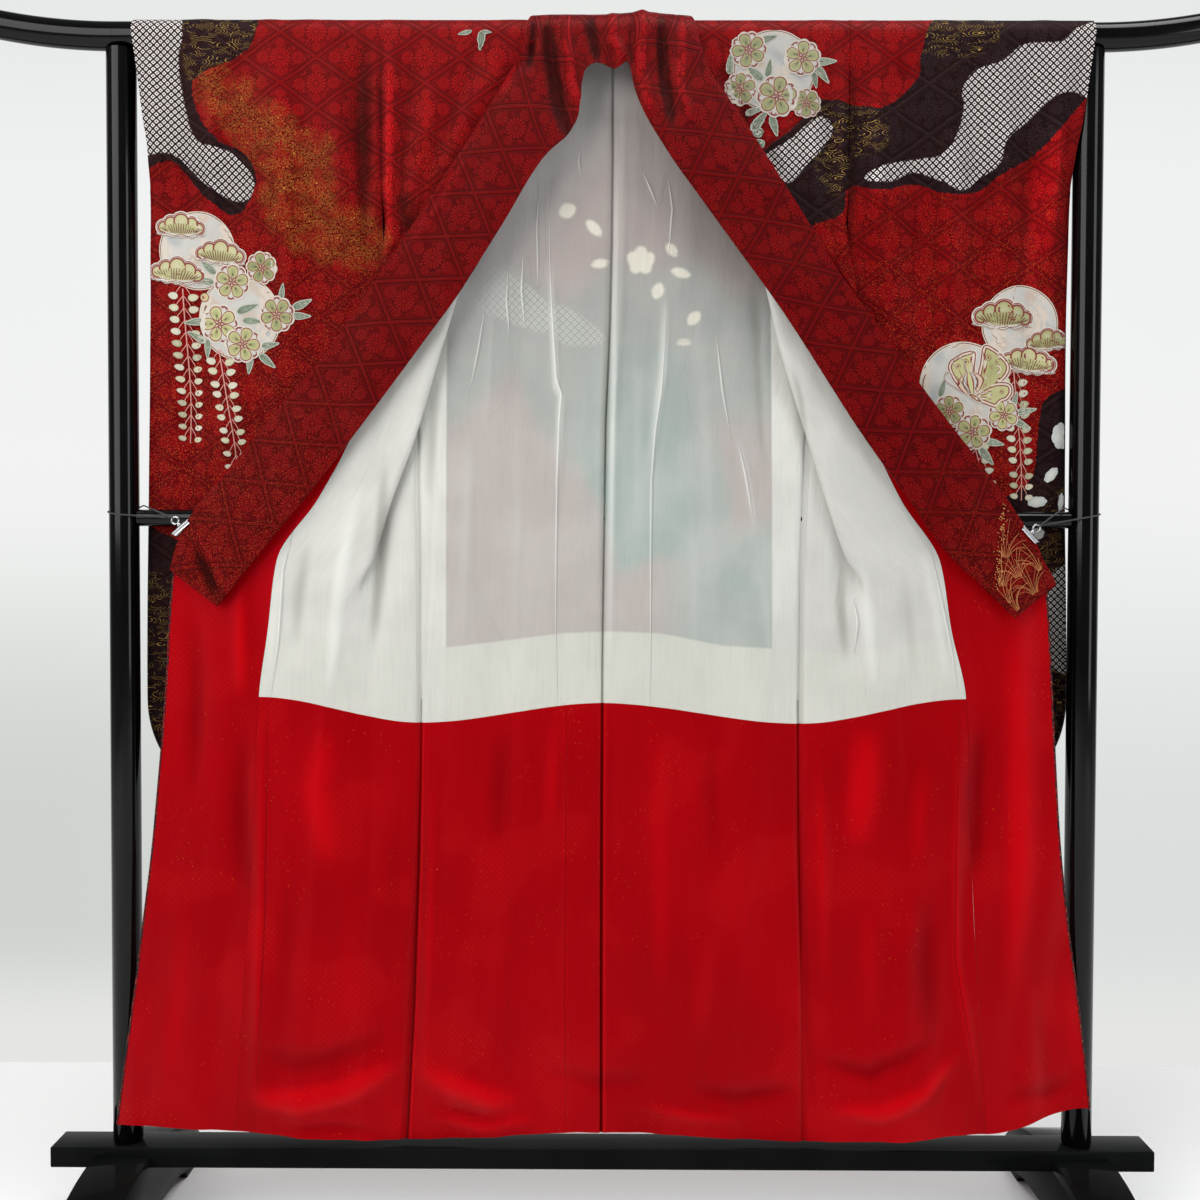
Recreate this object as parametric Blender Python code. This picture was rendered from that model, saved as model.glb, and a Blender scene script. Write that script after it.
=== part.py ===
"""A lined furisode spread open, lining side forward, over a black kimono stand.

Metres, +Z up. The stand's feet rest on z = 0, its rail runs along X and the
opened front faces -Y. Left means the side at -X.

Every cloth piece is a sheet of points thickened to its wall. Sheets are read
from short tables, one row for each height, whose widths run outward from the
centre back seam. A lining is made from its panel's own points, moved inward.
"""
import math
from collections import namedtuple

import bmesh
import bpy
from mathutils import Vector

# Cloth
CLOTH_WALL = 0.0012
LINING_WALL = 0.0010
COLLAR_WALL = 0.0014
SEAM_GAP = 0.0003

# Stand
RAIL_HEIGHT = 1.720
RAIL_RADIUS = 0.020
RAIL_HALF_LENGTH = 0.920
RAIL_FLAT_HALF = 0.700
RAIL_TIP_RISE = 0.028
RAIL_END_ROUND = 0.012
POST_X = 0.6928
POST_RADIUS = 0.021
POST_COPE_HEIGHT = 1.712
MID_RAIL_HEIGHT = 1.031
MID_RAIL_RADIUS = 0.012
BEAM_LENGTH = 1.5925
BEAM_DEPTH = 0.054
BEAM_TOP = 0.122
BEAM_HEIGHT = 0.0295
FOOT_WIDTH = 0.082
FOOT_HALF_LENGTH = 0.215
FOOT_PAD_START = 0.135
FOOT_ARCH = 0.019
EDGE_BEVEL = 0.0015

# Cloth over the rail: the chords of the fold stay clear of the round rail.
FOLD_STEPS = 7
FOLD_RADIUS = (RAIL_RADIUS + 0.0005) / math.cos(math.pi / FOLD_STEPS / 2)
CREASE_HALF = 0.004

# Side edge of a front and a back panel. The two are sewn below the underarm.
Side = namedtuple("Side", "height left right front_depth back_depth")
SIDES = (
    Side(1.720, 0.3180, 0.3470, -0.0215, 0.0212),
    Side(1.500, 0.3140, 0.3460, -0.0210, 0.0210),
    Side(1.450, 0.3108, 0.3430, -0.0165, 0.0150),
    Side(1.410, 0.3085, 0.3410, -0.0120, 0.0080),
    Side(1.360, 0.3000, 0.3360, -0.0040, -0.0040),
    Side(1.272, 0.2870, 0.3190, -0.0070, -0.0070),
    Side(1.148, 0.2660, 0.2900, -0.0120, -0.0120),
    Side(1.057, 0.2630, 0.2850, -0.0145, -0.0145),
    Side(0.970, 0.2615, 0.2820, -0.0145, -0.0145),
    Side(0.740, 0.2630, 0.2830, -0.0125, -0.0125),
    Side(0.130, 0.2860, 0.2930, -0.0110, -0.0110),
)

# The two folds of a front panel: first behind itself, then forward again.
# Arrive and leave are -1 inward or +1 outward: on which side the cloth meets the fold.
Fold = namedtuple("Fold", "height left right depth spread arrive leave")
BACK_FOLDS = (
    Fold(1.720, 0.3000, 0.3290, -0.0215, 0.000, 1, -1),
    Fold(1.500, 0.3010, 0.3320, -0.0215, 0.000, 1, -1),
    Fold(1.410, 0.3140, 0.3490, -0.0185, 0.004, 0, -1),
    Fold(1.360, 0.3230, 0.3600, -0.0135, 0.009, -1, -1),
    Fold(1.272, 0.3290, 0.3610, -0.0135, 0.009, -1, -1),
    Fold(1.148, 0.3370, 0.3640, -0.0165, 0.008, -1, -1),
    Fold(1.057, 0.3460, 0.3690, -0.0185, 0.007, -1, -1),
    Fold(0.972, 0.3430, 0.3660, -0.0190, 0.006, -1, -1),
    Fold(0.950, 0.3420, 0.3640, -0.0190, 0.004, -1, 0),
    Fold(0.930, 0.3400, 0.3620, -0.0190, 0.003, -1, 1),
    Fold(0.880, 0.3320, 0.3520, -0.0185, 0.000, -1, 1),
    Fold(0.740, 0.3280, 0.3480, -0.0165, 0.000, -1, 1),
    Fold(0.130, 0.3500, 0.3620, -0.0150, 0.000, -1, 1),
)
CREASES = (
    Fold(1.720, 0.0900, 0.1150, -0.0215, 0.000, 1, -1),
    Fold(1.700, 0.0980, 0.1225, -0.0238, 0.004, 1, 0),
    Fold(1.660, 0.1100, 0.1340, -0.0245, 0.005, 1, 1),
    Fold(1.600, 0.1260, 0.1520, -0.0252, 0.006, 1, 1),
    Fold(1.500, 0.1550, 0.1840, -0.0260, 0.006, 1, 1),
    Fold(1.360, 0.2030, 0.2290, -0.0265, 0.006, 1, 1),
    Fold(1.272, 0.2300, 0.2500, -0.0258, 0.006, 1, 1),
    Fold(1.148, 0.2670, 0.2890, -0.0258, 0.006, 1, 1),
    Fold(1.057, 0.3010, 0.3170, -0.0268, 0.006, 1, 1),
    Fold(0.972, 0.3290, 0.3480, -0.0275, 0.005, 1, 1),
    Fold(0.950, 0.3420, 0.3640, -0.0272, 0.004, 0, 1),
    Fold(0.930, 0.3540, 0.3760, -0.0268, 0.003, -1, 1),
    Fold(0.880, 0.3750, 0.3950, -0.0250, 0.000, -1, 1),
    Fold(0.740, 0.4050, 0.4250, -0.0240, 0.000, -1, 1),
    Fold(0.130, 0.4350, 0.4500, -0.0235, 0.000, -1, 1),
)

# Seam of a front panel with its okumi; above the okumi's tip, with the collar.
Edge = namedtuple("Edge", "height left right depth")
OKUMI_SEAMS = (
    Edge(1.720, 0.0800, 0.1050, -0.0215),
    Edge(1.700, 0.1030, 0.1275, -0.0310),
    Edge(1.660, 0.1300, 0.1520, -0.0290),
    Edge(1.600, 0.1720, 0.1910, -0.0290),
    Edge(1.500, 0.2350, 0.2540, -0.0300),
    Edge(1.455, 0.2600, 0.2780, -0.0305),
    Edge(1.360, 0.2930, 0.3110, -0.0320),
    Edge(1.272, 0.3180, 0.3360, -0.0325),
    Edge(1.148, 0.3570, 0.3790, -0.0325),
    Edge(1.057, 0.4050, 0.4220, -0.0325),
    Edge(0.970, 0.4640, 0.4780, -0.0320),
    Edge(0.872, 0.4770, 0.4950, -0.0315),
    Edge(0.771, 0.4910, 0.5170, -0.0300),
    Edge(0.450, 0.5080, 0.5330, -0.0270),
    Edge(0.130, 0.5300, 0.5540, -0.0240),
)

# Outer edge of an okumi: the collar seam, then the free front edge.
FRONT_EDGES = (
    Edge(1.455, 0.2640, 0.2820, -0.0320),
    Edge(1.360, 0.3200, 0.3480, -0.0340),
    Edge(1.272, 0.3850, 0.4080, -0.0350),
    Edge(1.148, 0.4890, 0.5010, -0.0360),
    Edge(1.057, 0.5640, 0.5700, -0.0360),
    Edge(0.972, 0.6060, 0.6220, -0.0360),
    Edge(0.915, 0.6130, 0.6290, -0.0345),
    Edge(0.800, 0.6210, 0.6370, -0.0325),
    Edge(0.600, 0.6390, 0.6490, -0.0295),
    Edge(0.430, 0.6590, 0.6670, -0.0275),
    Edge(0.300, 0.6760, 0.6840, -0.0260),
    Edge(0.130, 0.7000, 0.7010, -0.0245),
)

# Depth of a back panel along the centre seam, from the rail down.
Depth = namedtuple("Depth", "height depth")
CENTRE_DEPTHS = (
    Depth(1.720, 0.0212),
    Depth(1.660, 0.0185),
    Depth(1.360, 0.0035),
    Depth(1.148, -0.0080),
    Depth(1.031, -0.0145),
    Depth(0.740, -0.0135),
    Depth(0.130, -0.0100),
)
NECK_WIDTH_LEFT = 0.080
NECK_WIDTH_RIGHT = 0.105
NECK_CURVE_HEIGHT = 1.700

# How far each place lies above or below the nominal height of its row.
Rise = namedtuple("Rise", "height centre side seam front_left front_right")
RISES = (
    Rise(1.000, 0.000, 0.000, 0.000, 0.000, 0.000),
    Rise(0.872, -0.002, -0.010, 0.001, 0.000, 0.000),
    Rise(0.771, -0.005, -0.034, 0.004, 0.002, 0.002),
    Rise(0.600, 0.000, -0.018, 0.004, 0.004, 0.006),
    Rise(0.300, 0.008, -0.004, 0.012, 0.016, 0.034),
    Rise(0.130, 0.010, -0.001, 0.016, 0.024, 0.055),
)
NECK_FOLD_HEIGHT = 1.70
UNDERARM_HEIGHT = 1.36
UPPER_HEIGHTS = (1.66, 1.60, 1.50, 1.45, 1.41, UNDERARM_HEIGHT)
LOWER_HEIGHTS = (1.315, 1.272, 1.21, 1.148, 1.10, 1.057, 1.015, 0.972, 0.95, 0.93, 0.88,
                 0.771, 0.62, 0.45, 0.28, 0.13)
LINING_TOP = 1.695
LINING_TOP_EASE = 0.0008
OKUMI_TOP = 1.41
OKUMI_LINING_TOP = 1.148
LINING_JOIN = 0.771
HEM_BULGE = 0.012

# Sleeves: a bag with its inner edge open and a cuff slit at the top of the outer edge.
Sleeve = namedtuple("Sleeve", "height inner_left inner_right outer_left outer_right "
                    "front_inner front_outer back_inner back_outer")
SLEEVES = (
    Sleeve(1.720, 0.3183, 0.3473, 0.6710, 0.6940, -0.0215, -0.0217, 0.0212, 0.0217),
    Sleeve(1.660, 0.3174, 0.3471, 0.6620, 0.6865, -0.0215, -0.0217, 0.0212, 0.0217),
    Sleeve(1.600, 0.3163, 0.3469, 0.6545, 0.6790, -0.0215, -0.0217, 0.0212, 0.0212),
    Sleeve(1.550, 0.3155, 0.3468, 0.6480, 0.6700, -0.0215, -0.0190, 0.0212, 0.0180),
    Sleeve(1.500, 0.3148, 0.3468, 0.6480, 0.6655, -0.0210, -0.0095, 0.0210, 0.0145),
    Sleeve(1.410, 0.3160, 0.3463, 0.6505, 0.6640, -0.0080, -0.0010, 0.0205, 0.0130),
    Sleeve(1.340, 0.3170, 0.3465, 0.6520, 0.6640, -0.0010, 0.0040, 0.0200, 0.0140),
    Sleeve(1.272, 0.3175, 0.3465, 0.6545, 0.6650, 0.0040, 0.0080, 0.0185, 0.0160),
    Sleeve(1.148, 0.3180, 0.3465, 0.6580, 0.6665, 0.0100, 0.0120, 0.0200, 0.0195),
    Sleeve(1.031, 0.3180, 0.3465, 0.6610, 0.6690, 0.0145, 0.0145, 0.0230, 0.0225),
    Sleeve(0.900, 0.3180, 0.3465, 0.6650, 0.6740, 0.0190, 0.0200, 0.0275, 0.0275),
    Sleeve(0.765, 0.3180, 0.3465, 0.6670, 0.6770, 0.0225, 0.0235, 0.0310, 0.0310),
    Sleeve(0.610, 0.3180, 0.3465, 0.6670, 0.6770, 0.0235, 0.0245, 0.0320, 0.0320),
)
CUFF_BOTTOM = 1.50
SLEEVE_CORNER_RADIUS = 0.155
SLEEVE_BOTTOM = 0.610
CORNER_STEPS = 4
SLEEVE_COLUMNS = 6
SLEEVE_EDGE_REACH = 0.003

# Collar: seam edge and free edge of each section across the band. A drop is
# measured down the front from the rail's axis; below zero it runs up and over.
Band = namedtuple("Band", "seam_x seam_drop seam_lift free_x free_drop free_lift")
COLLAR_RADIUS = 0.0250
COLLAR_COLUMNS = 7
COLLAR_BANDS = (
    Band(-0.614, 0.764, 0.0128, -0.545, 0.816, 0.020),
    Band(-0.603, 0.726, 0.0130, -0.522, 0.788, 0.022),
    Band(-0.585, 0.689, 0.0130, -0.501, 0.761, 0.022),
    Band(-0.540, 0.634, 0.0130, -0.456, 0.706, 0.022),
    Band(-0.495, 0.580, 0.0130, -0.410, 0.651, 0.022),
    Band(-0.440, 0.515, 0.0128, -0.354, 0.578, 0.022),
    Band(-0.386, 0.451, 0.0125, -0.298, 0.504, 0.021),
    Band(-0.340, 0.384, 0.0122, -0.251, 0.440, 0.020),
    Band(-0.295, 0.316, 0.0120, -0.205, 0.377, 0.019),
    Band(-0.231, 0.217, 0.0110, -0.142, 0.277, 0.018),
    Band(-0.171, 0.123, 0.0095, -0.082, 0.181, 0.017),
    Band(-0.137, 0.070, 0.0085, -0.050, 0.150, 0.015),
    Band(-0.119, 0.037, 0.0080, -0.036, 0.124, 0.013),
    Band(-0.113, 0.014, 0.0070, -0.034, 0.104, 0.011),
    Band(-0.109, -0.008, 0.0045, -0.033, 0.088, 0.010),
    Band(-0.102, -0.028, 0.0025, -0.031, 0.074, 0.009),
    Band(-0.092, -0.048, 0.0020, -0.028, 0.062, 0.008),
    Band(-0.076, -0.065, 0.0020, -0.022, 0.054, 0.007),
    Band(-0.052, -0.077, 0.0020, -0.014, 0.050, 0.007),
    Band(-0.020, -0.082, 0.0020, -0.005, 0.050, 0.007),
    Band(0.030, -0.082, 0.0020, 0.008, 0.056, 0.007),
    Band(0.070, -0.077, 0.0020, 0.017, 0.058, 0.007),
    Band(0.096, -0.063, 0.0020, 0.025, 0.052, 0.007),
    Band(0.113, -0.045, 0.0020, 0.031, 0.048, 0.008),
    Band(0.122, -0.025, 0.0025, 0.035, 0.055, 0.009),
    Band(0.128, -0.004, 0.0045, 0.038, 0.066, 0.010),
    Band(0.134, 0.020, 0.0070, 0.041, 0.082, 0.011),
    Band(0.146, 0.055, 0.0085, 0.050, 0.108, 0.014),
    Band(0.191, 0.123, 0.0095, 0.089, 0.176, 0.017),
    Band(0.253, 0.219, 0.0110, 0.156, 0.269, 0.018),
    Band(0.293, 0.283, 0.0120, 0.194, 0.321, 0.019),
    Band(0.334, 0.347, 0.0122, 0.236, 0.378, 0.020),
    Band(0.391, 0.424, 0.0125, 0.297, 0.470, 0.021),
    Band(0.447, 0.502, 0.0130, 0.353, 0.557, 0.022),
    Band(0.517, 0.593, 0.0130, 0.424, 0.655, 0.022),
    Band(0.587, 0.686, 0.0130, 0.491, 0.745, 0.022),
    Band(0.615, 0.734, 0.0130, 0.548, 0.798, 0.021),
    Band(0.641, 0.781, 0.0128, 0.580, 0.829, 0.020),
)

# Clips on the collar's seam edge, pulled to the posts by elastic cord.
Clip = namedtuple("Clip", "side x height slope")
CLIPS = (
    Clip("left", -0.598, 1.016, 0.87),
    Clip("right", 0.603, 1.009, -1.08),
)
CLIP_LENGTH = 0.032
CLIP_WALL = 0.0008
CLIP_JAW = 0.011
CLIP_SPINE = 0.0085
CLIP_GRIP_DEPTH = -0.0377
CLIP_GRIP_HALF = 0.0044
CLIP_SPINE_HALF = 0.0062
RING_RADIUS = 0.0050
RING_WIRE = 0.0009
RING_OVERLAP = 0.0006
CORD_RADIUS = 0.0010
CORD_POST_GAP = 0.0004
CORD_RING_BEND = 0.0024
CORD_TURN_POINTS = 14
CORD_BEND_POINTS = 6


def remove_everything():
    for thing in list(bpy.data.objects):
        bpy.data.objects.remove(thing, do_unlink=True)


def material(name, color, roughness, metallic=0.0):
    made = bpy.data.materials.new(name)
    made.use_nodes = True
    shader = made.node_tree.nodes["Principled BSDF"]
    shader.inputs["Base Color"].default_value = (*color, 1.0)
    shader.inputs["Roughness"].default_value = roughness
    shader.inputs["Metallic"].default_value = metallic
    return made


def add_object(name, shape, look, smooth_angle=None):
    """Turn a bmesh into a named object with its own material."""
    bmesh.ops.recalc_face_normals(shape, faces=shape.faces)
    mesh = bpy.data.meshes.new(name)
    shape.to_mesh(mesh)
    shape.free()
    mesh.materials.append(look)
    made = bpy.data.objects.new(name, mesh)
    bpy.context.scene.collection.objects.link(made)
    if smooth_angle is not None:
        mesh.shade_smooth()
        mesh.set_sharp_from_angle(angle=smooth_angle)
    return made


def profile(rows, name):
    """A smooth reading, at any height, of one column of a table."""
    rows = sorted(rows, key=lambda row: row.height)
    heights = [row.height for row in rows]
    values = [getattr(row, name) for row in rows]
    steps = [(values[k + 1] - values[k]) / (heights[k + 1] - heights[k])
             for k in range(len(rows) - 1)]
    slopes = [steps[0]]
    for below, above in zip(steps, steps[1:]):
        same_way = below * above > 0
        slopes.append(2 * below * above / (below + above) if same_way else 0.0)
    slopes.append(steps[-1])

    def read(height):
        height = min(max(height, heights[0]), heights[-1])
        k = max(i for i in range(len(steps)) if heights[i] <= height)
        span = heights[k + 1] - heights[k]
        t = (height - heights[k]) / span
        return (values[k] * (1 + 2 * t) * (1 - t) ** 2
                + slopes[k] * span * t * (1 - t) ** 2
                + values[k + 1] * t * t * (3 - 2 * t)
                + slopes[k + 1] * span * t * t * (t - 1))

    return read


def sheet_normals(points, cells):
    """Unit normal at each point, with the stretch that keeps a wall's thickness at a bend."""
    around = {key: [] for key in points}
    for cell in cells:
        centre = sum((points[key] for key in cell), Vector()) / len(cell)
        normal = Vector()
        for first, second in zip(cell, cell[1:] + cell[:1]):
            normal += (points[first] - centre).cross(points[second] - centre)
        normal.normalize()
        for key in cell:
            around[key].append(normal)
    normals = {}
    for key, found in around.items():
        mean = sum(found, Vector())
        mean.normalize()
        spread = sum(mean.dot(normal) for normal in found) / len(found)
        normals[key] = mean / max(spread, 0.7)
    return normals


def split_cells(points, cells):
    """Cut each four-sided cell along its shorter diagonal."""
    cut = []
    for cell in cells:
        if len(cell) != 4:
            cut.append(cell)
            continue
        a, b, c, d = cell
        if (points[a] - points[c]).length < (points[b] - points[d]).length:
            cut += [[a, b, c], [a, c, d]]
        else:
            cut += [[a, b, d], [b, c, d]]
    return cut


def thicken(name, points, cells, low, high, look, facing, faced_cell=0):
    """Close a sheet into a wall between two distances from it, along its outer side."""
    used = {key for cell in cells for key in cell}
    points = {key: points[key] for key in used}
    normals = sheet_normals(points, cells)
    if normals[cells[faced_cell][0]].dot(facing) < 0:
        cells = [cell[::-1] for cell in cells]
        normals = {key: -normal for key, normal in normals.items()}
    cells = split_cells(points, cells)
    shape = bmesh.new()
    inner = {key: shape.verts.new(points[key] + normals[key] * low) for key in used}
    outer = {key: shape.verts.new(points[key] + normals[key] * high) for key in used}
    edges = {}
    for cell in cells:
        shape.faces.new([outer[key] for key in cell])
        shape.faces.new([inner[key] for key in cell[::-1]])
        for first, second in zip(cell, cell[1:] + cell[:1]):
            edges[frozenset((first, second))] = edges.get(frozenset((first, second)), [])
            edges[frozenset((first, second))].append((first, second))
    for found in edges.values():
        if len(found) == 1:
            first, second = found[0]
            shape.faces.new([outer[first], inner[first], inner[second], outer[second]])
    bmesh.ops.triangulate(shape, faces=shape.faces)
    return add_object(name, shape, look, smooth_angle=math.radians(50))


class Half:
    """Positions on the left or right half of the body, outward from the centre seam."""

    def __init__(self, side):
        self.side = side
        self.sign = -1 if side == "left" else 1
        self.side_x = profile(SIDES, side)
        self.front_depth = profile(SIDES, "front_depth")
        self.back_depth = profile(SIDES, "back_depth")
        self.centre_depth = profile(CENTRE_DEPTHS, "depth")
        self.seam_x = profile(OKUMI_SEAMS, side)
        self.seam_depth = profile(OKUMI_SEAMS, "depth")
        self.edge_x = profile(FRONT_EDGES, side)
        self.edge_depth = profile(FRONT_EDGES, "depth")
        self.folds = [{name: profile(table, name) for name in Fold._fields[1:]}
                      for table in (BACK_FOLDS, CREASES)]
        self.rises = [profile(RISES, name)
                      for name in ("centre", "side", "seam", "front_" + side)]
        self.neck_x = NECK_WIDTH_LEFT if side == "left" else NECK_WIDTH_RIGHT

    def point(self, x, depth, height, place):
        """Place runs 0 centre, 1 side seam, 2 okumi seam, 3 front edge."""
        k = min(int(place), 2)
        t = place - k
        rise = self.rises[k](height) * (1 - t) + self.rises[k + 1](height) * t
        return Vector((self.sign * x, depth, height + rise))

    def fold_stations(self, number, height):
        fold = {name: read(height) for name, read in self.folds[number].items()}
        x = fold[self.side]
        return [(x + CREASE_HALF * fold["arrive"], fold["depth"] + fold["spread"] / 2),
                (x, fold["depth"]),
                (x + CREASE_HALF * fold["leave"], fold["depth"] - fold["spread"] / 2)]

    def front_row(self, height):
        """Eleven stations from the side edge, round both folds, to the okumi seam."""
        back = self.fold_stations(0, height)
        crease = self.fold_stations(1, height)
        last = (self.seam_x(height), self.seam_depth(height))
        blend = lambda a, b, t: (a[0] + (b[0] - a[0]) * t, a[1] + (b[1] - a[1]) * t)
        side_depth = self.front_depth if height > UNDERARM_HEIGHT else self.back_depth
        side = (self.side_x(height), side_depth(height))
        stations = [side, *back, blend(back[2], crease[0], 0.5), *crease]
        stations += [blend(crease[2], last, 0.33), blend(crease[2], last, 0.67), last]
        row = []
        for k, (x, depth) in enumerate(stations):
            place = 1 + k / (len(stations) - 1)
            row.append(self.point(x, depth - self.hem_bulge(place, height), height, place))
        return row

    def hem_bulge(self, place, height):
        """The hem's soft forward roll in the middle of a front panel."""
        reach = min(max((0.62 - height) / 0.5, 0.0), 1.0)
        across = min(max(place - 1, 0.0), 1.0)
        return HEM_BULGE * reach ** 2 * math.sin(math.pi * across) ** 2

    def back_row(self, height):
        """Five stations from the side seam through the neck point to the centre seam."""
        side = self.side_x(height)
        inner = SEAM_GAP / 2
        xs = (side, (side + self.neck_x) / 2, self.neck_x, self.neck_x / 2, inner)
        row = []
        for x in xs:
            t = (x - inner) / (side - inner)
            depth = self.centre_depth(height) * (1 - t) + self.back_depth(height) * t
            row.append(self.point(x, depth, height, t))
        return row

    def okumi_row(self, height):
        """Four stations from the okumi seam to the front edge."""
        seam = (self.seam_x(height) + SEAM_GAP, self.seam_depth(height))
        edge = (self.edge_x(height), self.edge_depth(height))
        row = []
        for k in range(4):
            t = k / 3
            x = seam[0] + (edge[0] - seam[0]) * t
            depth = seam[1] + (edge[1] - seam[1]) * t
            row.append(self.point(x, depth, height, 2 + t))
        return row


def over_rail(x, step):
    """A point of the cloth's half turn over the rail, from the front to the back."""
    angle = math.pi * step / FOLD_STEPS
    return Vector((x, -FOLD_RADIUS * math.cos(angle),
                   RAIL_HEIGHT + FOLD_RADIUS * math.sin(angle)))


def strip_cells(rows, columns):
    """Four-sided cells between neighbouring rows, each a label and a row number."""
    return [[(*above, j), (*above, j + 1), (*below, j + 1), (*below, j)]
            for above, below in zip(rows, rows[1:]) for j in range(columns - 1)]


def grid_cells(heights, columns, label=""):
    return strip_cells([(label, height) for height in heights], columns)


def grid(make_row, heights, label=""):
    return {(label, height, j): point
            for height in heights for j, point in enumerate(make_row(height))}


def body_sheet(half):
    """One length of cloth: up the back, over the rail and down the folded front."""
    points = {}
    front_heights = [RAIL_HEIGHT, NECK_FOLD_HEIGHT, *UPPER_HEIGHTS, *LOWER_HEIGHTS]
    back_heights = [*UPPER_HEIGHTS, *LOWER_HEIGHTS]
    points.update(grid(half.front_row, front_heights, "front"))
    points.update(grid(half.back_row, back_heights, "back"))
    columns = len(half.front_row(RAIL_HEIGHT))
    back_columns = len(half.back_row(RAIL_HEIGHT))

    rail_row = half.front_row(RAIL_HEIGHT)
    for step in range(1, FOLD_STEPS + 1):
        for j, start in enumerate(rail_row):
            points["rail", step, j] = over_rail(start.x, step)

    neck_heights = (NECK_CURVE_HEIGHT + 0.004, NECK_CURVE_HEIGHT)
    neck = half.back_row(NECK_CURVE_HEIGHT)
    for j, height in zip((3, 4), neck_heights):
        points["neck", height, j] = Vector((neck[j].x, neck[j].y, height))

    # Below the underarm the side edges are sewn, so they share their points.
    def shared(key):
        label, height, j = key
        if label == "front" and j == 0 and height <= UNDERARM_HEIGHT:
            return ("back", height, 0)
        return key

    cells = grid_cells(back_heights, back_columns, "back")
    cells += grid_cells(front_heights, columns, "front")
    over = [("front", RAIL_HEIGHT)] + [("rail", k) for k in range(1, FOLD_STEPS + 1)]
    cells += strip_cells(over, columns)
    top = back_heights[0]
    last = FOLD_STEPS
    middle = columns // 2 - 1
    cells.append([("back", top, 1), ("back", top, 0)]
                 + [("rail", last, j) for j in range(middle + 1)])
    cells.append([("back", top, 2), ("back", top, 1)]
                 + [("rail", last, j) for j in range(middle, columns)])
    cells.append([("back", top, 3), ("back", top, 2), ("rail", last, columns - 1),
                  ("neck", neck_heights[0], 3)])
    cells.append([("back", top, 4), ("back", top, 3), ("neck", neck_heights[0], 3),
                  ("neck", neck_heights[1], 4)])

    cells = [[shared(key) for key in cell] for cell in cells]
    return points, orient(cells)


def orient(cells):
    """Turn the cells so that neighbours run round the same way."""
    by_edge = {}
    for number, cell in enumerate(cells):
        for first, second in zip(cell, cell[1:] + cell[:1]):
            by_edge.setdefault(frozenset((first, second)), []).append(number)
    turned = [None] * len(cells)
    turned[0] = cells[0]
    waiting = [0]
    while waiting:
        number = waiting.pop()
        cell = turned[number]
        for first, second in zip(cell, cell[1:] + cell[:1]):
            for other in by_edge[frozenset((first, second))]:
                if turned[other] is None:
                    ring = cells[other]
                    same_way = (first, second) in zip(ring, ring[1:] + ring[:1])
                    turned[other] = ring[::-1] if same_way else ring
                    waiting.append(other)
    return turned


def make_body(half, looks):
    points, cells = body_sheet(half)
    thicken("body_" + half.side, points, cells, 0.0, CLOTH_WALL, looks["brocade"],
            Vector((0, 1, 0)))
    back = [LINING_TOP, *UPPER_HEIGHTS, *LOWER_HEIGHTS]
    front = [UNDERARM_HEIGHT, *LOWER_HEIGHTS]
    okumi = [OKUMI_TOP, UNDERARM_HEIGHT, *LOWER_HEIGHTS]
    white = ("white_back_", half.back_row, back), ("white_front_", half.front_row, front)
    red = (("red_back_", half.back_row, LOWER_HEIGHTS),
           ("red_front_", half.front_row, LOWER_HEIGHTS),
           ("red_okumi_", half.okumi_row, LOWER_HEIGHTS))
    low, high = -SEAM_GAP - LINING_WALL, -SEAM_GAP
    for name, make_row, heights in white:
        heights = [height for height in heights if height >= LINING_JOIN]
        add_lining(name + half.side, half, make_row, heights, low, high, looks["white"])
    for name, make_row, heights in red:
        top = OKUMI_LINING_TOP if "okumi" in name else LINING_JOIN
        heights = [height for height in heights if height <= top]
        add_lining(name + half.side, half, make_row, heights, low, high, looks["red"])
    points = grid(half.okumi_row, okumi)
    cells = grid_cells(okumi, len(half.okumi_row(OKUMI_TOP)))
    thicken("okumi_" + half.side, points, cells, 0.0, CLOTH_WALL, looks["brocade"],
            Vector((0, 1, 0)), faced_cell=len(cells) // 2)


def add_lining(name, half, make_row, heights, low, high, look):
    """A lining lies on the inner side of its panel, a seam gap short of its neighbours."""
    points = grid(make_row, heights)
    columns = len(make_row(heights[0]))
    cells = split_cells(points, grid_cells(heights, columns))
    for height in heights:
        trim = half.sign * SEAM_GAP
        if make_row == half.front_row:
            points["", height, 0].x += trim
        if make_row == half.back_row:
            points["", height, 0].x -= trim
    for j in range(columns):
        if heights[0] == LINING_JOIN:
            points["", LINING_JOIN, j].z -= SEAM_GAP
        if heights[0] == LINING_TOP:
            points["", LINING_TOP, j].y -= LINING_TOP_EASE
    # The outer cloth lies behind a lining wherever the panel runs outward or inward flat.
    row = heights[-1]
    low_row = [cell for cell in cells if row in (key[1] for key in cell)]
    thicken(name, points, cells, low, high, look, Vector((0, 1, 0)),
            faced_cell=cells.index(low_row[0]))


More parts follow.
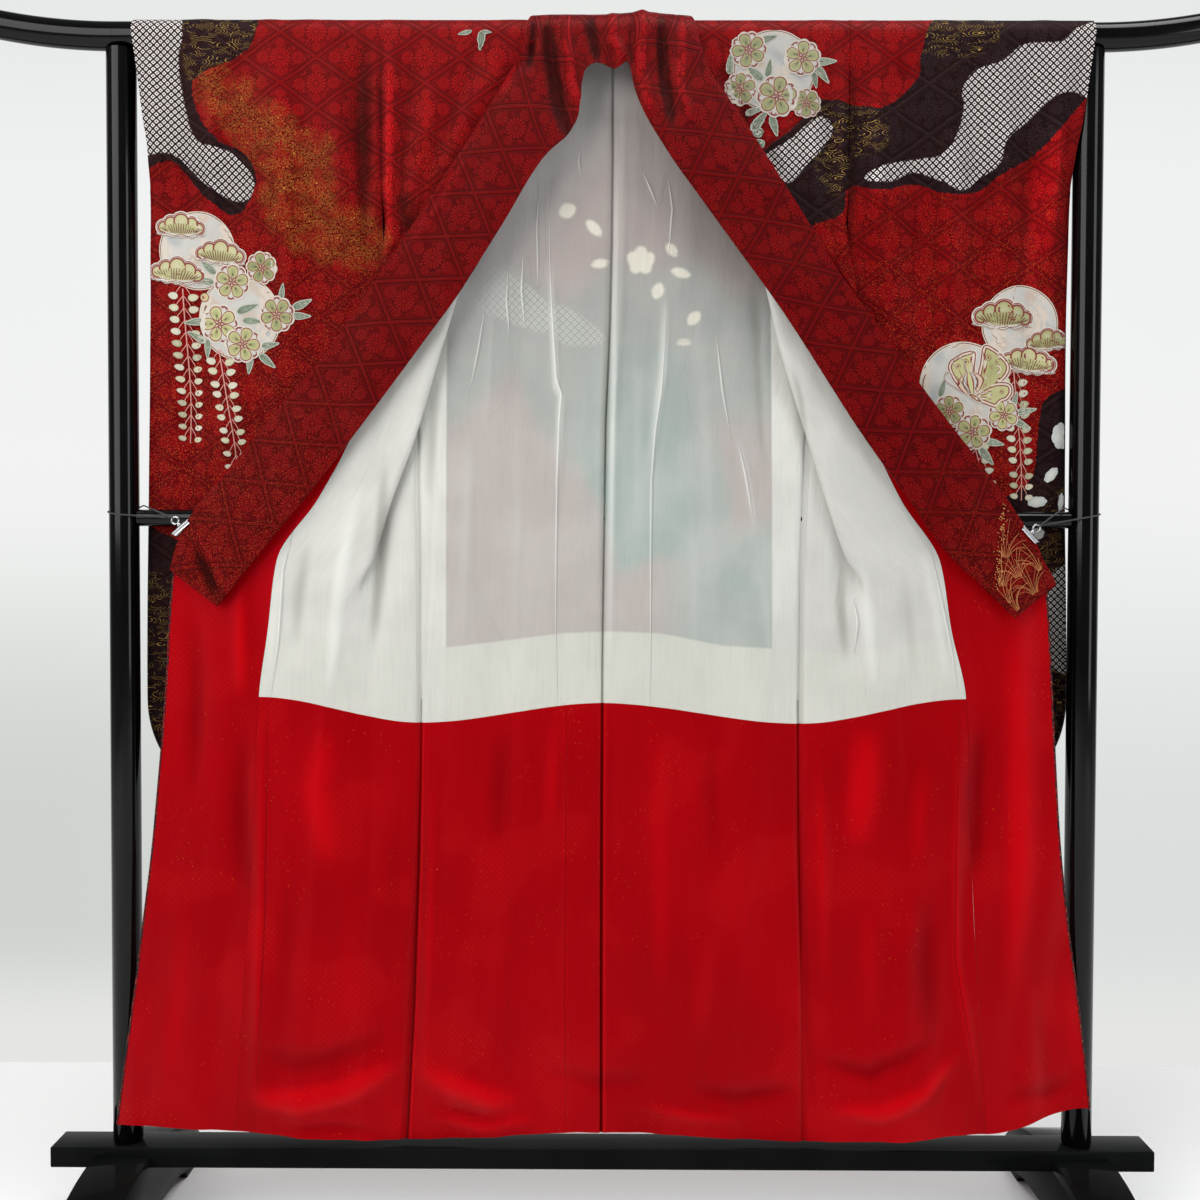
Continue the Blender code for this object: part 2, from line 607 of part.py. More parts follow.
def sleeve_sheet(side):
    sign = -1 if side == "left" else 1
    reads = {name: profile(SLEEVES, name) for name in Sleeve._fields[1:]}
    body_side = profile(SIDES, side)
    corner_top = SLEEVE_BOTTOM + SLEEVE_CORNER_RADIUS
    heights = [row.height for row in SLEEVES if row.height >= corner_top - 0.001]
    heights[-1] = corner_top
    corner_angles = [math.pi / 2 * k / CORNER_STEPS for k in range(1, CORNER_STEPS + 1)]
    heights += [corner_top - SLEEVE_CORNER_RADIUS * math.sin(angle) for angle in corner_angles]

    def outer_x(height):
        x = reads["outer_" + side](height)
        below = max(corner_top - height, 0.0)
        return x - SLEEVE_CORNER_RADIUS + math.sqrt(
            max(SLEEVE_CORNER_RADIUS ** 2 - below ** 2, 0.0))

    points = {}
    for layer in ("front", "back"):
        for i, height in enumerate(heights):
            inner = reads["inner_" + side](height)
            if height > CUFF_BOTTOM:
                inner = body_side(height) + SEAM_GAP
            for j in range(SLEEVE_COLUMNS):
                t = j / (SLEEVE_COLUMNS - 1)
                depth = (reads[layer + "_inner"](height) * (1 - t)
                         + reads[layer + "_outer"](height) * t)
                x = inner + (outer_x(height) - inner) * t
                points[layer, i, j] = Vector((sign * x, depth, height))
    for step in range(1, FOLD_STEPS):
        for j in range(SLEEVE_COLUMNS):
            points["rail", step, j] = over_rail(points["front", 0, j].x, step)
    for j in range(SLEEVE_COLUMNS):
        points["ridge", 0, j] = (points["rail", FOLD_STEPS // 2, j]
                                 + points["rail", FOLD_STEPS // 2 + 1, j]) / 2
    rows = list(range(len(heights)))
    front_over = [("front", 0)] + [("rail", k) for k in range(1, FOLD_STEPS // 2 + 1)]
    back_over = [("rail", k) for k in range(FOLD_STEPS // 2 + 1, FOLD_STEPS)] + [("back", 0)]
    cells = {"front": grid_cells(rows, SLEEVE_COLUMNS, "front")
             + strip_cells(front_over + [("ridge", 0)], SLEEVE_COLUMNS),
             "back": grid_cells(rows, SLEEVE_COLUMNS, "back")
             + strip_cells([("ridge", 0)] + back_over, SLEEVE_COLUMNS)}

    # The two layers meet along the outer edge below the cuff and along the bottom.
    first = max(i for i in rows if heights[i] >= CUFF_BOTTOM - 0.001)
    last = SLEEVE_COLUMNS - 1
    path = [(i, last) for i in range(first, len(rows))]
    path += [(rows[-1], j) for j in range(last - 1, -1, -1)]
    for k, (i, j) in enumerate(path):
        front, back = points["front", i, j], points["back", i, j]
        before, after = path[max(k - 1, 0)], path[min(k + 1, len(path) - 1)]
        along = points["front", *after] - points["front", *before]
        away = Vector((-along.z, 0, along.x)).normalized() * sign
        if k == len(path) - 1:
            away = Vector((0, 0, -1))
        points["edge", i, j] = (front + back) / 2 + away * SLEEVE_EDGE_REACH
    for start, end in zip(path, path[1:]):
        for layer in ("front", "back"):
            cells[layer].append([(layer, *start), (layer, *end), ("edge", *end), ("edge", *start)])
    return points, cells


def make_sleeve(side, looks):
    """The strip's front and back layers, half a seam gap either side of where they meet."""
    points, cells = sleeve_sheet(side)
    for layer, facing in (("front", -1), ("back", 1)):
        shift = Vector((0, facing * SEAM_GAP / 2, 0))
        moved = {key: point + shift if key[0] in ("edge", "ridge") else point
                 for key, point in points.items()}
        thicken("sleeve_" + layer + "_" + side, moved, orient(cells[layer]), 0.0, CLOTH_WALL,
                looks["brocade"], Vector((0, facing, 0)))


def wrap_point(x, drop, lift):
    """Map a place on the flat collar to the front of the rail, over it and behind."""
    radius = COLLAR_RADIUS + lift
    if drop >= 0:
        return Vector((x, -radius, RAIL_HEIGHT - drop))
    angle = -drop / COLLAR_RADIUS
    if angle <= math.pi:
        return Vector((x, -radius * math.cos(angle), RAIL_HEIGHT + radius * math.sin(angle)))
    return Vector((x, radius, RAIL_HEIGHT + drop + math.pi * COLLAR_RADIUS))


def make_collar(looks):
    points = {}
    for i, band in enumerate(COLLAR_BANDS):
        for j in range(COLLAR_COLUMNS):
            t = j / (COLLAR_COLUMNS - 1)
            points["", i, j] = wrap_point(
                band.seam_x + (band.free_x - band.seam_x) * t,
                band.seam_drop + (band.free_drop - band.seam_drop) * t,
                band.seam_lift + (band.free_lift - band.seam_lift) * t)
    cells = grid_cells(list(range(len(COLLAR_BANDS))), COLLAR_COLUMNS)
    thicken("collar", points, cells, 0.0, COLLAR_WALL, looks["brocade"], Vector((0, -1, 0)))


def cylinder_between(start, end, radius, sides):
    shape = bmesh.new()
    axis = end - start
    bmesh.ops.create_cone(shape, cap_ends=True, segments=sides, radius1=radius,
                          radius2=radius, depth=axis.length)
    turn = Vector((0, 0, 1)).rotation_difference(axis).to_matrix().to_4x4()
    shape.transform(turn)
    bmesh.ops.translate(shape, verts=shape.verts, vec=(start + end) / 2)
    return shape


def rail_height(x):
    """The rail is level between its posts and lifts towards both tips."""
    beyond = max(abs(x) - RAIL_FLAT_HALF, 0.0) / (RAIL_HALF_LENGTH - RAIL_FLAT_HALF)
    return RAIL_HEIGHT + RAIL_TIP_RISE * beyond ** 2


def add_bar(name, stations, looks):
    """A round bar through stations along X, each a place and a radius."""
    sides = 20
    shape = bmesh.new()
    rings = []
    for x, radius in stations:
        ring = []
        for k in range(sides):
            angle = 2 * math.pi * k / sides
            ring.append(shape.verts.new((x, radius * math.cos(angle),
                                         rail_height(x) + radius * math.sin(angle))))
        rings.append(ring)
    for first, second in zip(rings, rings[1:]):
        for k in range(sides):
            n = (k + 1) % sides
            shape.faces.new((first[k], first[n], second[n], second[k]))
    shape.faces.new(rings[0])
    shape.faces.new(rings[-1])
    add_object(name, shape, looks["lacquer"], math.radians(40))


def make_top_rail(looks):
    """A straight bar, and a lifting tip plugged on at each end just past the posts."""
    add_bar("stand_top_rail", [(-RAIL_FLAT_HALF, RAIL_RADIUS), (0.0, RAIL_RADIUS),
                               (RAIL_FLAT_HALF, RAIL_RADIUS)], looks)
    start, end = RAIL_FLAT_HALF + SEAM_GAP, RAIL_HALF_LENGTH - RAIL_END_ROUND
    stations = [(start + (end - start) * k / 5, RAIL_RADIUS) for k in range(6)]
    for k in range(1, 4):
        angle = math.pi / 2 * k / 4
        stations.append((end + RAIL_END_ROUND * math.sin(angle),
                         RAIL_RADIUS - RAIL_END_ROUND * (1 - math.cos(angle))))
    stations.append((RAIL_HALF_LENGTH, RAIL_RADIUS - RAIL_END_ROUND))
    for side, sign in (("left", -1), ("right", 1)):
        add_bar("stand_rail_tip_" + side, [(sign * x, radius) for x, radius in stations], looks)


def make_posts(looks):
    """Each post is coped at the top to the round underside of the rail."""
    cutter_shape = cylinder_between(Vector((-RAIL_FLAT_HALF - 0.1, 0, RAIL_HEIGHT)),
                                    Vector((RAIL_FLAT_HALF + 0.1, 0, RAIL_HEIGHT)),
                                    RAIL_RADIUS + SEAM_GAP, 48)
    cutter = add_object("rail_cope", cutter_shape, looks["lacquer"])
    cutter.hide_render = True
    cutter.display_type = "WIRE"
    for side, sign in (("left", -1), ("right", 1)):
        x = sign * POST_X
        shape = cylinder_between(Vector((x, 0, BEAM_TOP + SEAM_GAP)),
                                 Vector((x, 0, POST_COPE_HEIGHT)), POST_RADIUS, 28)
        post = add_object("stand_post_" + side, shape, looks["lacquer"], math.radians(40))
        cope = post.modifiers.new("cope", "BOOLEAN")
        cope.operation = "DIFFERENCE"
        cope.solver = "EXACT"
        cope.object = cutter


def make_mid_rail(looks):
    reach = POST_X - POST_RADIUS - SEAM_GAP
    shape = cylinder_between(Vector((-reach, 0, MID_RAIL_HEIGHT)),
                             Vector((reach, 0, MID_RAIL_HEIGHT)), MID_RAIL_RADIUS, 20)
    add_object("stand_mid_rail", shape, looks["lacquer"], math.radians(40))


def add_bevel(made):
    bevel = made.modifiers.new("edges", "BEVEL")
    bevel.width = EDGE_BEVEL
    bevel.segments = 1
    bevel.limit_method = "ANGLE"


def make_beam(looks):
    shape = bmesh.new()
    bmesh.ops.create_cube(shape, size=1.0)
    bmesh.ops.scale(shape, verts=shape.verts, vec=(BEAM_LENGTH, BEAM_DEPTH, BEAM_HEIGHT))
    bmesh.ops.translate(shape, verts=shape.verts, vec=(0, 0, BEAM_TOP - BEAM_HEIGHT / 2))
    add_bevel(add_object("stand_beam", shape, looks["lacquer"]))


def foot_outline():
    """Half the foot's side view, from the arch's middle out and back to the beam slot."""
    slot_half = BEAM_DEPTH / 2 + SEAM_GAP
    slot_floor = BEAM_TOP - BEAM_HEIGHT - SEAM_GAP
    arch_end = FOOT_PAD_START - 0.030
    return [(arch_end, FOOT_ARCH), (FOOT_PAD_START - 0.008, FOOT_ARCH * 0.6),
            (FOOT_PAD_START, 0.0), (FOOT_HALF_LENGTH - 0.006, 0.0),
            (FOOT_HALF_LENGTH, 0.006), (FOOT_HALF_LENGTH - 0.004, 0.028),
            (0.196, 0.046), (0.177, 0.062), (0.150, 0.079), (0.119, 0.092),
            (0.095, 0.099), (0.072, 0.1035), (0.050, 0.1065), (slot_half, 0.108),
            (slot_half, slot_floor)]


def make_feet(looks):
    half = foot_outline()
    outline = half + [(-y, z) for y, z in reversed(half)]
    for side, sign in (("left", -1), ("right", 1)):
        shape = bmesh.new()
        near_x = sign * POST_X - FOOT_WIDTH / 2
        ring = [shape.verts.new((near_x, y, z)) for y, z in outline]
        face = shape.faces.new(ring)
        grown = bmesh.ops.extrude_face_region(shape, geom=[face])
        moved = [item for item in grown["geom"] if isinstance(item, bmesh.types.BMVert)]
        bmesh.ops.translate(shape, verts=moved, vec=(FOOT_WIDTH, 0, 0))
        add_bevel(add_object("stand_foot_" + side, shape, looks["lacquer"]))


def clip_frame(clip):
    """Along the gripped edge and away from the cloth, in the plane of the garment."""
    sign = -1 if clip.side == "left" else 1
    along = Vector((1, 0, clip.slope)).normalized()
    away = Vector((-along.z, 0, along.x))
    if away.x * sign < 0:
        away = -away
    return Vector((clip.x, CLIP_GRIP_DEPTH, clip.height)), along, away


def make_clip(clip, looks):
    """A sprung steel clip: two jaws from one spine, and a wire ring for the cord."""
    centre, along, away = clip_frame(clip)
    depth = Vector((0, 1, 0))
    outside = [(-CLIP_JAW, CLIP_GRIP_HALF), (CLIP_SPINE, CLIP_SPINE_HALF)]
    inside = [(CLIP_SPINE - CLIP_WALL, CLIP_SPINE_HALF - CLIP_WALL),
              (-CLIP_JAW, CLIP_GRIP_HALF - CLIP_WALL)]
    section = (outside + [(a, -d) for a, d in reversed(outside)]
               + [(a, -d) for a, d in reversed(inside)] + inside)
    shape = bmesh.new()
    ring = [shape.verts.new(centre - along * CLIP_LENGTH / 2 + away * a + depth * d)
            for a, d in section]
    face = shape.faces.new(ring)
    grown = bmesh.ops.extrude_face_region(shape, geom=[face])
    moved = [item for item in grown["geom"] if isinstance(item, bmesh.types.BMVert)]
    bmesh.ops.translate(shape, verts=moved, vec=along * CLIP_LENGTH)
    made = add_object("clip_" + clip.side, shape, looks["chrome"])

    # The ring's wire passes through the spine, so the two are one piece.
    ring_shape = bmesh.new()
    around, wire = 20, 8
    middle = centre + away * (CLIP_SPINE + RING_RADIUS - RING_OVERLAP)
    loops = []
    for k in range(around):
        angle = 2 * math.pi * k / around
        spoke = away * math.cos(angle) + along * math.sin(angle)
        loops.append([ring_shape.verts.new(
            middle + spoke * (RING_RADIUS + RING_WIRE * math.cos(2 * math.pi * n / wire))
            + depth * RING_WIRE * math.sin(2 * math.pi * n / wire)) for n in range(wire)])
    for k in range(around):
        first, second = loops[k], loops[(k + 1) % around]
        for n in range(wire):
            m = (n + 1) % wire
            ring_shape.faces.new((first[n], first[m], second[m], second[n]))
    tool = add_object("ring_" + clip.side, ring_shape, looks["chrome"])
    tool.hide_render = True
    tool.display_type = "WIRE"
    join = made.modifiers.new("ring", "BOOLEAN")
    join.operation = "UNION"
    join.solver = "EXACT"
    join.object = tool


def make_cord(clip, looks):
    """An elastic loop through the clip's ring and round the post above the mid rail."""
    centre, _, away = clip_frame(clip)
    sign = -1 if clip.side == "left" else 1
    ring = centre + away * (CLIP_SPINE + RING_RADIUS - RING_OVERLAP)
    radius = POST_RADIUS + CORD_RADIUS + CORD_POST_GAP
    over = MID_RAIL_HEIGHT + MID_RAIL_RADIUS + CORD_RADIUS + 0.003
    front_height = MID_RAIL_HEIGHT + 0.004
    route = []
    for k in range(CORD_TURN_POINTS + 1):
        t = k / CORD_TURN_POINTS
        angle = math.radians(-85 + 255 * t)
        height = front_height + (over - front_height) * min(1.0, 1.4 * t)
        route.append((sign * (POST_X + radius * math.cos(angle)),
                      radius * math.sin(angle), height))
    route.append((sign * (POST_X - 0.034), -0.016, over + 0.001))
    last = Vector(route[-1])
    bend = ring + away * (RING_RADIUS + 0.0002)
    route.append(last.lerp(bend, 0.5))
    for k in range(CORD_BEND_POINTS + 1):
        angle = math.pi * (0.5 - k / CORD_BEND_POINTS)
        route.append(bend - away * CORD_RING_BEND * math.cos(angle)
                     - Vector((0, 1, 0)) * CORD_RING_BEND * math.sin(angle))
    curve = bpy.data.curves.new("clip_cord_" + clip.side, "CURVE")
    curve.dimensions = "3D"
    curve.bevel_depth = CORD_RADIUS
    curve.bevel_resolution = 2
    line = curve.splines.new("POLY")
    line.points.add(len(route) - 1)
    for point, place in zip(line.points, route):
        point.co = (*place, 1.0)
    line.use_cyclic_u = True
    curve.materials.append(looks["elastic"])
    made = bpy.data.objects.new("clip_cord_" + clip.side, curve)
    bpy.context.scene.collection.objects.link(made)


def main():
    remove_everything()
    looks = {
        "lacquer": material("black_lacquer", (0.008, 0.008, 0.009), 0.12),
        "brocade": material("red_brocade", (0.33, 0.012, 0.014), 0.55),
        "white": material("white_silk", (0.72, 0.73, 0.70), 0.60),
        "red": material("red_silk", (0.62, 0.008, 0.012), 0.45),
        "chrome": material("clip_chrome", (0.80, 0.80, 0.82), 0.15, 1.0),
        "elastic": material("black_elastic", (0.012, 0.012, 0.016), 0.70),
    }
    make_feet(looks)
    make_beam(looks)
    make_posts(looks)
    make_mid_rail(looks)
    make_top_rail(looks)
    for side in ("left", "right"):
        make_body(Half(side), looks)
        make_sleeve(side, looks)
    make_collar(looks)
    for clip in CLIPS:
        make_clip(clip, looks)
        make_cord(clip, looks)


main()
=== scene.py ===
"""The looks of a lined furisode hung open, lining forward, over a black stand.

Metres, +Z up. The fine cloth is made from the same tables as the solids, so
each sheet lies on its own solid. Cloth patterns are drawn in the cloth's own
width and length, which each point carries as the attribute "cloth".
"""

import math
from collections import namedtuple

import bmesh
import bpy
import numpy as np
from mathutils import Matrix, Vector
from mathutils.bvhtree import BVHTree


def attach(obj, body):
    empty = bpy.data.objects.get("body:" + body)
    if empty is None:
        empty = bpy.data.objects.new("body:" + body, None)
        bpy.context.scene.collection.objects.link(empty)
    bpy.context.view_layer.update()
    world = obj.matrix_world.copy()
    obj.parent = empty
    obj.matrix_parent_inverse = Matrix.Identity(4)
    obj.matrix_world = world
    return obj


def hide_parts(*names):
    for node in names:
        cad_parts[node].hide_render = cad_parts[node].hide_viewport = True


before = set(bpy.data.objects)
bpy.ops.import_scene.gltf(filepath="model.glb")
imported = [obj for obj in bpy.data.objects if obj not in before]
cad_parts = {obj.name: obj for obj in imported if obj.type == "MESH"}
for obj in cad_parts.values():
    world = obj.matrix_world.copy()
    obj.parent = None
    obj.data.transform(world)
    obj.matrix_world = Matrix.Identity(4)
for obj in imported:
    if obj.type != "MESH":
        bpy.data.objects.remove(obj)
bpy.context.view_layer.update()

# The photograph's camera, in its 1200 pixel square frame.
PHOTO_SIZE = 1200
FOCAL_PIXELS = 1260.0
CAMERA_PLACE = np.array((0.0023, -1.8229, 0.9527))
CAMERA_YAW, CAMERA_PITCH, CAMERA_ROLL = -0.0037, 0.0248, 0.0027
CAMERA_SHIFT_PIXELS = 4.5
BACKDROP_PLACE = 6.0

# Fineness of the cloth
ROW_STEP = 0.007
ARC_STEPS = 12
FRONT_PARTS = (10, 3, 3, 8, 8, 3, 3, 8, 8, 8)
NECK_COLUMNS = 20
OKUMI_COLUMNS = 24
SLEEVE_FINE_COLUMNS = 50
SLEEVE_ROW_STEP = 0.007
SLEEVE_CORNER_FINE = 24
COLLAR_ROWS = 320
COLLAR_FINE_COLUMNS = 22

# Faces of the cloth along its outward side, from its own sheet of points
OUTER_FACE = 0.0010
INNER_FACE = 0.0001
LINING_FACE = -0.0006
SEAM_GROOVE = 0.0035

# Cloth
SEAM_GAP = 0.0003

# Stand
RAIL_HEIGHT = 1.720
RAIL_RADIUS = 0.020
RAIL_HALF_LENGTH = 0.920
RAIL_FLAT_HALF = 0.700
RAIL_TIP_RISE = 0.028
RAIL_END_ROUND = 0.012
POST_X = 0.6928
POST_RADIUS = 0.021
MID_RAIL_HEIGHT = 1.031
MID_RAIL_RADIUS = 0.012
BEAM_LENGTH = 1.5925
BEAM_DEPTH = 0.054
BEAM_TOP = 0.122
BEAM_HEIGHT = 0.0295
FOOT_WIDTH = 0.082
FOOT_HALF_LENGTH = 0.215
FOOT_PAD_START = 0.135
FOOT_ARCH = 0.019

# Cloth over the rail: the chords of the fold stay clear of the round rail.
FOLD_STEPS = 7
FOLD_RADIUS = (RAIL_RADIUS + 0.0005) / math.cos(math.pi / FOLD_STEPS / 2)
CREASE_HALF = 0.004

# Side edge of a front and a back panel. The two are sewn below the underarm.
Side = namedtuple("Side", "height left right front_depth back_depth")
SIDES = (
    Side(1.720, 0.3180, 0.3470, -0.0215, 0.0212),
    Side(1.500, 0.3140, 0.3460, -0.0210, 0.0210),
    Side(1.450, 0.3108, 0.3430, -0.0165, 0.0150),
    Side(1.410, 0.3085, 0.3410, -0.0120, 0.0080),
    Side(1.360, 0.3000, 0.3360, -0.0040, -0.0040),
    Side(1.272, 0.2870, 0.3190, -0.0070, -0.0070),
    Side(1.148, 0.2660, 0.2900, -0.0120, -0.0120),
    Side(1.057, 0.2630, 0.2850, -0.0145, -0.0145),
    Side(0.970, 0.2615, 0.2820, -0.0145, -0.0145),
    Side(0.740, 0.2630, 0.2830, -0.0125, -0.0125),
    Side(0.130, 0.2860, 0.2930, -0.0110, -0.0110),
)

# The two folds of a front panel: first behind itself, then forward again.
# Arrive and leave are -1 inward or +1 outward: on which side the cloth meets the fold.
Fold = namedtuple("Fold", "height left right depth spread arrive leave")
BACK_FOLDS = (
    Fold(1.720, 0.3000, 0.3290, -0.0215, 0.000, 1, -1),
    Fold(1.500, 0.3010, 0.3320, -0.0215, 0.000, 1, -1),
    Fold(1.410, 0.3140, 0.3490, -0.0185, 0.004, 0, -1),
    Fold(1.360, 0.3230, 0.3600, -0.0135, 0.009, -1, -1),
    Fold(1.272, 0.3290, 0.3610, -0.0135, 0.009, -1, -1),
    Fold(1.148, 0.3370, 0.3640, -0.0165, 0.008, -1, -1),
    Fold(1.057, 0.3460, 0.3690, -0.0185, 0.007, -1, -1),
    Fold(0.972, 0.3430, 0.3660, -0.0190, 0.006, -1, -1),
    Fold(0.950, 0.3420, 0.3640, -0.0190, 0.004, -1, 0),
    Fold(0.930, 0.3400, 0.3620, -0.0190, 0.003, -1, 1),
    Fold(0.880, 0.3320, 0.3520, -0.0185, 0.000, -1, 1),
    Fold(0.740, 0.3280, 0.3480, -0.0165, 0.000, -1, 1),
    Fold(0.130, 0.3500, 0.3620, -0.0150, 0.000, -1, 1),
)
CREASES = (
    Fold(1.720, 0.0900, 0.1150, -0.0215, 0.000, 1, -1),
    Fold(1.700, 0.0980, 0.1225, -0.0238, 0.004, 1, 0),
    Fold(1.660, 0.1100, 0.1340, -0.0245, 0.005, 1, 1),
    Fold(1.600, 0.1260, 0.1520, -0.0252, 0.006, 1, 1),
    Fold(1.500, 0.1550, 0.1840, -0.0260, 0.006, 1, 1),
    Fold(1.360, 0.2030, 0.2290, -0.0265, 0.006, 1, 1),
    Fold(1.272, 0.2300, 0.2500, -0.0258, 0.006, 1, 1),
    Fold(1.148, 0.2670, 0.2890, -0.0258, 0.006, 1, 1),
    Fold(1.057, 0.3010, 0.3170, -0.0268, 0.006, 1, 1),
    Fold(0.972, 0.3290, 0.3480, -0.0275, 0.005, 1, 1),
    Fold(0.950, 0.3420, 0.3640, -0.0272, 0.004, 0, 1),
    Fold(0.930, 0.3540, 0.3760, -0.0268, 0.003, -1, 1),
    Fold(0.880, 0.3750, 0.3950, -0.0250, 0.000, -1, 1),
    Fold(0.740, 0.4050, 0.4250, -0.0240, 0.000, -1, 1),
    Fold(0.130, 0.4350, 0.4500, -0.0235, 0.000, -1, 1),
)

# Seam of a front panel with its okumi; above the okumi's tip, with the collar.
Edge = namedtuple("Edge", "height left right depth")
OKUMI_SEAMS = (
    Edge(1.720, 0.0800, 0.1050, -0.0215),
    Edge(1.700, 0.1030, 0.1275, -0.0310),
    Edge(1.660, 0.1300, 0.1520, -0.0290),
    Edge(1.600, 0.1720, 0.1910, -0.0290),
    Edge(1.500, 0.2350, 0.2540, -0.0300),
    Edge(1.455, 0.2600, 0.2780, -0.0305),
    Edge(1.360, 0.2930, 0.3110, -0.0320),
    Edge(1.272, 0.3180, 0.3360, -0.0325),
    Edge(1.148, 0.3570, 0.3790, -0.0325),
    Edge(1.057, 0.4050, 0.4220, -0.0325),
    Edge(0.970, 0.4640, 0.4780, -0.0320),
    Edge(0.872, 0.4770, 0.4950, -0.0315),
    Edge(0.771, 0.4910, 0.5170, -0.0300),
    Edge(0.450, 0.5080, 0.5330, -0.0270),
    Edge(0.130, 0.5300, 0.5540, -0.0240),
)

# Outer edge of an okumi: the collar seam, then the free front edge.
FRONT_EDGES = (
    Edge(1.455, 0.2640, 0.2820, -0.0320),
    Edge(1.360, 0.3200, 0.3480, -0.0340),
    Edge(1.272, 0.3850, 0.4080, -0.0350),
    Edge(1.148, 0.4890, 0.5010, -0.0360),
    Edge(1.057, 0.5640, 0.5700, -0.0360),
    Edge(0.972, 0.6060, 0.6220, -0.0360),
    Edge(0.915, 0.6130, 0.6290, -0.0345),
    Edge(0.800, 0.6210, 0.6370, -0.0325),
    Edge(0.600, 0.6390, 0.6490, -0.0295),
    Edge(0.430, 0.6590, 0.6670, -0.0275),
    Edge(0.300, 0.6760, 0.6840, -0.0260),
    Edge(0.130, 0.7000, 0.7010, -0.0245),
)

# Depth of a back panel along the centre seam, from the rail down.
Depth = namedtuple("Depth", "height depth")
CENTRE_DEPTHS = (
    Depth(1.720, 0.0212),
    Depth(1.660, 0.0185),
    Depth(1.360, 0.0035),
    Depth(1.148, -0.0080),
    Depth(1.031, -0.0145),
    Depth(0.740, -0.0135),
    Depth(0.130, -0.0100),
)
NECK_WIDTH_LEFT = 0.080
NECK_WIDTH_RIGHT = 0.105
NECK_CURVE_HEIGHT = 1.700

# How far each place lies above or below the nominal height of its row.
Rise = namedtuple("Rise", "height centre side seam front_left front_right")
RISES = (
    Rise(1.000, 0.000, 0.000, 0.000, 0.000, 0.000),
    Rise(0.872, -0.002, -0.010, 0.001, 0.000, 0.000),
    Rise(0.771, -0.005, -0.034, 0.004, 0.002, 0.002),
    Rise(0.600, 0.000, -0.018, 0.004, 0.004, 0.006),
    Rise(0.300, 0.008, -0.004, 0.012, 0.016, 0.034),
    Rise(0.130, 0.010, -0.001, 0.016, 0.024, 0.055),
)
UNDERARM_HEIGHT = 1.36
UPPER_HEIGHTS = (1.66, 1.60, 1.50, 1.45, 1.41, UNDERARM_HEIGHT)
LINING_SHOWN_TOP = 1.7135
OKUMI_TOP = 1.41
OKUMI_LINING_TOP = 1.148
LINING_JOIN = 0.771
HEM_BULGE = 0.012

# Sleeves: a bag with its inner edge open and a cuff slit at the top of the outer edge.
Sleeve = namedtuple("Sleeve", "height inner_left inner_right outer_left outer_right "
                    "front_inner front_outer back_inner back_outer")
SLEEVES = (
    Sleeve(1.720, 0.3183, 0.3473, 0.6710, 0.6940, -0.0215, -0.0217, 0.0212, 0.0217),
    Sleeve(1.660, 0.3174, 0.3471, 0.6620, 0.6865, -0.0215, -0.0217, 0.0212, 0.0217),
    Sleeve(1.600, 0.3163, 0.3469, 0.6545, 0.6790, -0.0215, -0.0217, 0.0212, 0.0212),
    Sleeve(1.550, 0.3155, 0.3468, 0.6480, 0.6700, -0.0215, -0.0190, 0.0212, 0.0180),
    Sleeve(1.500, 0.3148, 0.3468, 0.6480, 0.6655, -0.0210, -0.0095, 0.0210, 0.0145),
    Sleeve(1.410, 0.3160, 0.3463, 0.6505, 0.6640, -0.0080, -0.0010, 0.0205, 0.0130),
    Sleeve(1.340, 0.3170, 0.3465, 0.6520, 0.6640, -0.0010, 0.0040, 0.0200, 0.0140),
    Sleeve(1.272, 0.3175, 0.3465, 0.6545, 0.6650, 0.0040, 0.0080, 0.0185, 0.0160),
    Sleeve(1.148, 0.3180, 0.3465, 0.6580, 0.6665, 0.0100, 0.0120, 0.0200, 0.0195),
    Sleeve(1.031, 0.3180, 0.3465, 0.6610, 0.6690, 0.0145, 0.0145, 0.0230, 0.0225),
    Sleeve(0.900, 0.3180, 0.3465, 0.6650, 0.6740, 0.0190, 0.0200, 0.0275, 0.0275),
    Sleeve(0.765, 0.3180, 0.3465, 0.6670, 0.6770, 0.0225, 0.0235, 0.0310, 0.0310),
    Sleeve(0.610, 0.3180, 0.3465, 0.6670, 0.6770, 0.0235, 0.0245, 0.0320, 0.0320),
)
CUFF_BOTTOM = 1.50
SLEEVE_CORNER_RADIUS = 0.155
SLEEVE_BOTTOM = 0.610
SLEEVE_EDGE_REACH = 0.003

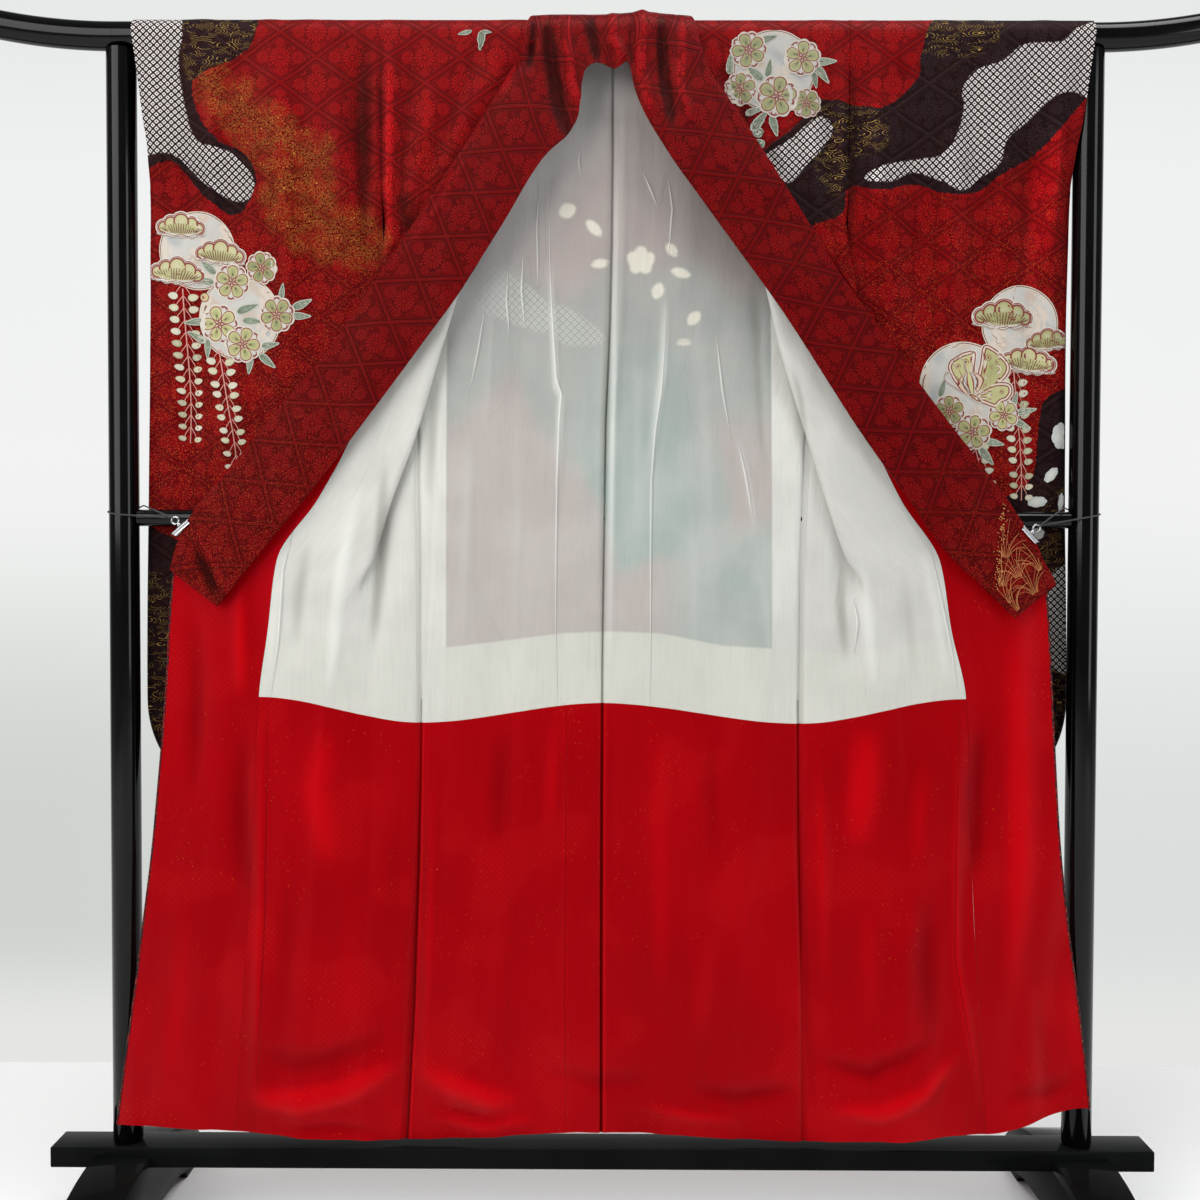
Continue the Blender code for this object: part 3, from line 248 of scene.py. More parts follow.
# Collar: seam edge and free edge of each section across the band. A drop is
# measured down the front from the rail's axis; below zero it runs up and over.
Band = namedtuple("Band", "seam_x seam_drop seam_lift free_x free_drop free_lift")
COLLAR_RADIUS = 0.0250
COLLAR_BANDS = (
    Band(-0.614, 0.764, 0.0128, -0.545, 0.816, 0.020),
    Band(-0.603, 0.726, 0.0130, -0.522, 0.788, 0.022),
    Band(-0.585, 0.689, 0.0130, -0.501, 0.761, 0.022),
    Band(-0.540, 0.634, 0.0130, -0.456, 0.706, 0.022),
    Band(-0.495, 0.580, 0.0130, -0.410, 0.651, 0.022),
    Band(-0.440, 0.515, 0.0128, -0.354, 0.578, 0.022),
    Band(-0.386, 0.451, 0.0125, -0.298, 0.504, 0.021),
    Band(-0.340, 0.384, 0.0122, -0.251, 0.440, 0.020),
    Band(-0.295, 0.316, 0.0120, -0.205, 0.377, 0.019),
    Band(-0.231, 0.217, 0.0110, -0.142, 0.277, 0.018),
    Band(-0.171, 0.123, 0.0095, -0.082, 0.181, 0.017),
    Band(-0.137, 0.070, 0.0085, -0.050, 0.150, 0.015),
    Band(-0.119, 0.037, 0.0080, -0.036, 0.124, 0.013),
    Band(-0.113, 0.014, 0.0070, -0.034, 0.104, 0.011),
    Band(-0.109, -0.008, 0.0045, -0.033, 0.088, 0.010),
    Band(-0.102, -0.028, 0.0025, -0.031, 0.074, 0.009),
    Band(-0.092, -0.048, 0.0020, -0.028, 0.062, 0.008),
    Band(-0.076, -0.065, 0.0020, -0.022, 0.054, 0.007),
    Band(-0.052, -0.077, 0.0020, -0.014, 0.050, 0.007),
    Band(-0.020, -0.082, 0.0020, -0.005, 0.050, 0.007),
    Band(0.030, -0.082, 0.0020, 0.008, 0.056, 0.007),
    Band(0.070, -0.077, 0.0020, 0.017, 0.058, 0.007),
    Band(0.096, -0.063, 0.0020, 0.025, 0.052, 0.007),
    Band(0.113, -0.045, 0.0020, 0.031, 0.048, 0.008),
    Band(0.122, -0.025, 0.0025, 0.035, 0.055, 0.009),
    Band(0.128, -0.004, 0.0045, 0.038, 0.066, 0.010),
    Band(0.134, 0.020, 0.0070, 0.041, 0.082, 0.011),
    Band(0.146, 0.055, 0.0085, 0.050, 0.108, 0.014),
    Band(0.191, 0.123, 0.0095, 0.089, 0.176, 0.017),
    Band(0.253, 0.219, 0.0110, 0.156, 0.269, 0.018),
    Band(0.293, 0.283, 0.0120, 0.194, 0.321, 0.019),
    Band(0.334, 0.347, 0.0122, 0.236, 0.378, 0.020),
    Band(0.391, 0.424, 0.0125, 0.297, 0.470, 0.021),
    Band(0.447, 0.502, 0.0130, 0.353, 0.557, 0.022),
    Band(0.517, 0.593, 0.0130, 0.424, 0.655, 0.022),
    Band(0.587, 0.686, 0.0130, 0.491, 0.745, 0.022),
    Band(0.615, 0.734, 0.0130, 0.548, 0.798, 0.021),
    Band(0.641, 0.781, 0.0128, 0.580, 0.829, 0.020),
)

# Clips on the collar's seam edge, pulled to the posts by elastic cord.
Clip = namedtuple("Clip", "side x height slope")
CLIPS = (
    Clip("left", -0.598, 1.016, 0.87),
    Clip("right", 0.603, 1.009, -1.08),
)
CLIP_LENGTH = 0.032
CLIP_WALL = 0.0008
SHOWN_JAW = 0.0036
SHOWN_SPINE = 0.0034
CLIP_SPINE = 0.0085
CLIP_GRIP_DEPTH = -0.0377
CLIP_GRIP_HALF = 0.0044
CLIP_SPINE_HALF = 0.0062
RING_RADIUS = 0.0050
RING_OVERLAP = 0.0006
CORD_RADIUS = 0.0010
CORD_POST_GAP = 0.0004
CORD_RING_BEND = 0.0024


# ---------------------------------------------------------------- camera

def camera_axes():
    forward = np.array((math.sin(CAMERA_YAW) * math.cos(CAMERA_PITCH),
                        math.cos(CAMERA_YAW) * math.cos(CAMERA_PITCH),
                        -math.sin(CAMERA_PITCH)))
    level = np.array((math.cos(CAMERA_YAW), -math.sin(CAMERA_YAW), 0.0))
    up = np.cross(level, forward)
    right = math.cos(CAMERA_ROLL) * level + math.sin(CAMERA_ROLL) * up
    return right, math.cos(CAMERA_ROLL) * up - math.sin(CAMERA_ROLL) * level, forward


def spot(px, py, depth=-0.02):
    """The place (x, z) that a pixel of the photograph shows at a depth y."""
    right, up, forward = camera_axes()
    middle = PHOTO_SIZE / 2
    ray = (forward + right * (px - middle) / FOCAL_PIXELS
           - up * (py - CAMERA_SHIFT_PIXELS - middle) / FOCAL_PIXELS)
    place = CAMERA_PLACE + ray * (depth - CAMERA_PLACE[1]) / ray[1]
    return place[0], place[2]


def spots(pixels, depth=-0.02):
    return [spot(px, py, depth) for px, py in pixels]


def seen(x, z, depth):
    """The pixel of the photograph that shows a place."""
    right, up, forward = camera_axes()
    away = np.stack([x, 0 * x + depth, z], -1) - CAMERA_PLACE
    ahead = away @ forward
    middle = PHOTO_SIZE / 2
    return (middle + FOCAL_PIXELS * (away @ right) / ahead,
            middle + CAMERA_SHIFT_PIXELS - FOCAL_PIXELS * (away @ up) / ahead)


def add_camera():
    right, up, forward = camera_axes()
    data = bpy.data.cameras.new("camera")
    data.sensor_width = 36.0
    data.lens = 36.0 * FOCAL_PIXELS / PHOTO_SIZE
    data.shift_y = CAMERA_SHIFT_PIXELS / PHOTO_SIZE
    data.clip_end = 50.0
    camera = bpy.data.objects.new("camera", data)
    turn = Matrix((right, up, -forward)).transposed().to_4x4()
    camera.matrix_world = Matrix.Translation(CAMERA_PLACE) @ turn
    bpy.context.scene.collection.objects.link(camera)
    bpy.context.scene.camera = camera


# ---------------------------------------------------------------- meshes

def smoothstep(value, low, high):
    t = np.clip((value - low) / (high - low), 0.0, 1.0)
    return t * t * (3 - 2 * t)


def profile(rows, name):
    """A smooth reading, at any heights, of one column of a table."""
    rows = sorted(rows, key=lambda row: row.height)
    heights = np.array([row.height for row in rows])
    values = np.array([getattr(row, name) for row in rows], float)
    spans = np.diff(heights)
    steps = np.diff(values) / spans
    product = steps[:-1] * steps[1:]
    total = np.where(product > 0, steps[:-1] + steps[1:], 1.0)
    slopes = np.concatenate([steps[:1], np.where(product > 0, 2 * product / total, 0.0),
                             steps[-1:]])

    def read(height):
        height = np.clip(height, heights[0], heights[-1])
        k = np.clip(np.searchsorted(heights, height, side="right") - 1, 0, len(spans) - 1)
        t = (height - heights[k]) / spans[k]
        return (values[k] * (1 + 2 * t) * (1 - t) ** 2
                + slopes[k] * spans[k] * t * (1 - t) ** 2
                + values[k + 1] * t * t * (3 - 2 * t)
                + slopes[k + 1] * spans[k] * t * t * (t - 1))

    return read


def spaced(*stops, step=ROW_STEP):
    """Heights from the first stop down to the last, with a row on every stop."""
    heights = [stops[0]]
    for above, below in zip(stops, stops[1:]):
        count = max(1, round((above - below) / step))
        heights += [above + (below - above) * k / count for k in range(1, count + 1)]
    return np.array(heights)


def smooth_across(stations, parts):
    """Rows of points curved through their stations, and how far along each point is."""
    steps = stations[:, 1:] - stations[:, :-1]
    lengths = np.maximum(np.linalg.norm(steps, axis=2, keepdims=True), 1e-5)
    slopes = steps / lengths
    before, after = lengths[:, :-1], lengths[:, 1:]
    middle = (slopes[:, :-1] * after + slopes[:, 1:] * before) / (before + after)
    tangents = np.concatenate([slopes[:, :1], middle, slopes[:, -1:]], axis=1)
    reach = np.concatenate([before[:, :1] * 0 + lengths[:, :1],
                            1.6 * np.minimum(before, after), lengths[:, -1:]], axis=1)
    points, along = [], []
    for k, count in enumerate(parts):
        last = k == len(parts) - 1
        t = (np.arange(count + last) / count)[None, :, None]
        first, second = stations[:, k:k + 1], stations[:, k + 1:k + 2]
        size = lengths[:, k:k + 1]
        lead = tangents[:, k:k + 1] * np.minimum(reach[:, k:k + 1], size)
        tail = tangents[:, k + 1:k + 2] * np.minimum(reach[:, k + 1:k + 2], size)
        points.append(first * (1 + 2 * t) * (1 - t) ** 2 + lead * t * (1 - t) ** 2
                      + second * t * t * (3 - 2 * t) + tail * t * t * (t - 1))
        along.append(k + t[0, :, 0])
    return np.concatenate(points, axis=1), np.concatenate(along) / len(parts)


def grid_index(rows, columns, start=0):
    return start + np.arange(rows * columns).reshape(rows, columns)


def cells_of(index, flip=False):
    """Four-sided cells of a grid of point numbers; cells with a missing point are left out."""
    cells = np.stack([index[:-1, :-1], index[:-1, 1:], index[1:, 1:], index[1:, :-1]], -1)
    cells = cells.reshape(-1, 4)
    cells = cells[(cells >= 0).all(axis=1)]
    return cells[:, ::-1] if flip else cells


def point_normals(points, cells):
    corners = points[cells]
    normal = np.cross(corners[:, 2] - corners[:, 0], corners[:, 3] - corners[:, 1])
    total = np.zeros_like(points)
    for k in range(4):
        np.add.at(total, cells[:, k], normal)
    return total / np.maximum(np.linalg.norm(total, axis=1, keepdims=True), 1e-12)


def border_edges(cells):
    edges = np.concatenate([cells[:, [k, (k + 1) % 4]] for k in range(4)])
    edges = edges[edges[:, 0] != edges[:, 1]]
    key = np.sort(edges, axis=1)
    _, where, count = np.unique(key, axis=0, return_index=True, return_counts=True)
    return edges[where[count == 1]]


def add_mesh(name, points, faces, looks, look_numbers=None, attributes=(), smooth=True):
    """An object from arrays; attributes are (name, values) with one value for each point."""
    shape = faces.shape
    used, faces = np.unique(faces, return_inverse=True)
    faces = faces.reshape(shape)
    points = points[used]
    mesh = bpy.data.meshes.new(name)
    rows = [list(dict.fromkeys(face)) for face in faces.tolist()]
    mesh.from_pydata(points.tolist(), [], rows)
    for look in looks:
        mesh.materials.append(look)
    if look_numbers is not None:
        mesh.polygons.foreach_set("material_index", np.asarray(look_numbers, np.int32))
    for label, values in attributes:
        values = np.asarray(values, float)[used]
        if values.ndim == 1:
            made = mesh.attributes.new(label, "FLOAT", "POINT")
            made.data.foreach_set("value", values.astype(np.float32))
        elif values.shape[1] == 4:
            made = mesh.attributes.new(label, "FLOAT_COLOR", "POINT")
            made.data.foreach_set("color", values.astype(np.float32).ravel())
        else:
            made = mesh.attributes.new(label, "FLOAT_VECTOR", "POINT")
            made.data.foreach_set("vector", values.astype(np.float32).ravel())
    mesh.update()
    if smooth:
        mesh.shade_smooth()
        mesh.set_sharp_from_angle(angle=math.radians(60))
    thing = bpy.data.objects.new(name, mesh)
    bpy.context.scene.collection.objects.link(thing)
    return thing


def add_shell(name, points, cells, looks, outer=OUTER_FACE, inner=INNER_FACE, attributes=()):
    """A closed thin cloth: its outer face, its inner face and the edge between them."""
    normals = point_normals(points, cells)
    count = len(points)
    both = np.concatenate([points + normals * outer, points + normals * inner])
    walls = border_edges(cells)
    side = np.stack([walls[:, 1], walls[:, 0], walls[:, 0] + count, walls[:, 1] + count], -1)
    faces = np.concatenate([cells, cells[:, ::-1] + count, side])
    numbers = np.concatenate([np.zeros(len(cells)), np.ones(len(cells)), np.zeros(len(side))])
    attributes = [(label, np.concatenate([values, values])) for label, values in attributes]
    return add_mesh(name, both, faces, looks, numbers, attributes)


def add_face(name, points, normals, cells, look, offset, attributes=()):
    """One face of cloth, a little off its sheet; seen from its inner side."""
    return add_mesh(name, points + normals * offset, cells[:, ::-1], [look],
                    attributes=attributes)


# ---------------------------------------------------------------- creases

Ridge = namedtuple("Ridge", "points height width other")


def ridge_field(ridges, x, z):
    """How far the cloth stands towards the front at places x, z."""
    total = np.zeros_like(x)
    for ridge in ridges:
        path = np.array(ridge.points)
        reach = 3.2 * max(ridge.width, ridge.other)
        low, high = path.min(axis=0) - reach, path.max(axis=0) + reach
        if x.max() < low[0] or x.min() > high[0] or z.max() < low[1] or z.min() > high[1]:
            continue
        steps = np.diff(path, axis=0)
        sizes = np.linalg.norm(steps, axis=1)
        starts = np.concatenate([[0.0], np.cumsum(sizes)])
        best = np.full(x.shape, 9.0)
        signed = np.zeros_like(x)
        along = np.zeros_like(x)
        for k, (step, size) in enumerate(zip(steps, sizes)):
            t = ((x - path[k, 0]) * step[0] + (z - path[k, 1]) * step[1]) / size ** 2
            t = np.clip(t, 0.0, 1.0)
            dx = x - path[k, 0] - step[0] * t
            dz = z - path[k, 1] - step[1] * t
            distance = np.hypot(dx, dz)
            nearer = distance < best
            best = np.where(nearer, distance, best)
            signed = np.where(nearer, np.sign(step[0] * dz - step[1] * dx) * distance, signed)
            along = np.where(nearer, (starts[k] + t * size) / starts[-1], along)
        width = np.where(signed > 0, ridge.width, ridge.other)
        total += (ridge.height * np.exp(-(best / width) ** 2)
                  * np.sin(np.pi * np.clip(along, 0.02, 0.98)) ** 0.5)
    return total


def line_distance(lines, x, z, taper=0.0):
    """Signed distance to the nearest of several lines; taper makes their ends fine."""
    nearest = np.full(x.shape, 9.0)
    for line in lines:
        path = np.array(line)
        sizes = np.hypot(*np.diff(path, axis=0).T)
        starts = np.concatenate([[0.0], np.cumsum(sizes)])
        for start, end, size, before in zip(path, path[1:], sizes, starts):
            step = end - start
            t = ((x - start[0]) * step[0] + (z - start[1]) * step[1]) / size ** 2
            t = np.clip(t, 0.0, 1.0)
            dx, dz = x - start[0] - step[0] * t, z - start[1] - step[1] * t
            side = np.where(step[0] * dz - step[1] * dx < 0, -1.0, 1.0)
            share = np.sin(np.pi * (before + t * size) / starts[-1])
            distance = np.hypot(dx, dz) / (1 - taper * (1 - share))
            nearest = np.where(distance < np.abs(nearest), side * distance, nearest)
    return nearest


# Soft creases of the hung body, along lines of the photograph.
def crease(pixels, height, width, other=None, depth=-0.02):
    return Ridge(spots(pixels, depth), height, width, other or width)


BODY_RIDGES = [
    # shoulders, between the sleeve seam and the collar
    crease([(390, 40), (389, 110), (388, 190), (392, 262)], 0.0050, 0.0075, 0.0110, depth=-0.03),
    crease([(412, 40), (406, 110), (402, 180), (398, 240)], -0.0045, 0.0090, depth=-0.03),
    crease([(440, 34), (428, 100), (414, 170), (402, 230)], 0.0040, 0.0100, depth=-0.03),
    crease([(480, 28), (462, 90), (436, 150), (414, 200)], -0.0035, 0.0110, depth=-0.03),
    crease([(505, 30), (485, 80), (462, 120)], 0.0035, 0.0100, depth=-0.03),
    crease([(843, 60), (845, 130), (845, 200), (846, 270)], 0.0045, 0.0070, depth=-0.03),
    crease([(824, 60), (828, 130), (832, 200)], -0.0040, 0.0090, depth=-0.03),
    crease([(800, 40), (806, 110), (818, 180), (834, 240)], 0.0036, 0.0100, depth=-0.03),
    crease([(716, 32), (730, 80), (752, 120), (780, 170)], -0.0040, 0.0080, depth=-0.03),
    # beside the collar's seam
    crease([(540, 30), (503, 90), (455, 165), (396, 256)], -0.0045, 0.0065, 0.0100, depth=-0.03),
    crease([(700, 26), (722, 78), (775, 150), (838, 246)], -0.0035, 0.0070, depth=-0.03),
    # white back panel
    crease([(550, 262), (553, 330), (556, 385), (561, 396), (559, 440), (558, 490)],
           0.0034, 0.0045, 0.0060),
    crease([(668, 290), (664, 370), (657, 420), (651, 470)], 0.0030, 0.0050, 0.0080),
    crease([(737, 430), (748, 480), (757, 540)], 0.0024, 0.0060),
    crease([(523, 240), (521, 290), (526, 340)], 0.0012, 0.0040),
    crease([(508, 262), (506, 320), (509, 360)], 0.0010, 0.0040),
    crease([(493, 285), (490, 340), (487, 420)], 0.0012, 0.0050),
    crease([(612, 120), (614, 300), (613, 480), (612, 700)], 0.0016, 0.0060),
    crease([(590, 330), (592, 430), (588, 540)], -0.0014, 0.0120),
    crease([(640, 340), (638, 450), (640, 560)], 0.0014, 0.0110),
    crease([(700, 300), (706, 420), (712, 600)], 0.0014, 0.0140),
    crease([(470, 420), (466, 520), (462, 640)], 0.0016, 0.0110),
    crease([(520, 420), (517, 520), (514, 640)], 0.0012, 0.0100),
    crease([(688, 480), (694, 560), (698, 680)], 0.0013, 0.0090),
    crease([(760, 290), (759, 350), (762, 430), (768, 480)], -0.0030, 0.0080),
    crease([(760, 560), (768, 620), (772, 700)], 0.0016, 0.0080),
    # centre seam and the two side seams
    crease([(609, 80), (608, 240), (606, 320), (603, 420), (601, 560), (600, 700)], -0.0034,
           0.0055, 0.0030),
    crease([(618, 80), (618, 240), (616, 320), (613, 420), (611, 560), (609, 700)], 0.0018,
           0.0030, 0.0070),
    crease([(603, 740), (603, 900), (603, 1136)], -0.0016, 0.0040),
    crease([(432, 380), (430, 450), (427, 500)], -0.0026, 0.0080),
    crease([(440, 340), (432, 500), (425, 640), (422, 724)], -0.0012, 0.0050),
    crease([(793, 370), (800, 400), (806, 440)], -0.0030, 0.0060),
    crease([(806, 440), (803, 560), (798, 724)], -0.0012, 0.0050),
    # white front panels
    crease([(386, 462), (382, 530), (377, 590), (372, 650)], -0.0048, 0.0115, 0.0085),
    crease([(360, 500), (346, 560), (337, 620), (331, 692)], 0.0042, 0.0110),
    crease([(310, 540), (301, 595), (297, 650)], -0.0030, 0.0110),
    crease([(285, 560), (277, 620), (270, 690)], 0.0024, 0.0080),
    crease([(404, 500), (402, 560), (400, 620)], 0.0016, 0.0090),
    crease([(843, 560), (841, 600), (846, 660)], -0.0042, 0.0090),
    crease([(822, 470), (828, 540), (830, 600)], 0.0022, 0.0090),
    crease([(860, 560), (868, 620), (874, 690)], 0.0036, 0.0090, 0.0130),
    crease([(900, 560), (908, 620), (916, 690)], -0.0020, 0.0110),
    crease([(920, 540), (934, 610), (946, 690)], 0.0024, 0.0090),
    # red skirt: side seams, centre and okumi lines
    crease([(422, 735), (419, 860), (414, 1000), (408, 1120)], -0.0030, 0.0050, 0.0090),
    crease([(432, 760), (430, 900), (424, 1080)], 0.0020, 0.0080),
    crease([(797, 735), (800, 860), (806, 1000), (813, 1120)], -0.0034, 0.0090, 0.0050),
    crease([(818, 740), (822, 860), (826, 1000)], 0.0026, 0.0100),
    crease([(567, 700), (566, 820), (565, 960), (566, 1110)], 0.0016, 0.0050),
    crease([(264, 720), (262, 900), (256, 1090)], 0.0024, 0.0050, 0.0090),
    crease([(958, 716), (955, 860), (956, 960), (985, 1133)], 0.0028, 0.0060, 0.0080),
    # red skirt: soft broad folds
    crease([(243, 590), (243, 640), (244, 700)], 0.0034, 0.0110),
    crease([(247, 730), (243, 800), (248, 900)], -0.0040, 0.0130, 0.0200),
    crease([(330, 726), (316, 790), (332, 870)], 0.0034, 0.0260),
    crease([(352, 880), (350, 960), (350, 1040)], 0.0016, 0.0240),
    crease([(290, 880), (286, 960), (284, 1040)], -0.0022, 0.0200),
    crease([(398, 800), (394, 880), (392, 960)], -0.0016, 0.0120),
    crease([(505, 726), (500, 780), (498, 850)], -0.0030, 0.0210),
    crease([(556, 722), (552, 770), (550, 830)], 0.0024, 0.0130),
    crease([(612, 720), (612, 800), (612, 900)], -0.0014, 0.0090),
    crease([(662, 716), (660, 800), (662, 1000)], 0.0022, 0.0180),
    crease([(714, 720), (712, 790), (716, 880)], -0.0024, 0.0180),
    crease([(868, 724), (864, 780), (858, 850)], 0.0042, 0.0260),
    crease([(708, 930), (704, 990), (700, 1050)], 0.0020, 0.0220),
    crease([(924, 760), (918, 820), (916, 870)], 0.0022, 0.0140),
    crease([(928, 890), (924, 960), (930, 1040)], -0.0038, 0.0200),
    crease([(978, 726), (974, 790), (974, 880)], -0.0050, 0.0150),
    crease([(1012, 610), (1016, 720), (1018, 860), (1012, 1000)], 0.0040, 0.0220),
    crease([(868, 900), (868, 960), (872, 1030)], 0.0020, 0.0180),
    crease([(152, 740), (142, 860), (130, 980)], -0.0030, 0.0160),
    crease([(200, 618), (200, 700), (196, 800)], -0.0034, 0.0120, 0.0160),
    crease([(188, 900), (180, 1000), (170, 1100)], 0.0020, 0.0200),
    crease([(1062, 660), (1068, 800), (1074, 940)], -0.0026, 0.0120),
    crease([(1030, 940), (1040, 1030), (1052, 1112)], -0.0018, 0.0140),
    crease([(1062, 960), (1072, 1030), (1082, 1100)], 0.0020, 0.0120),
    # the hem's own soft rolls
    crease([(250, 1096), (300, 1100), (345, 1092), (396, 1066)], 0.0060, 0.0220, 0.0150),
    crease([(258, 1052), (300, 1062), (350, 1050), (392, 1034)], -0.0036, 0.0200),
    crease([(422, 1072), (452, 1088), (486, 1100), (520, 1104)], 0.0050, 0.0190, 0.0160),
    crease([(432, 1108), (470, 1116), (500, 1122)], -0.0030, 0.0080),
    crease([(282, 1126), (330, 1124), (380, 1132)], -0.0030, 0.0080),
    crease([(430, 1118), (480, 1128), (540, 1122)], 0.0030, 0.0100),
    crease([(540, 1070), (600, 1085), (660, 1080)], -0.0024, 0.0160),
    crease([(640, 1108), (690, 1118), (740, 1122)], 0.0028, 0.0100),
    crease([(690, 1090), (740, 1100), (800, 1090)], -0.0038, 0.0140),
    crease([(830, 1112), (880, 1112), (925, 1090), (955, 1055)], 0.0050, 0.0160, 0.0110),
    crease([(820, 1062), (870, 1072), (930, 1040)], -0.0040, 0.0140),
    crease([(1000, 1095), (1045, 1092), (1080, 1075)], -0.0028, 0.0130),
]


# Folds of the collar where it is drawn together over the rail.
COLLAR_RIDGES = [
    crease([(518, 20), (512, 60), (502, 96)], 0.0040, 0.0080, depth=-0.03),
    crease([(533, 20), (532, 50), (528, 72)], -0.0065, 0.0050, depth=-0.03),
    crease([(548, 24), (551, 60), (558, 105), (568, 140)], -0.0090, 0.0090, depth=-0.03),
    crease([(570, 14), (569, 45), (573, 85), (583, 116), (592, 140)], 0.0075, 0.0040, 0.0060,
           depth=-0.03),
    crease([(590, 14), (592, 36), (598, 64)], -0.0042, 0.0090, depth=-0.03),
    crease([(614, 2), (613, 40), (622, 56), (617, 76)], 0.0060, 0.0040, 0.0050, depth=-0.03),
    crease([(630, 24), (630, 50), (634, 76)], -0.0024, 0.0040, depth=-0.03),
    crease([(642, 2), (641, 40), (641, 72), (650, 112)], 0.0075, 0.0055, 0.0055, depth=-0.03),
    crease([(662, 14), (662, 44), (664, 80), (672, 126)], -0.0080, 0.0075, depth=-0.03),
    crease([(684, 12), (682, 50), (680, 88), (690, 126)], 0.0038, 0.0060, depth=-0.03),
    crease([(704, 10), (712, 50), (728, 92)], -0.0060, 0.0080, depth=-0.03),
    crease([(470, 150), (440, 200), (405, 255)], 0.0020, 0.0090, depth=-0.04),
    crease([(780, 150), (812, 200), (842, 250)], 0.0020, 0.0090, depth=-0.04),
    # where the left clip pinches the end
    crease([(191, 526), (203, 548), (214, 566), (222, 584), (228, 600)], 0.0030, 0.0090, 0.0040,
           depth=-0.04),
    crease([(196, 548), (208, 572), (220, 596)], -0.0040, 0.0110, depth=-0.04),
    crease([(182, 560), (190, 572)], 0.0022, 0.0060, depth=-0.04),
]


def undulation(x, z):
    """Broad, slight unevenness of hung silk."""
    return (0.0007 * np.sin(x * 41.0 + 2.1 * np.sin(z * 5.3) + 0.6)
            + 0.0005 * np.sin(x * 73.0 - z * 6.0 + 1.9)
            + 0.0004 * np.sin(x * 19.0 + z * 31.0)
            + 0.0003 * np.sin(x * 131.0 + 3.0 * np.sin(z * 7.0)))


def body_field(x, z):
    field = ridge_field(BODY_RIDGES, x, z) + undulation(x, z) * (1 + smoothstep(0.9 - z, 0, 0.6))
    near_bar = np.exp(-((z - MID_RAIL_HEIGHT) / 0.05) ** 2)
    field = np.where(field < 0, field * (1 - 0.85 * near_bar), field)
    clip_hold = np.ones_like(field)
    for clip in CLIPS:
        away = np.hypot(x - clip.x, z - clip.height)
        clip_hold *= smoothstep(away, 0.03, 0.12)
    return field * near_rail(field, z) * clip_hold


def near_rail(field, z):
    """On the rail the cloth may stand away from it, but not sink into it."""
    return np.where(field > 0, 1 - 0.45 * smoothstep(z, 1.66, 1.72), clear_of_rail(z))


def clear_of_rail(z):
    return 1 - smoothstep(z, 1.655, 1.698)


CENTRE_LINE = np.array(spots([(601, 1150), (601, 1000), (601.5, 800), (602.5, 660), (604, 560),
                     (606, 420), (610, 320), (612, 240), (613, 160), (613, 60)],
                             -0.004))


def forward(points, behind=False):
    """Body cloth moved by its creases; every layer moves alike, so none cross."""
    moved = points.copy()
    x, z = points[..., 0], points[..., 2]
    shift = (np.interp(z, CENTRE_LINE[:, 1], CENTRE_LINE[:, 0])
             * (1 - smoothstep(z, 1.655, 1.695)))
    moved[..., 0] += shift * (1 - smoothstep(np.abs(x), 0.0, 0.11))
    field = body_field(points[..., 0], points[..., 2])
    moved[..., 1] -= field * clear_of_rail(points[..., 2]) if behind else field
    return moved


def over_rail(x, field, angles):
    """The arc of cloth over the rail, a little proud where a fold runs over it."""
    grow = np.maximum(field(x, np.full(x.shape, RAIL_HEIGHT)), 0.0)
    radius = FOLD_RADIUS + grow * (0.5 + 0.5 * np.cos(angles))[:, None]
    return np.stack([x[None] + 0 * radius, -radius * np.cos(angles)[:, None],
                     RAIL_HEIGHT + radius * np.sin(angles)[:, None]], -1)


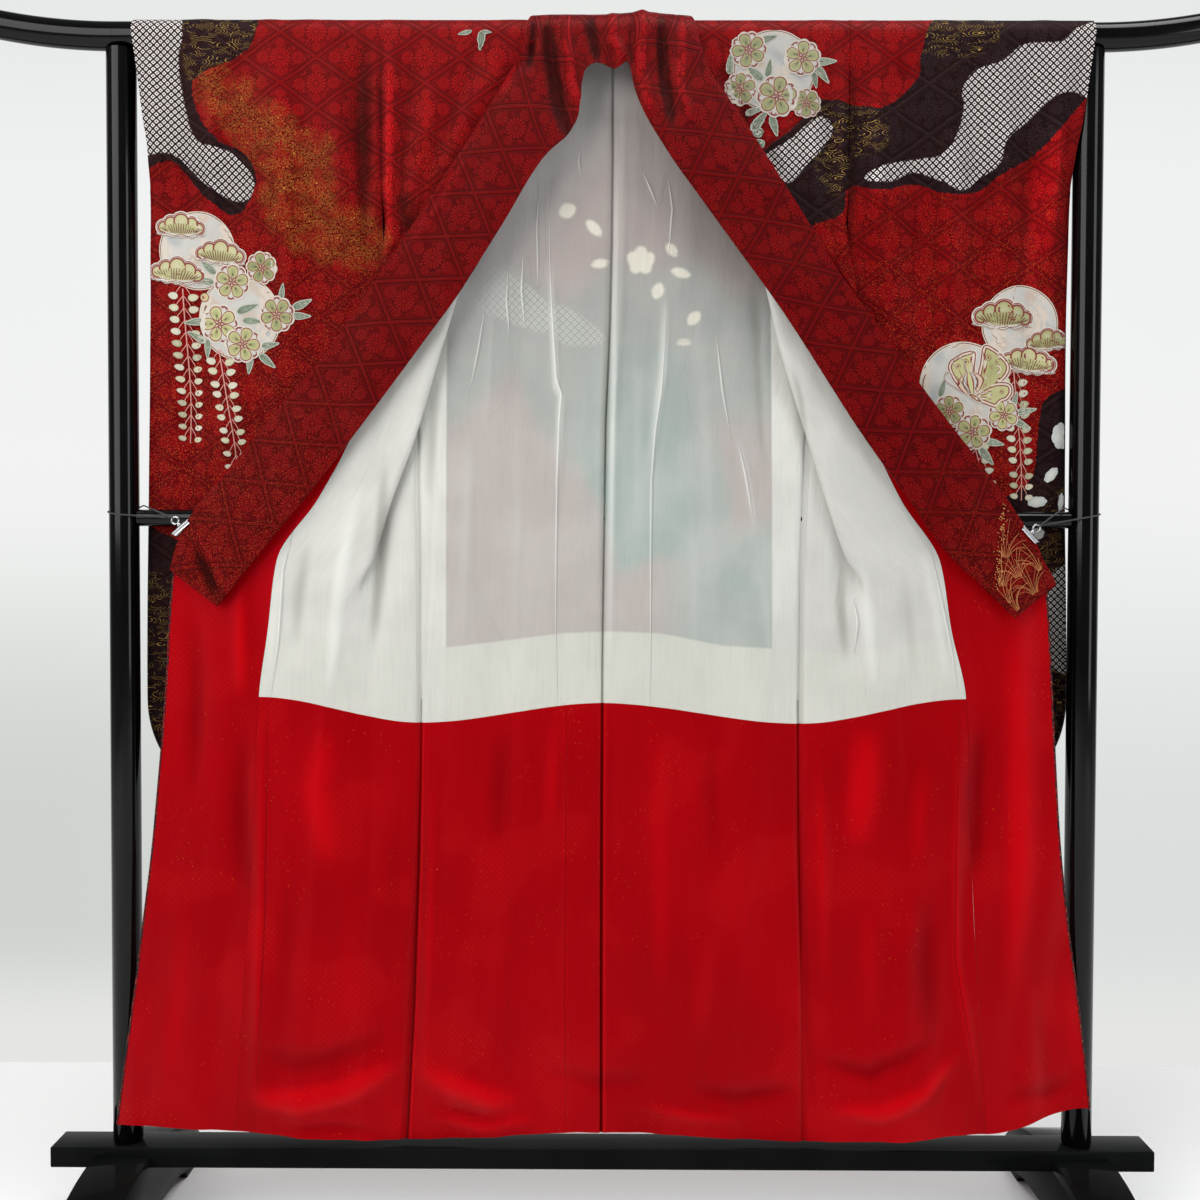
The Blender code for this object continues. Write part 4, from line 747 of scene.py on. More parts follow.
SLEEVE_RIDGES = [
    crease([(146, 30), (156, 110), (160, 200)], 0.0050, 0.010, 0.016, depth=-0.02),
    crease([(176, 32), (184, 120), (186, 220)], -0.0050, 0.012, depth=-0.02),
    crease([(208, 30), (215, 110), (212, 190), (206, 260)], 0.0060, 0.014, depth=-0.015),
    crease([(236, 32), (244, 130), (250, 230)], -0.0050, 0.014, depth=-0.015),
    crease([(270, 35), (278, 120), (286, 220), (290, 330)], 0.0065, 0.016, depth=-0.015),
    crease([(300, 36), (306, 140), (316, 250)], -0.0050, 0.014, depth=-0.015),
    crease([(332, 40), (338, 130), (346, 240), (342, 360)], 0.0060, 0.013, depth=-0.015),
    crease([(360, 40), (360, 130), (364, 220), (358, 300)], -0.0055, 0.010, depth=-0.015),
    crease([(377, 40), (377, 130), (379, 220)], 0.0040, 0.006, depth=-0.015),
    crease([(180, 260), (174, 340), (170, 430), (172, 560)], 0.0050, 0.011, depth=0.0),
    crease([(202, 300), (196, 400), (190, 500)], -0.0040, 0.012, depth=0.0),
    crease([(232, 380), (220, 460), (205, 530)], 0.0040, 0.013, depth=0.0),
    crease([(162, 540), (160, 640), (158, 730)], 0.0020, 0.007, depth=0.015),
    crease([(1084, 40), (1078, 140), (1070, 230)], -0.0040, 0.009, depth=-0.015),
    crease([(1062, 60), (1056, 150), (1056, 250)], 0.0060, 0.012, depth=-0.015),
    crease([(1030, 50), (1026, 150), (1034, 270)], -0.0050, 0.013, depth=-0.015),
    crease([(1000, 40), (1002, 120), (1010, 230), (1018, 320)], 0.0065, 0.014, depth=-0.015),
    crease([(970, 40), (974, 150), (984, 290)], -0.0045, 0.013, depth=-0.015),
    crease([(940, 40), (946, 140), (950, 260), (958, 350)], 0.0055, 0.014, depth=-0.015),
    crease([(905, 40), (910, 140), (914, 260), (926, 360)], -0.0055, 0.012, depth=-0.015),
    crease([(876, 35), (878, 130), (878, 240), (890, 330)], 0.0055, 0.011, depth=-0.015),
    crease([(856, 40), (857, 130), (856, 230)], -0.0040, 0.007, depth=-0.015),
    crease([(1052, 300), (1056, 400), (1058, 520)], 0.0050, 0.010, depth=0.0),
    crease([(1030, 330), (1028, 420), (1032, 500)], -0.0040, 0.012, depth=0.0),
    crease([(985, 330), (990, 400), (1000, 470)], 0.0040, 0.014, depth=0.0),
    crease([(1058, 560), (1060, 660), (1058, 740)], 0.0018, 0.007, depth=0.015),
]


# Painted shade and painted highlight along the sleeves' folds and beside the sleeve seams; heights
# are shares of tone.
SLEEVE_PAINTED_SHADE = [
    crease([(366, 34), (368, 90), (366, 160), (360, 230)], -0.75, 0.016),
    crease([(342, 60), (346, 110), (350, 170)], -0.45, 0.018),
    crease([(391, 70), (390, 130), (388, 200), (392, 250)], 0.50, 0.006),
    crease([(408, 190), (409, 215), (406, 236)], -0.90, 0.014),
    crease([(330, 215), (346, 250), (352, 300)], -0.40, 0.016),
    crease([(382, 34), (383, 130), (384, 250)], -0.80, 0.004),
    crease([(292, 40), (296, 110), (300, 180)], 0.35, 0.022),
    crease([(1056, 110), (1046, 200), (1036, 300)], 0.85, 0.028),
    crease([(1074, 130), (1070, 230), (1062, 330)], -0.75, 0.014),
    crease([(1018, 210), (1008, 300), (1000, 360)], -0.40, 0.018),
    crease([(962, 110), (960, 210), (950, 300)], 0.30, 0.020),
    crease([(852, 60), (850, 160), (850, 250)], -0.80, 0.010),
    crease([(872, 60), (874, 150), (880, 230)], 0.35, 0.012),
    crease([(1064, 420), (1062, 520)], -0.50, 0.010),
]


def sleeve_field(x, z):
    field = ridge_field(SLEEVE_RIDGES, x, z) * 1.0 + 1.4 * undulation(x + 0.3, z * 0.8 + 0.4)
    low = smoothstep(1.22 - z, 0.0, 0.25)
    field = field * (1 - 0.75 * low)
    near_bar = np.exp(-((z - MID_RAIL_HEIGHT) / 0.08) ** 2)
    field = np.where(field > 0, field * (1 - 0.9 * near_bar), field)
    behind_body = 1 - 0.8 * smoothstep(0.43 - np.abs(x), 0.0, 0.05) * smoothstep(1.50 - z, 0, 0.1)
    return field * near_rail(field, z) * behind_body


# ---------------------------------------------------------------- body

class Half:
    """Places on the left or right half of the body, outward from the centre seam."""

    def __init__(self, side):
        self.side = side
        self.sign = -1 if side == "left" else 1
        self.side_x = profile(SIDES, side)
        self.front_depth = profile(SIDES, "front_depth")
        self.back_depth = profile(SIDES, "back_depth")
        self.centre_depth = profile(CENTRE_DEPTHS, "depth")
        self.seam_x = profile(OKUMI_SEAMS, side)
        self.seam_depth = profile(OKUMI_SEAMS, "depth")
        self.edge_x = profile(FRONT_EDGES, side)
        self.edge_depth = profile(FRONT_EDGES, "depth")
        self.folds = [{name: profile(table, name) for name in Fold._fields[1:]}
                      for table in (BACK_FOLDS, CREASES)]
        self.rises = [profile(RISES, name)
                      for name in ("centre", "side", "seam", "front_" + side)]
        self.neck_x = NECK_WIDTH_LEFT if side == "left" else NECK_WIDTH_RIGHT

    def rise(self, height, place):
        """Place runs 0 centre, 1 side seam, 2 okumi seam, 3 front edge."""
        k = np.clip(np.floor(place), 0, 2).astype(int)
        t = smoothstep(place - k, 0.0, 1.0)
        found = np.stack(np.broadcast_arrays(*[read(height) for read in self.rises]))
        low = np.take_along_axis(found, k[None] + np.zeros_like(height, int)[None], 0)[0]
        high = np.take_along_axis(found, k[None] + 1 + np.zeros_like(height, int)[None], 0)[0]
        return low * (1 - t) + high * t

    def fold_stations(self, number, height):
        fold = {name: read(height) for name, read in self.folds[number].items()}
        x = fold[self.side]
        return [(x + CREASE_HALF * fold["arrive"], fold["depth"] + fold["spread"] / 2),
                (x, fold["depth"]),
                (x + CREASE_HALF * fold["leave"], fold["depth"] - fold["spread"] / 2)]

    def front(self, heights):
        """Points (rows, columns, 3), the width of cloth at each, from side edge to seam."""
        back = self.fold_stations(0, heights)
        crease = self.fold_stations(1, heights)
        last = (self.seam_x(heights), self.seam_depth(heights))
        blend = lambda a, b, t: (a[0] + (b[0] - a[0]) * t, a[1] + (b[1] - a[1]) * t)
        depth = np.where(heights > UNDERARM_HEIGHT, self.front_depth(heights),
                         self.back_depth(heights))
        stations = [(self.side_x(heights), depth), *back, blend(back[2], crease[0], 0.5),
                    *crease, blend(crease[2], last, 0.33), blend(crease[2], last, 0.67), last]
        stations = np.stack([np.stack(station, -1) for station in stations], 1)
        flat, along = smooth_across(stations, FRONT_PARTS)
        near = self.side_x(heights)[:, None]
        far = np.maximum(last[0][:, None], near + 0.02)
        across = np.clip((flat[..., 0] - near) / (far - near), 0.0, 1.0)
        low = smoothstep(UNDERARM_HEIGHT - heights, 0.0, 0.3)[:, None]
        place = 1 + along[None, :] * (1 - low) + across * low
        level = heights[:, None] + np.zeros_like(place)
        reach = np.clip((0.62 - level) / 0.5, 0.0, 1.0)
        bulge = HEM_BULGE * reach ** 2 * np.sin(np.pi * np.clip(place - 1, 0, 1)) ** 2
        points = np.stack([self.sign * flat[..., 0], flat[..., 1] - bulge,
                           level + self.rise(level, place)], -1)
        steps = np.linalg.norm(np.diff(flat, axis=1), axis=2)
        width = np.concatenate([np.zeros((len(heights), 1)), np.cumsum(steps, axis=1)], 1)
        return points, self.sign * (self.side_x(RAIL_HEIGHT) - width)

    def back(self, heights, rail_x):
        """Points of the back panel, from its side edge to the centre seam."""
        inner = 0.00002
        neck = np.linspace(self.neck_x, inner, NECK_COLUMNS + 1)[1:]
        top_x = np.concatenate([rail_x, neck])
        top_t = (top_x - inner) / (top_x[0] - inner)
        even_t = np.linspace(1.0, 0.0, len(top_x))
        blend = smoothstep(RAIL_HEIGHT - heights, 0.0, 0.12)[:, None]
        t = top_t[None] * (1 - blend) + even_t[None] * blend
        level = heights[:, None] + np.zeros_like(t)
        x = inner + (self.side_x(level) - inner) * t
        depth = self.centre_depth(level) * (1 - t) + self.back_depth(level) * t
        behind = np.clip(top_x / self.neck_x, 0, 1)
        top = NECK_CURVE_HEIGHT + (RAIL_HEIGHT - NECK_CURVE_HEIGHT) * behind ** 2
        q = (RAIL_HEIGHT - level) / (RAIL_HEIGHT - UPPER_HEIGHTS[0])
        curved = top[None] * (1 - q) + UPPER_HEIGHTS[0] * q
        shown = np.where(q < 1, curved, level)
        points = np.stack([self.sign * x, depth, shown + self.rise(level, t)], -1)
        return points, self.sign * t * self.side_x(RAIL_HEIGHT)

    def okumi(self, heights):
        t = np.linspace(0.0, 1.0, OKUMI_COLUMNS + 1)[None]
        level = heights[:, None] + np.zeros_like(t)
        seam_x = self.seam_x(level) + SEAM_GAP
        edge_x = self.edge_x(level)
        x = seam_x + (edge_x - seam_x) * t
        depth = self.seam_depth(level) * (1 - t) + self.edge_depth(level) * t
        points = np.stack([self.sign * x, depth, level + self.rise(level, 2 + t)], -1)
        return points, self.sign * ((x - seam_x) + 0.06)


def down_front(z):
    """Length of cloth from the top of the rail down to a height."""
    over = np.clip((z - RAIL_HEIGHT) / FOLD_RADIUS, 0.0, 1.0)
    return np.where(z < RAIL_HEIGHT, FOLD_RADIUS * math.pi / 2 + RAIL_HEIGHT - z,
                    FOLD_RADIUS * np.arccos(over))


class Body:
    """The one long strip of a body half, as a grid of points that its linings share."""

    def __init__(self, half):
        self.half = half
        heights = spaced(RAIL_HEIGHT, UPPER_HEIGHTS[0], OKUMI_TOP, UNDERARM_HEIGHT,
                         OKUMI_LINING_TOP, 0.97, LINING_JOIN, 0.13)
        self.heights = heights
        rows = len(heights)
        front, front_u = half.front(heights)
        columns = front.shape[1]
        rail_x = np.abs(front[0, :, 0])
        back, back_u = half.back(heights, rail_x)
        front = forward(front)
        back = forward(back, behind=True)
        sewn = smoothstep(RAIL_HEIGHT - heights, 0.03, 0.10)
        back[:, -1, 1] += SEAM_GROOVE * sewn
        back[:, 0, 1] += SEAM_GROOVE * smoothstep(UNDERARM_HEIGHT - heights, 0.0, 0.10)
        angles = np.pi * np.arange(1, ARC_STEPS) / ARC_STEPS
        arc = over_rail(front[0, :, 0], body_field, angles)
        back[0, :columns, 1] = FOLD_RADIUS
        all_columns = back.shape[1]
        missing = np.full((rows + len(angles), all_columns - columns, 3), np.nan)
        left = np.concatenate([front[::-1], arc])
        top = np.concatenate([left, missing], axis=1)
        grid = np.concatenate([top, back])
        lengths = np.concatenate([down_front(heights)[::-1],
                                  FOLD_RADIUS * (np.pi / 2 - angles),
                                  -down_front(heights)])
        self.s = np.repeat(lengths[:, None], all_columns, 1)
        empty = np.zeros((rows + len(angles), all_columns - columns))
        arc_u = np.repeat(front_u[:1], len(angles), 0)
        self.u = np.concatenate([np.concatenate([front_u[::-1], arc_u]), empty], 1)
        self.u = np.concatenate([self.u, back_u])
        index = grid_index(*grid.shape[:2])
        index[np.isnan(grid[..., 0])] = -1
        first_back = rows + len(angles)
        for k, height in enumerate(heights):
            if height <= UNDERARM_HEIGHT + 1e-9:
                index[rows - 1 - k, 0] = index[first_back + k, 0]
        self.index = index
        self.points = grid.reshape(-1, 3)
        self.columns = columns
        self.front_rows = np.arange(rows - 1, -1, -1)
        self.back_rows = first_back + np.arange(rows)
        self.cells = cells_of(index, flip=half.side == "right")
        filled = np.nan_to_num(self.points)
        self.points = filled
        self.normals = point_normals(filled, self.cells)
        self.attributes = [("cloth", np.stack([self.u.ravel(), self.s.ravel(),
                                               0 * self.s.ravel()], -1))]

    def part(self, rows, low, high, columns=None):
        """Cells of the front or back rows between two heights."""
        keep = (self.heights <= high + 1e-9) & (self.heights >= low - 1e-9)
        chosen = self.index[rows[keep]]
        if columns is not None:
            chosen = chosen[:, :columns]
        flip = (self.half.side == "right") != (rows is self.front_rows)
        return cells_of(chosen, flip=flip)


# ---------------------------------------------------------------- sleeves

class SleeveBag:
    """One folded strip: its front and back layers as one grid over the rail."""

    def __init__(self, side):
        self.side = side
        self.sign = -1 if side == "left" else 1
        self.reads = {name: profile(SLEEVES, name) for name in Sleeve._fields[1:]}
        self.body_side = profile(SIDES, side)
        self.corner_top = SLEEVE_BOTTOM + SLEEVE_CORNER_RADIUS
        straight = spaced(RAIL_HEIGHT, CUFF_BOTTOM, self.corner_top, step=SLEEVE_ROW_STEP)
        turn = np.pi / 2 * np.arange(1, SLEEVE_CORNER_FINE + 1) / SLEEVE_CORNER_FINE
        self.heights = np.concatenate(
            [straight, self.corner_top - SLEEVE_CORNER_RADIUS * np.sin(turn)])
        front, back = self.layer("front"), self.layer("back")
        front[..., 1] -= sleeve_field(front[..., 0], front[..., 2])
        back[..., 1] -= (sleeve_field(back[..., 0], back[..., 2])
                         * clear_of_rail(back[..., 2]))
        back[0, :, 1] = FOLD_RADIUS
        angles = np.pi * np.arange(1, ARC_STEPS) / ARC_STEPS
        arc = over_rail(front[0, :, 0], sleeve_field, angles)
        grid = np.concatenate([front[::-1], arc, back])
        rows, columns = grid.shape[:2]
        index = grid_index(rows, columns)
        self.front_rows = np.arange(len(self.heights) - 1, -1, -1)
        self.back_rows = len(self.heights) + len(angles) + np.arange(len(self.heights))
        self.columns = columns
        lengths = np.concatenate([down_front(self.heights)[::-1],
                                  FOLD_RADIUS * (np.pi / 2 - angles),
                                  -down_front(self.heights)])
        cloth = np.stack([grid[..., 0], np.repeat(lengths[:, None], columns, 1),
                          0 * grid[..., 0]], -1)
        points = [grid.reshape(-1, 3)]
        cloths = [cloth.reshape(-1, 3)]

        # The layers meet along the outer edge below the cuff and along the bottom.
        first = int(np.argmin(np.abs(self.heights - CUFF_BOTTOM)))
        path = [(k, columns - 1) for k in range(first, len(self.heights))]
        path += [(len(self.heights) - 1, j) for j in range(columns - 2, -1, -1)]
        ahead = np.array([index[self.front_rows[k], j] for k, j in path])
        behind = np.array([index[self.back_rows[k], j] for k, j in path])
        flat = points[0]
        along = np.gradient(flat[ahead], axis=0)
        away = np.stack([-along[:, 2], 0 * along[:, 0], along[:, 0]], -1) * self.sign
        away /= np.linalg.norm(away, axis=1, keepdims=True)
        rims = [ahead]
        start = len(flat)
        for share in (0.2, 0.5, 0.8):
            swell = SLEEVE_EDGE_REACH * math.sin(math.pi * share)
            points.append(flat[ahead] * (1 - share) + flat[behind] * share + away * swell)
            cloths.append(cloths[0][ahead])
            rims.append(start + np.arange(len(path)))
            start += len(path)
        rims.append(behind)
        self.points = np.concatenate(points)
        flip = side == "left"
        rim_cells = cells_of(np.stack(rims), flip=flip)
        self.cells = np.concatenate([cells_of(index, flip=flip), rim_cells])
        self.index = index
        self.normals = point_normals(self.points, self.cells)
        self.cloth = np.concatenate(cloths)
        self.attributes = [("cloth", self.cloth)]

    def outer_x(self, height):
        below = np.maximum(self.corner_top - height, 0.0)
        return (self.reads["outer_" + self.side](height) - SLEEVE_CORNER_RADIUS
                + np.sqrt(np.maximum(SLEEVE_CORNER_RADIUS ** 2 - below ** 2, 0.0)))

    def inner_x(self, height):
        below = self.reads["inner_" + self.side](height)
        return np.where(height > CUFF_BOTTOM, self.body_side(height) + SEAM_GAP, below)

    def layer(self, name):
        t = np.linspace(0.0, 1.0, SLEEVE_FINE_COLUMNS + 1)[None]
        level = self.heights[:, None] + 0 * t
        inner = self.inner_x(level)
        depth = (self.reads[name + "_inner"](level) * (1 - t)
                 + self.reads[name + "_outer"](level) * t)
        x = inner + (self.outer_x(level) - inner) * t
        return np.stack([self.sign * x, depth, level], -1)


# ---------------------------------------------------------------- collar

def wrap_points(x, drop, lift):
    """Places on the flat collar, mapped to the rail's front, over it and behind it."""
    radius = COLLAR_RADIUS + lift
    angle = np.clip(-drop / COLLAR_RADIUS, 0.0, np.pi)
    tail = np.minimum(drop + np.pi * COLLAR_RADIUS, 0.0)
    down = np.maximum(drop, 0.0)
    return np.stack([x, -radius * np.cos(angle),
                     RAIL_HEIGHT + radius * np.sin(angle) - down + tail], -1)


def collar_sheet():
    bands = np.array(COLLAR_BANDS)
    middle = (bands[:, :3] + bands[:, 3:]) / 2
    chords = np.linalg.norm(np.diff(middle[:, :2], axis=0), axis=1)
    starts = np.concatenate([[0.0], np.cumsum(chords)])
    fine = np.linspace(0.0, starts[-1], COLLAR_ROWS + 1)
    values = np.stack([curve_through(starts, bands[:, k], fine) for k in range(6)], -1)
    t = np.linspace(0.0, 1.0, COLLAR_FINE_COLUMNS + 1)[None]
    seam_x, seam_drop, seam_lift, free_x, free_drop, free_lift = (
        values[:, k:k + 1] for k in range(6))
    x = seam_x + (free_x - seam_x) * t
    drop = seam_drop + (free_drop - seam_drop) * t
    lift = seam_lift + (free_lift - seam_lift) * t
    folds = (ridge_field(COLLAR_RIDGES, x, RAIL_HEIGHT - drop)
             * smoothstep(drop, -0.085, -0.045))
    lift = np.maximum(lift + collar_roll(fine[:, None] / starts[-1], t) + folds, 0.0016)
    peak = np.exp(-((x - 0.054) / 0.034) ** 2)
    lift = lift * (1 - 0.5 * (1 - peak) * smoothstep(-drop, 0.0, 0.03))
    points = wrap_points(x, drop, lift)
    width = np.hypot(free_x - seam_x, free_drop - seam_drop)
    cloth = np.stack(np.broadcast_arrays(t * width, fine[:, None], 0 * t), -1)
    # painted shade in the folds' troughs and painted highlight on their ridges, carried as the
    # fold attribute
    tone = np.clip(folds / 0.0034 + 0 * x, -1.0, 1.0)
    return points, cloth, tone


def curve_through(at, values, fine):
    """Values of a smooth curve through given ones."""
    slopes = np.gradient(values, at)
    k = np.clip(np.searchsorted(at, fine, side="right") - 1, 0, len(at) - 2)
    span = at[k + 1] - at[k]
    t = (fine - at[k]) / span
    return (values[k] * (1 + 2 * t) * (1 - t) ** 2 + slopes[k] * span * t * (1 - t) ** 2
            + values[k + 1] * t * t * (3 - 2 * t) + slopes[k + 1] * span * t * t * (t - 1))


def collar_roll(along, across):
    """The band's soft crown, flatter at the clipped ends, with slight waves along it."""
    ends = smoothstep(along, 0.0, 0.06) * smoothstep(1 - along, 0.0, 0.06)
    crown = 0.0022 * np.sin(np.pi * across) ** 0.8
    waves = 0.0008 * np.sin(along * 61.0 + across * 2.0) + 0.0006 * np.sin(along * 97.0 + 1.0)
    return (crown + waves * np.sin(np.pi * across)) * (0.3 + 0.7 * ends)


def collar_forward(points):
    """The collar moves with the cloth that it lies on, but never back into it."""
    moved = points.copy()
    moved[..., 1] -= (body_field(points[..., 0], points[..., 2])
                      * smoothstep(-points[..., 1], 0.0, 0.020))
    return moved


def fold_painted_shade(ridges, x, z, size=0.005, tones=()):
    """Ridges up to 1 and troughs down to -1, for painted highlight on the folds' ridges and
    painted shade in their troughs.
    """
    tone = ridge_field(ridges, x, z) / size
    if tones:
        tone = tone + ridge_field(tones, x, z)
    return ("fold", np.clip(tone, -1.0, 1.0))


# ---------------------------------------------------------------- dyed regions

def closed_curve(points, per_side=6):
    """A smooth closed outline through a few points (width, length from the rail)."""
    points = np.array(points)
    out = []
    count = len(points)
    for k in range(count):
        a, b, c, d = (points[(k + m) % count] for m in (-1, 0, 1, 2))
        for t in np.arange(per_side) / per_side:
            out.append(0.5 * ((2 * b) + (c - a) * t + (2 * a - 5 * b + 4 * c - d) * t ** 2
                              + (3 * b - a - 3 * c + d) * t ** 3))
    return np.array(out)


def inside_by(outline, u, s):
    """Signed distance of places to a closed outline, above zero inside it."""
    after = np.roll(outline, -1, axis=0)
    best = np.full(u.shape, 9.0)
    crossings = np.zeros(u.shape, int)
    for (x0, y0), (x1, y1) in zip(outline, after):
        dx, dy = x1 - x0, y1 - y0
        size = max(dx * dx + dy * dy, 1e-12)
        t = np.clip(((u - x0) * dx + (s - y0) * dy) / size, 0.0, 1.0)
        best = np.minimum(best, np.hypot(u - x0 - dx * t, s - y0 - dy * t))
        spans = (y0 > s) != (y1 > s)
        where = x0 + (s - y0) * dx / (dy if abs(dy) > 1e-12 else 1e-12)
        crossings += (spans & (u < where)).astype(int)
    return np.where(crossings % 2 == 1, best, -best)


def region(outlines, u, s):
    """The union of outlines; the back of the cloth carries the same drawing."""
    total = np.full(u.shape, -1.0)
    for outline in outlines:
        total = np.maximum(total, inside_by(outline, u, np.abs(s)))
    return total


def placed(points):
    """Outline points given as (x, z) on the front, as (width, length)."""
    return closed_curve([(x, float(down_front(np.array(z)))) for x, z in points])


DARK = [
    # left sleeve, the cloud at the shoulder
    placed([(-0.700, 1.528), (-0.660, 1.524), (-0.617, 1.537), (-0.599, 1.523), (-0.568, 1.487),
            (-0.527, 1.463), (-0.499, 1.497), (-0.497, 1.525), (-0.517, 1.552), (-0.545, 1.563),
            (-0.573, 1.596), (-0.584, 1.643), (-0.559, 1.664), (-0.516, 1.685), (-0.496, 1.709),
            (-0.502, 1.7405), (-0.610, 1.7410), (-0.710, 1.7405), (-0.715, 1.640)]),
    # left sleeve, low behind the front
    placed([(-0.720, 1.012), (-0.640, 1.008), (-0.560, 0.970), (-0.470, 0.950), (-0.380, 0.905),
            (-0.280, 0.900), (-0.280, 0.560), (-0.500, 0.560), (-0.720, 0.560)]),
    # right sleeve, the cloud at the shoulder
    placed([(0.330, 1.495), (0.354, 1.504), (0.396, 1.497), (0.439, 1.506), (0.489, 1.492),
            (0.534, 1.499), (0.562, 1.519), (0.617, 1.553), (0.679, 1.623), (0.720, 1.650),
            (0.720, 1.7405), (0.600, 1.7410), (0.476, 1.7400), (0.447, 1.684), (0.444, 1.655),
            (0.404, 1.617), (0.367, 1.607), (0.320, 1.618)]),
    # right sleeve, the cloud at the lower outer edge
    placed([(0.720, 1.226), (0.672, 1.222), (0.639, 1.206), (0.630, 1.166), (0.622, 1.094),
            (0.580, 1.062), (0.520, 1.040), (0.450, 1.000), (0.380, 0.990), (0.280, 0.950),
            (0.280, 0.560), (0.500, 0.560), (0.720, 0.560)]),
    # right front, the cloud under the shoulder flowers
    placed([(0.190, 1.530), (0.223, 1.552), (0.255, 1.574), (0.275, 1.590), (0.296, 1.617),
            (0.308, 1.625), (0.345, 1.617), (0.400, 1.600), (0.400, 1.508), (0.346, 1.502),
            (0.340, 1.464),
            (0.297, 1.447), (0.240, 1.430)]),
]
DOTS = [
    placed([(-0.700, 1.548), (-0.647, 1.545), (-0.611, 1.545), (-0.567, 1.505),
            (-0.527, 1.482), (-0.503, 1.490), (-0.501, 1.516), (-0.530, 1.548),
            (-0.579, 1.566), (-0.597, 1.622), (-0.604, 1.678), (-0.598, 1.713),
            (-0.612, 1.7408), (-0.700, 1.7410), (-0.715, 1.640)]),
    placed(spots([(864, 179), (880, 167), (912, 160), (940, 156), (956, 136), (964, 106),
                  (962, 90), (976, 70), (1002, 62), (1024, 45), (1062, 42), (1078, 28),
                  (1104, 22), (1106, 60), (1094, 99), (1074, 92), (1050, 100), (1026, 123),
                  (1006, 140), (1000, 163), (980, 178), (962, 190), (938, 180), (912, 172),
                  (890, 182)])),
    placed([(0.226, 1.541), (0.262, 1.566), (0.306, 1.600), (0.324, 1.578), (0.290, 1.534),
            (0.258, 1.506)]),
    placed([(0.650, 0.948), (0.700, 0.955), (0.700, 0.820), (0.648, 0.826)]),
    placed([(-0.470, 0.860), (-0.400, 0.880), (-0.350, 0.800), (-0.400, 0.720),
            (-0.480, 0.760)]),
    placed([(0.460, 0.880), (0.400, 0.890), (0.360, 0.800), (0.420, 0.730), (0.490, 0.780)]),
]
WAVES = [
    placed([(-0.590, 1.7405), (-0.500, 1.7405), (-0.500, 1.700), (-0.540, 1.672),
            (-0.590, 1.650)]),
    placed([(0.330, 1.615), (0.395, 1.600), (0.400, 1.560), (0.360, 1.545), (0.330, 1.560)]),
    placed([(0.448, 1.690), (0.470, 1.7405), (0.560, 1.7405), (0.540, 1.690)]),
    placed([(0.292, 1.560), (0.300, 1.610), (0.345, 1.605), (0.345, 1.500), (0.310, 1.500)]),
    placed([(-0.700, 0.930), (-0.620, 0.920), (-0.600, 0.700), (-0.700, 0.640)]),
    placed([(0.700, 1.080), (0.650, 1.060), (0.620, 0.980), (0.620, 0.700), (0.700, 0.660)]),
]
HAZE = [
    placed(spots([(196, 74), (222, 70), (246, 78), (262, 104), (308, 126), (332, 152),
                  (336, 194), (374, 218), (388, 262), (346, 264), (300, 250), (262, 208),
                  (264, 174), (232, 142), (206, 108)])),
]


def region_attributes(cloth):
    u, s = cloth[:, 0], cloth[:, 1]
    return [("cloth", cloth),
            ("dark", region(DARK, u, s)),
            ("dots", region(DOTS, u, s)),
            ("waves", region(WAVES, u, s)),
            ("haze", region(HAZE, u, s))]


def blank_regions(cloth):
    far = np.full(len(cloth), -1.0)
    return [("cloth", cloth)] + [(name, far) for name in ("dark", "dots", "waves", "haze")]


# ---------------------------------------------------------------- materials

def srgb(*values):
    """Linear colour from 0 to 255 values as seen on a screen."""
    return tuple((v / 255 / 12.92) if v <= 10 else ((v / 255 + 0.055) / 1.055) ** 2.4
                 for v in values)


class Value:
    """An output of a material's nodes, which can be reckoned with."""

    def __init__(self, look, socket):
        self.look, self.socket = look, socket

    def __add__(self, other): return self.look.math("ADD", self, other)
    def __sub__(self, other): return self.look.math("SUBTRACT", self, other)
    def __rsub__(self, other): return self.look.math("SUBTRACT", other, self)
    def __mul__(self, other): return self.look.math("MULTIPLY", self, other)
    def __truediv__(self, other): return self.look.math("DIVIDE", self, other)
    __radd__, __rmul__ = __add__, __mul__

    def size(self): return self.look.math("ABSOLUTE", self)
    def least(self, other): return self.look.math("MINIMUM", self, other)
    def most(self, other): return self.look.math("MAXIMUM", self, other)
    def part(self): return self.look.math("FRACT", self)

    def to_line(self):
        """Distance to the nearest whole number."""
        return self.look.math("PINGPONG", self, 0.5)

    def ramp(self, low, high):
        """Rises smoothly from 0 at low to 1 at high, which may be the smaller."""
        return self.look.ramp(self, low, high)


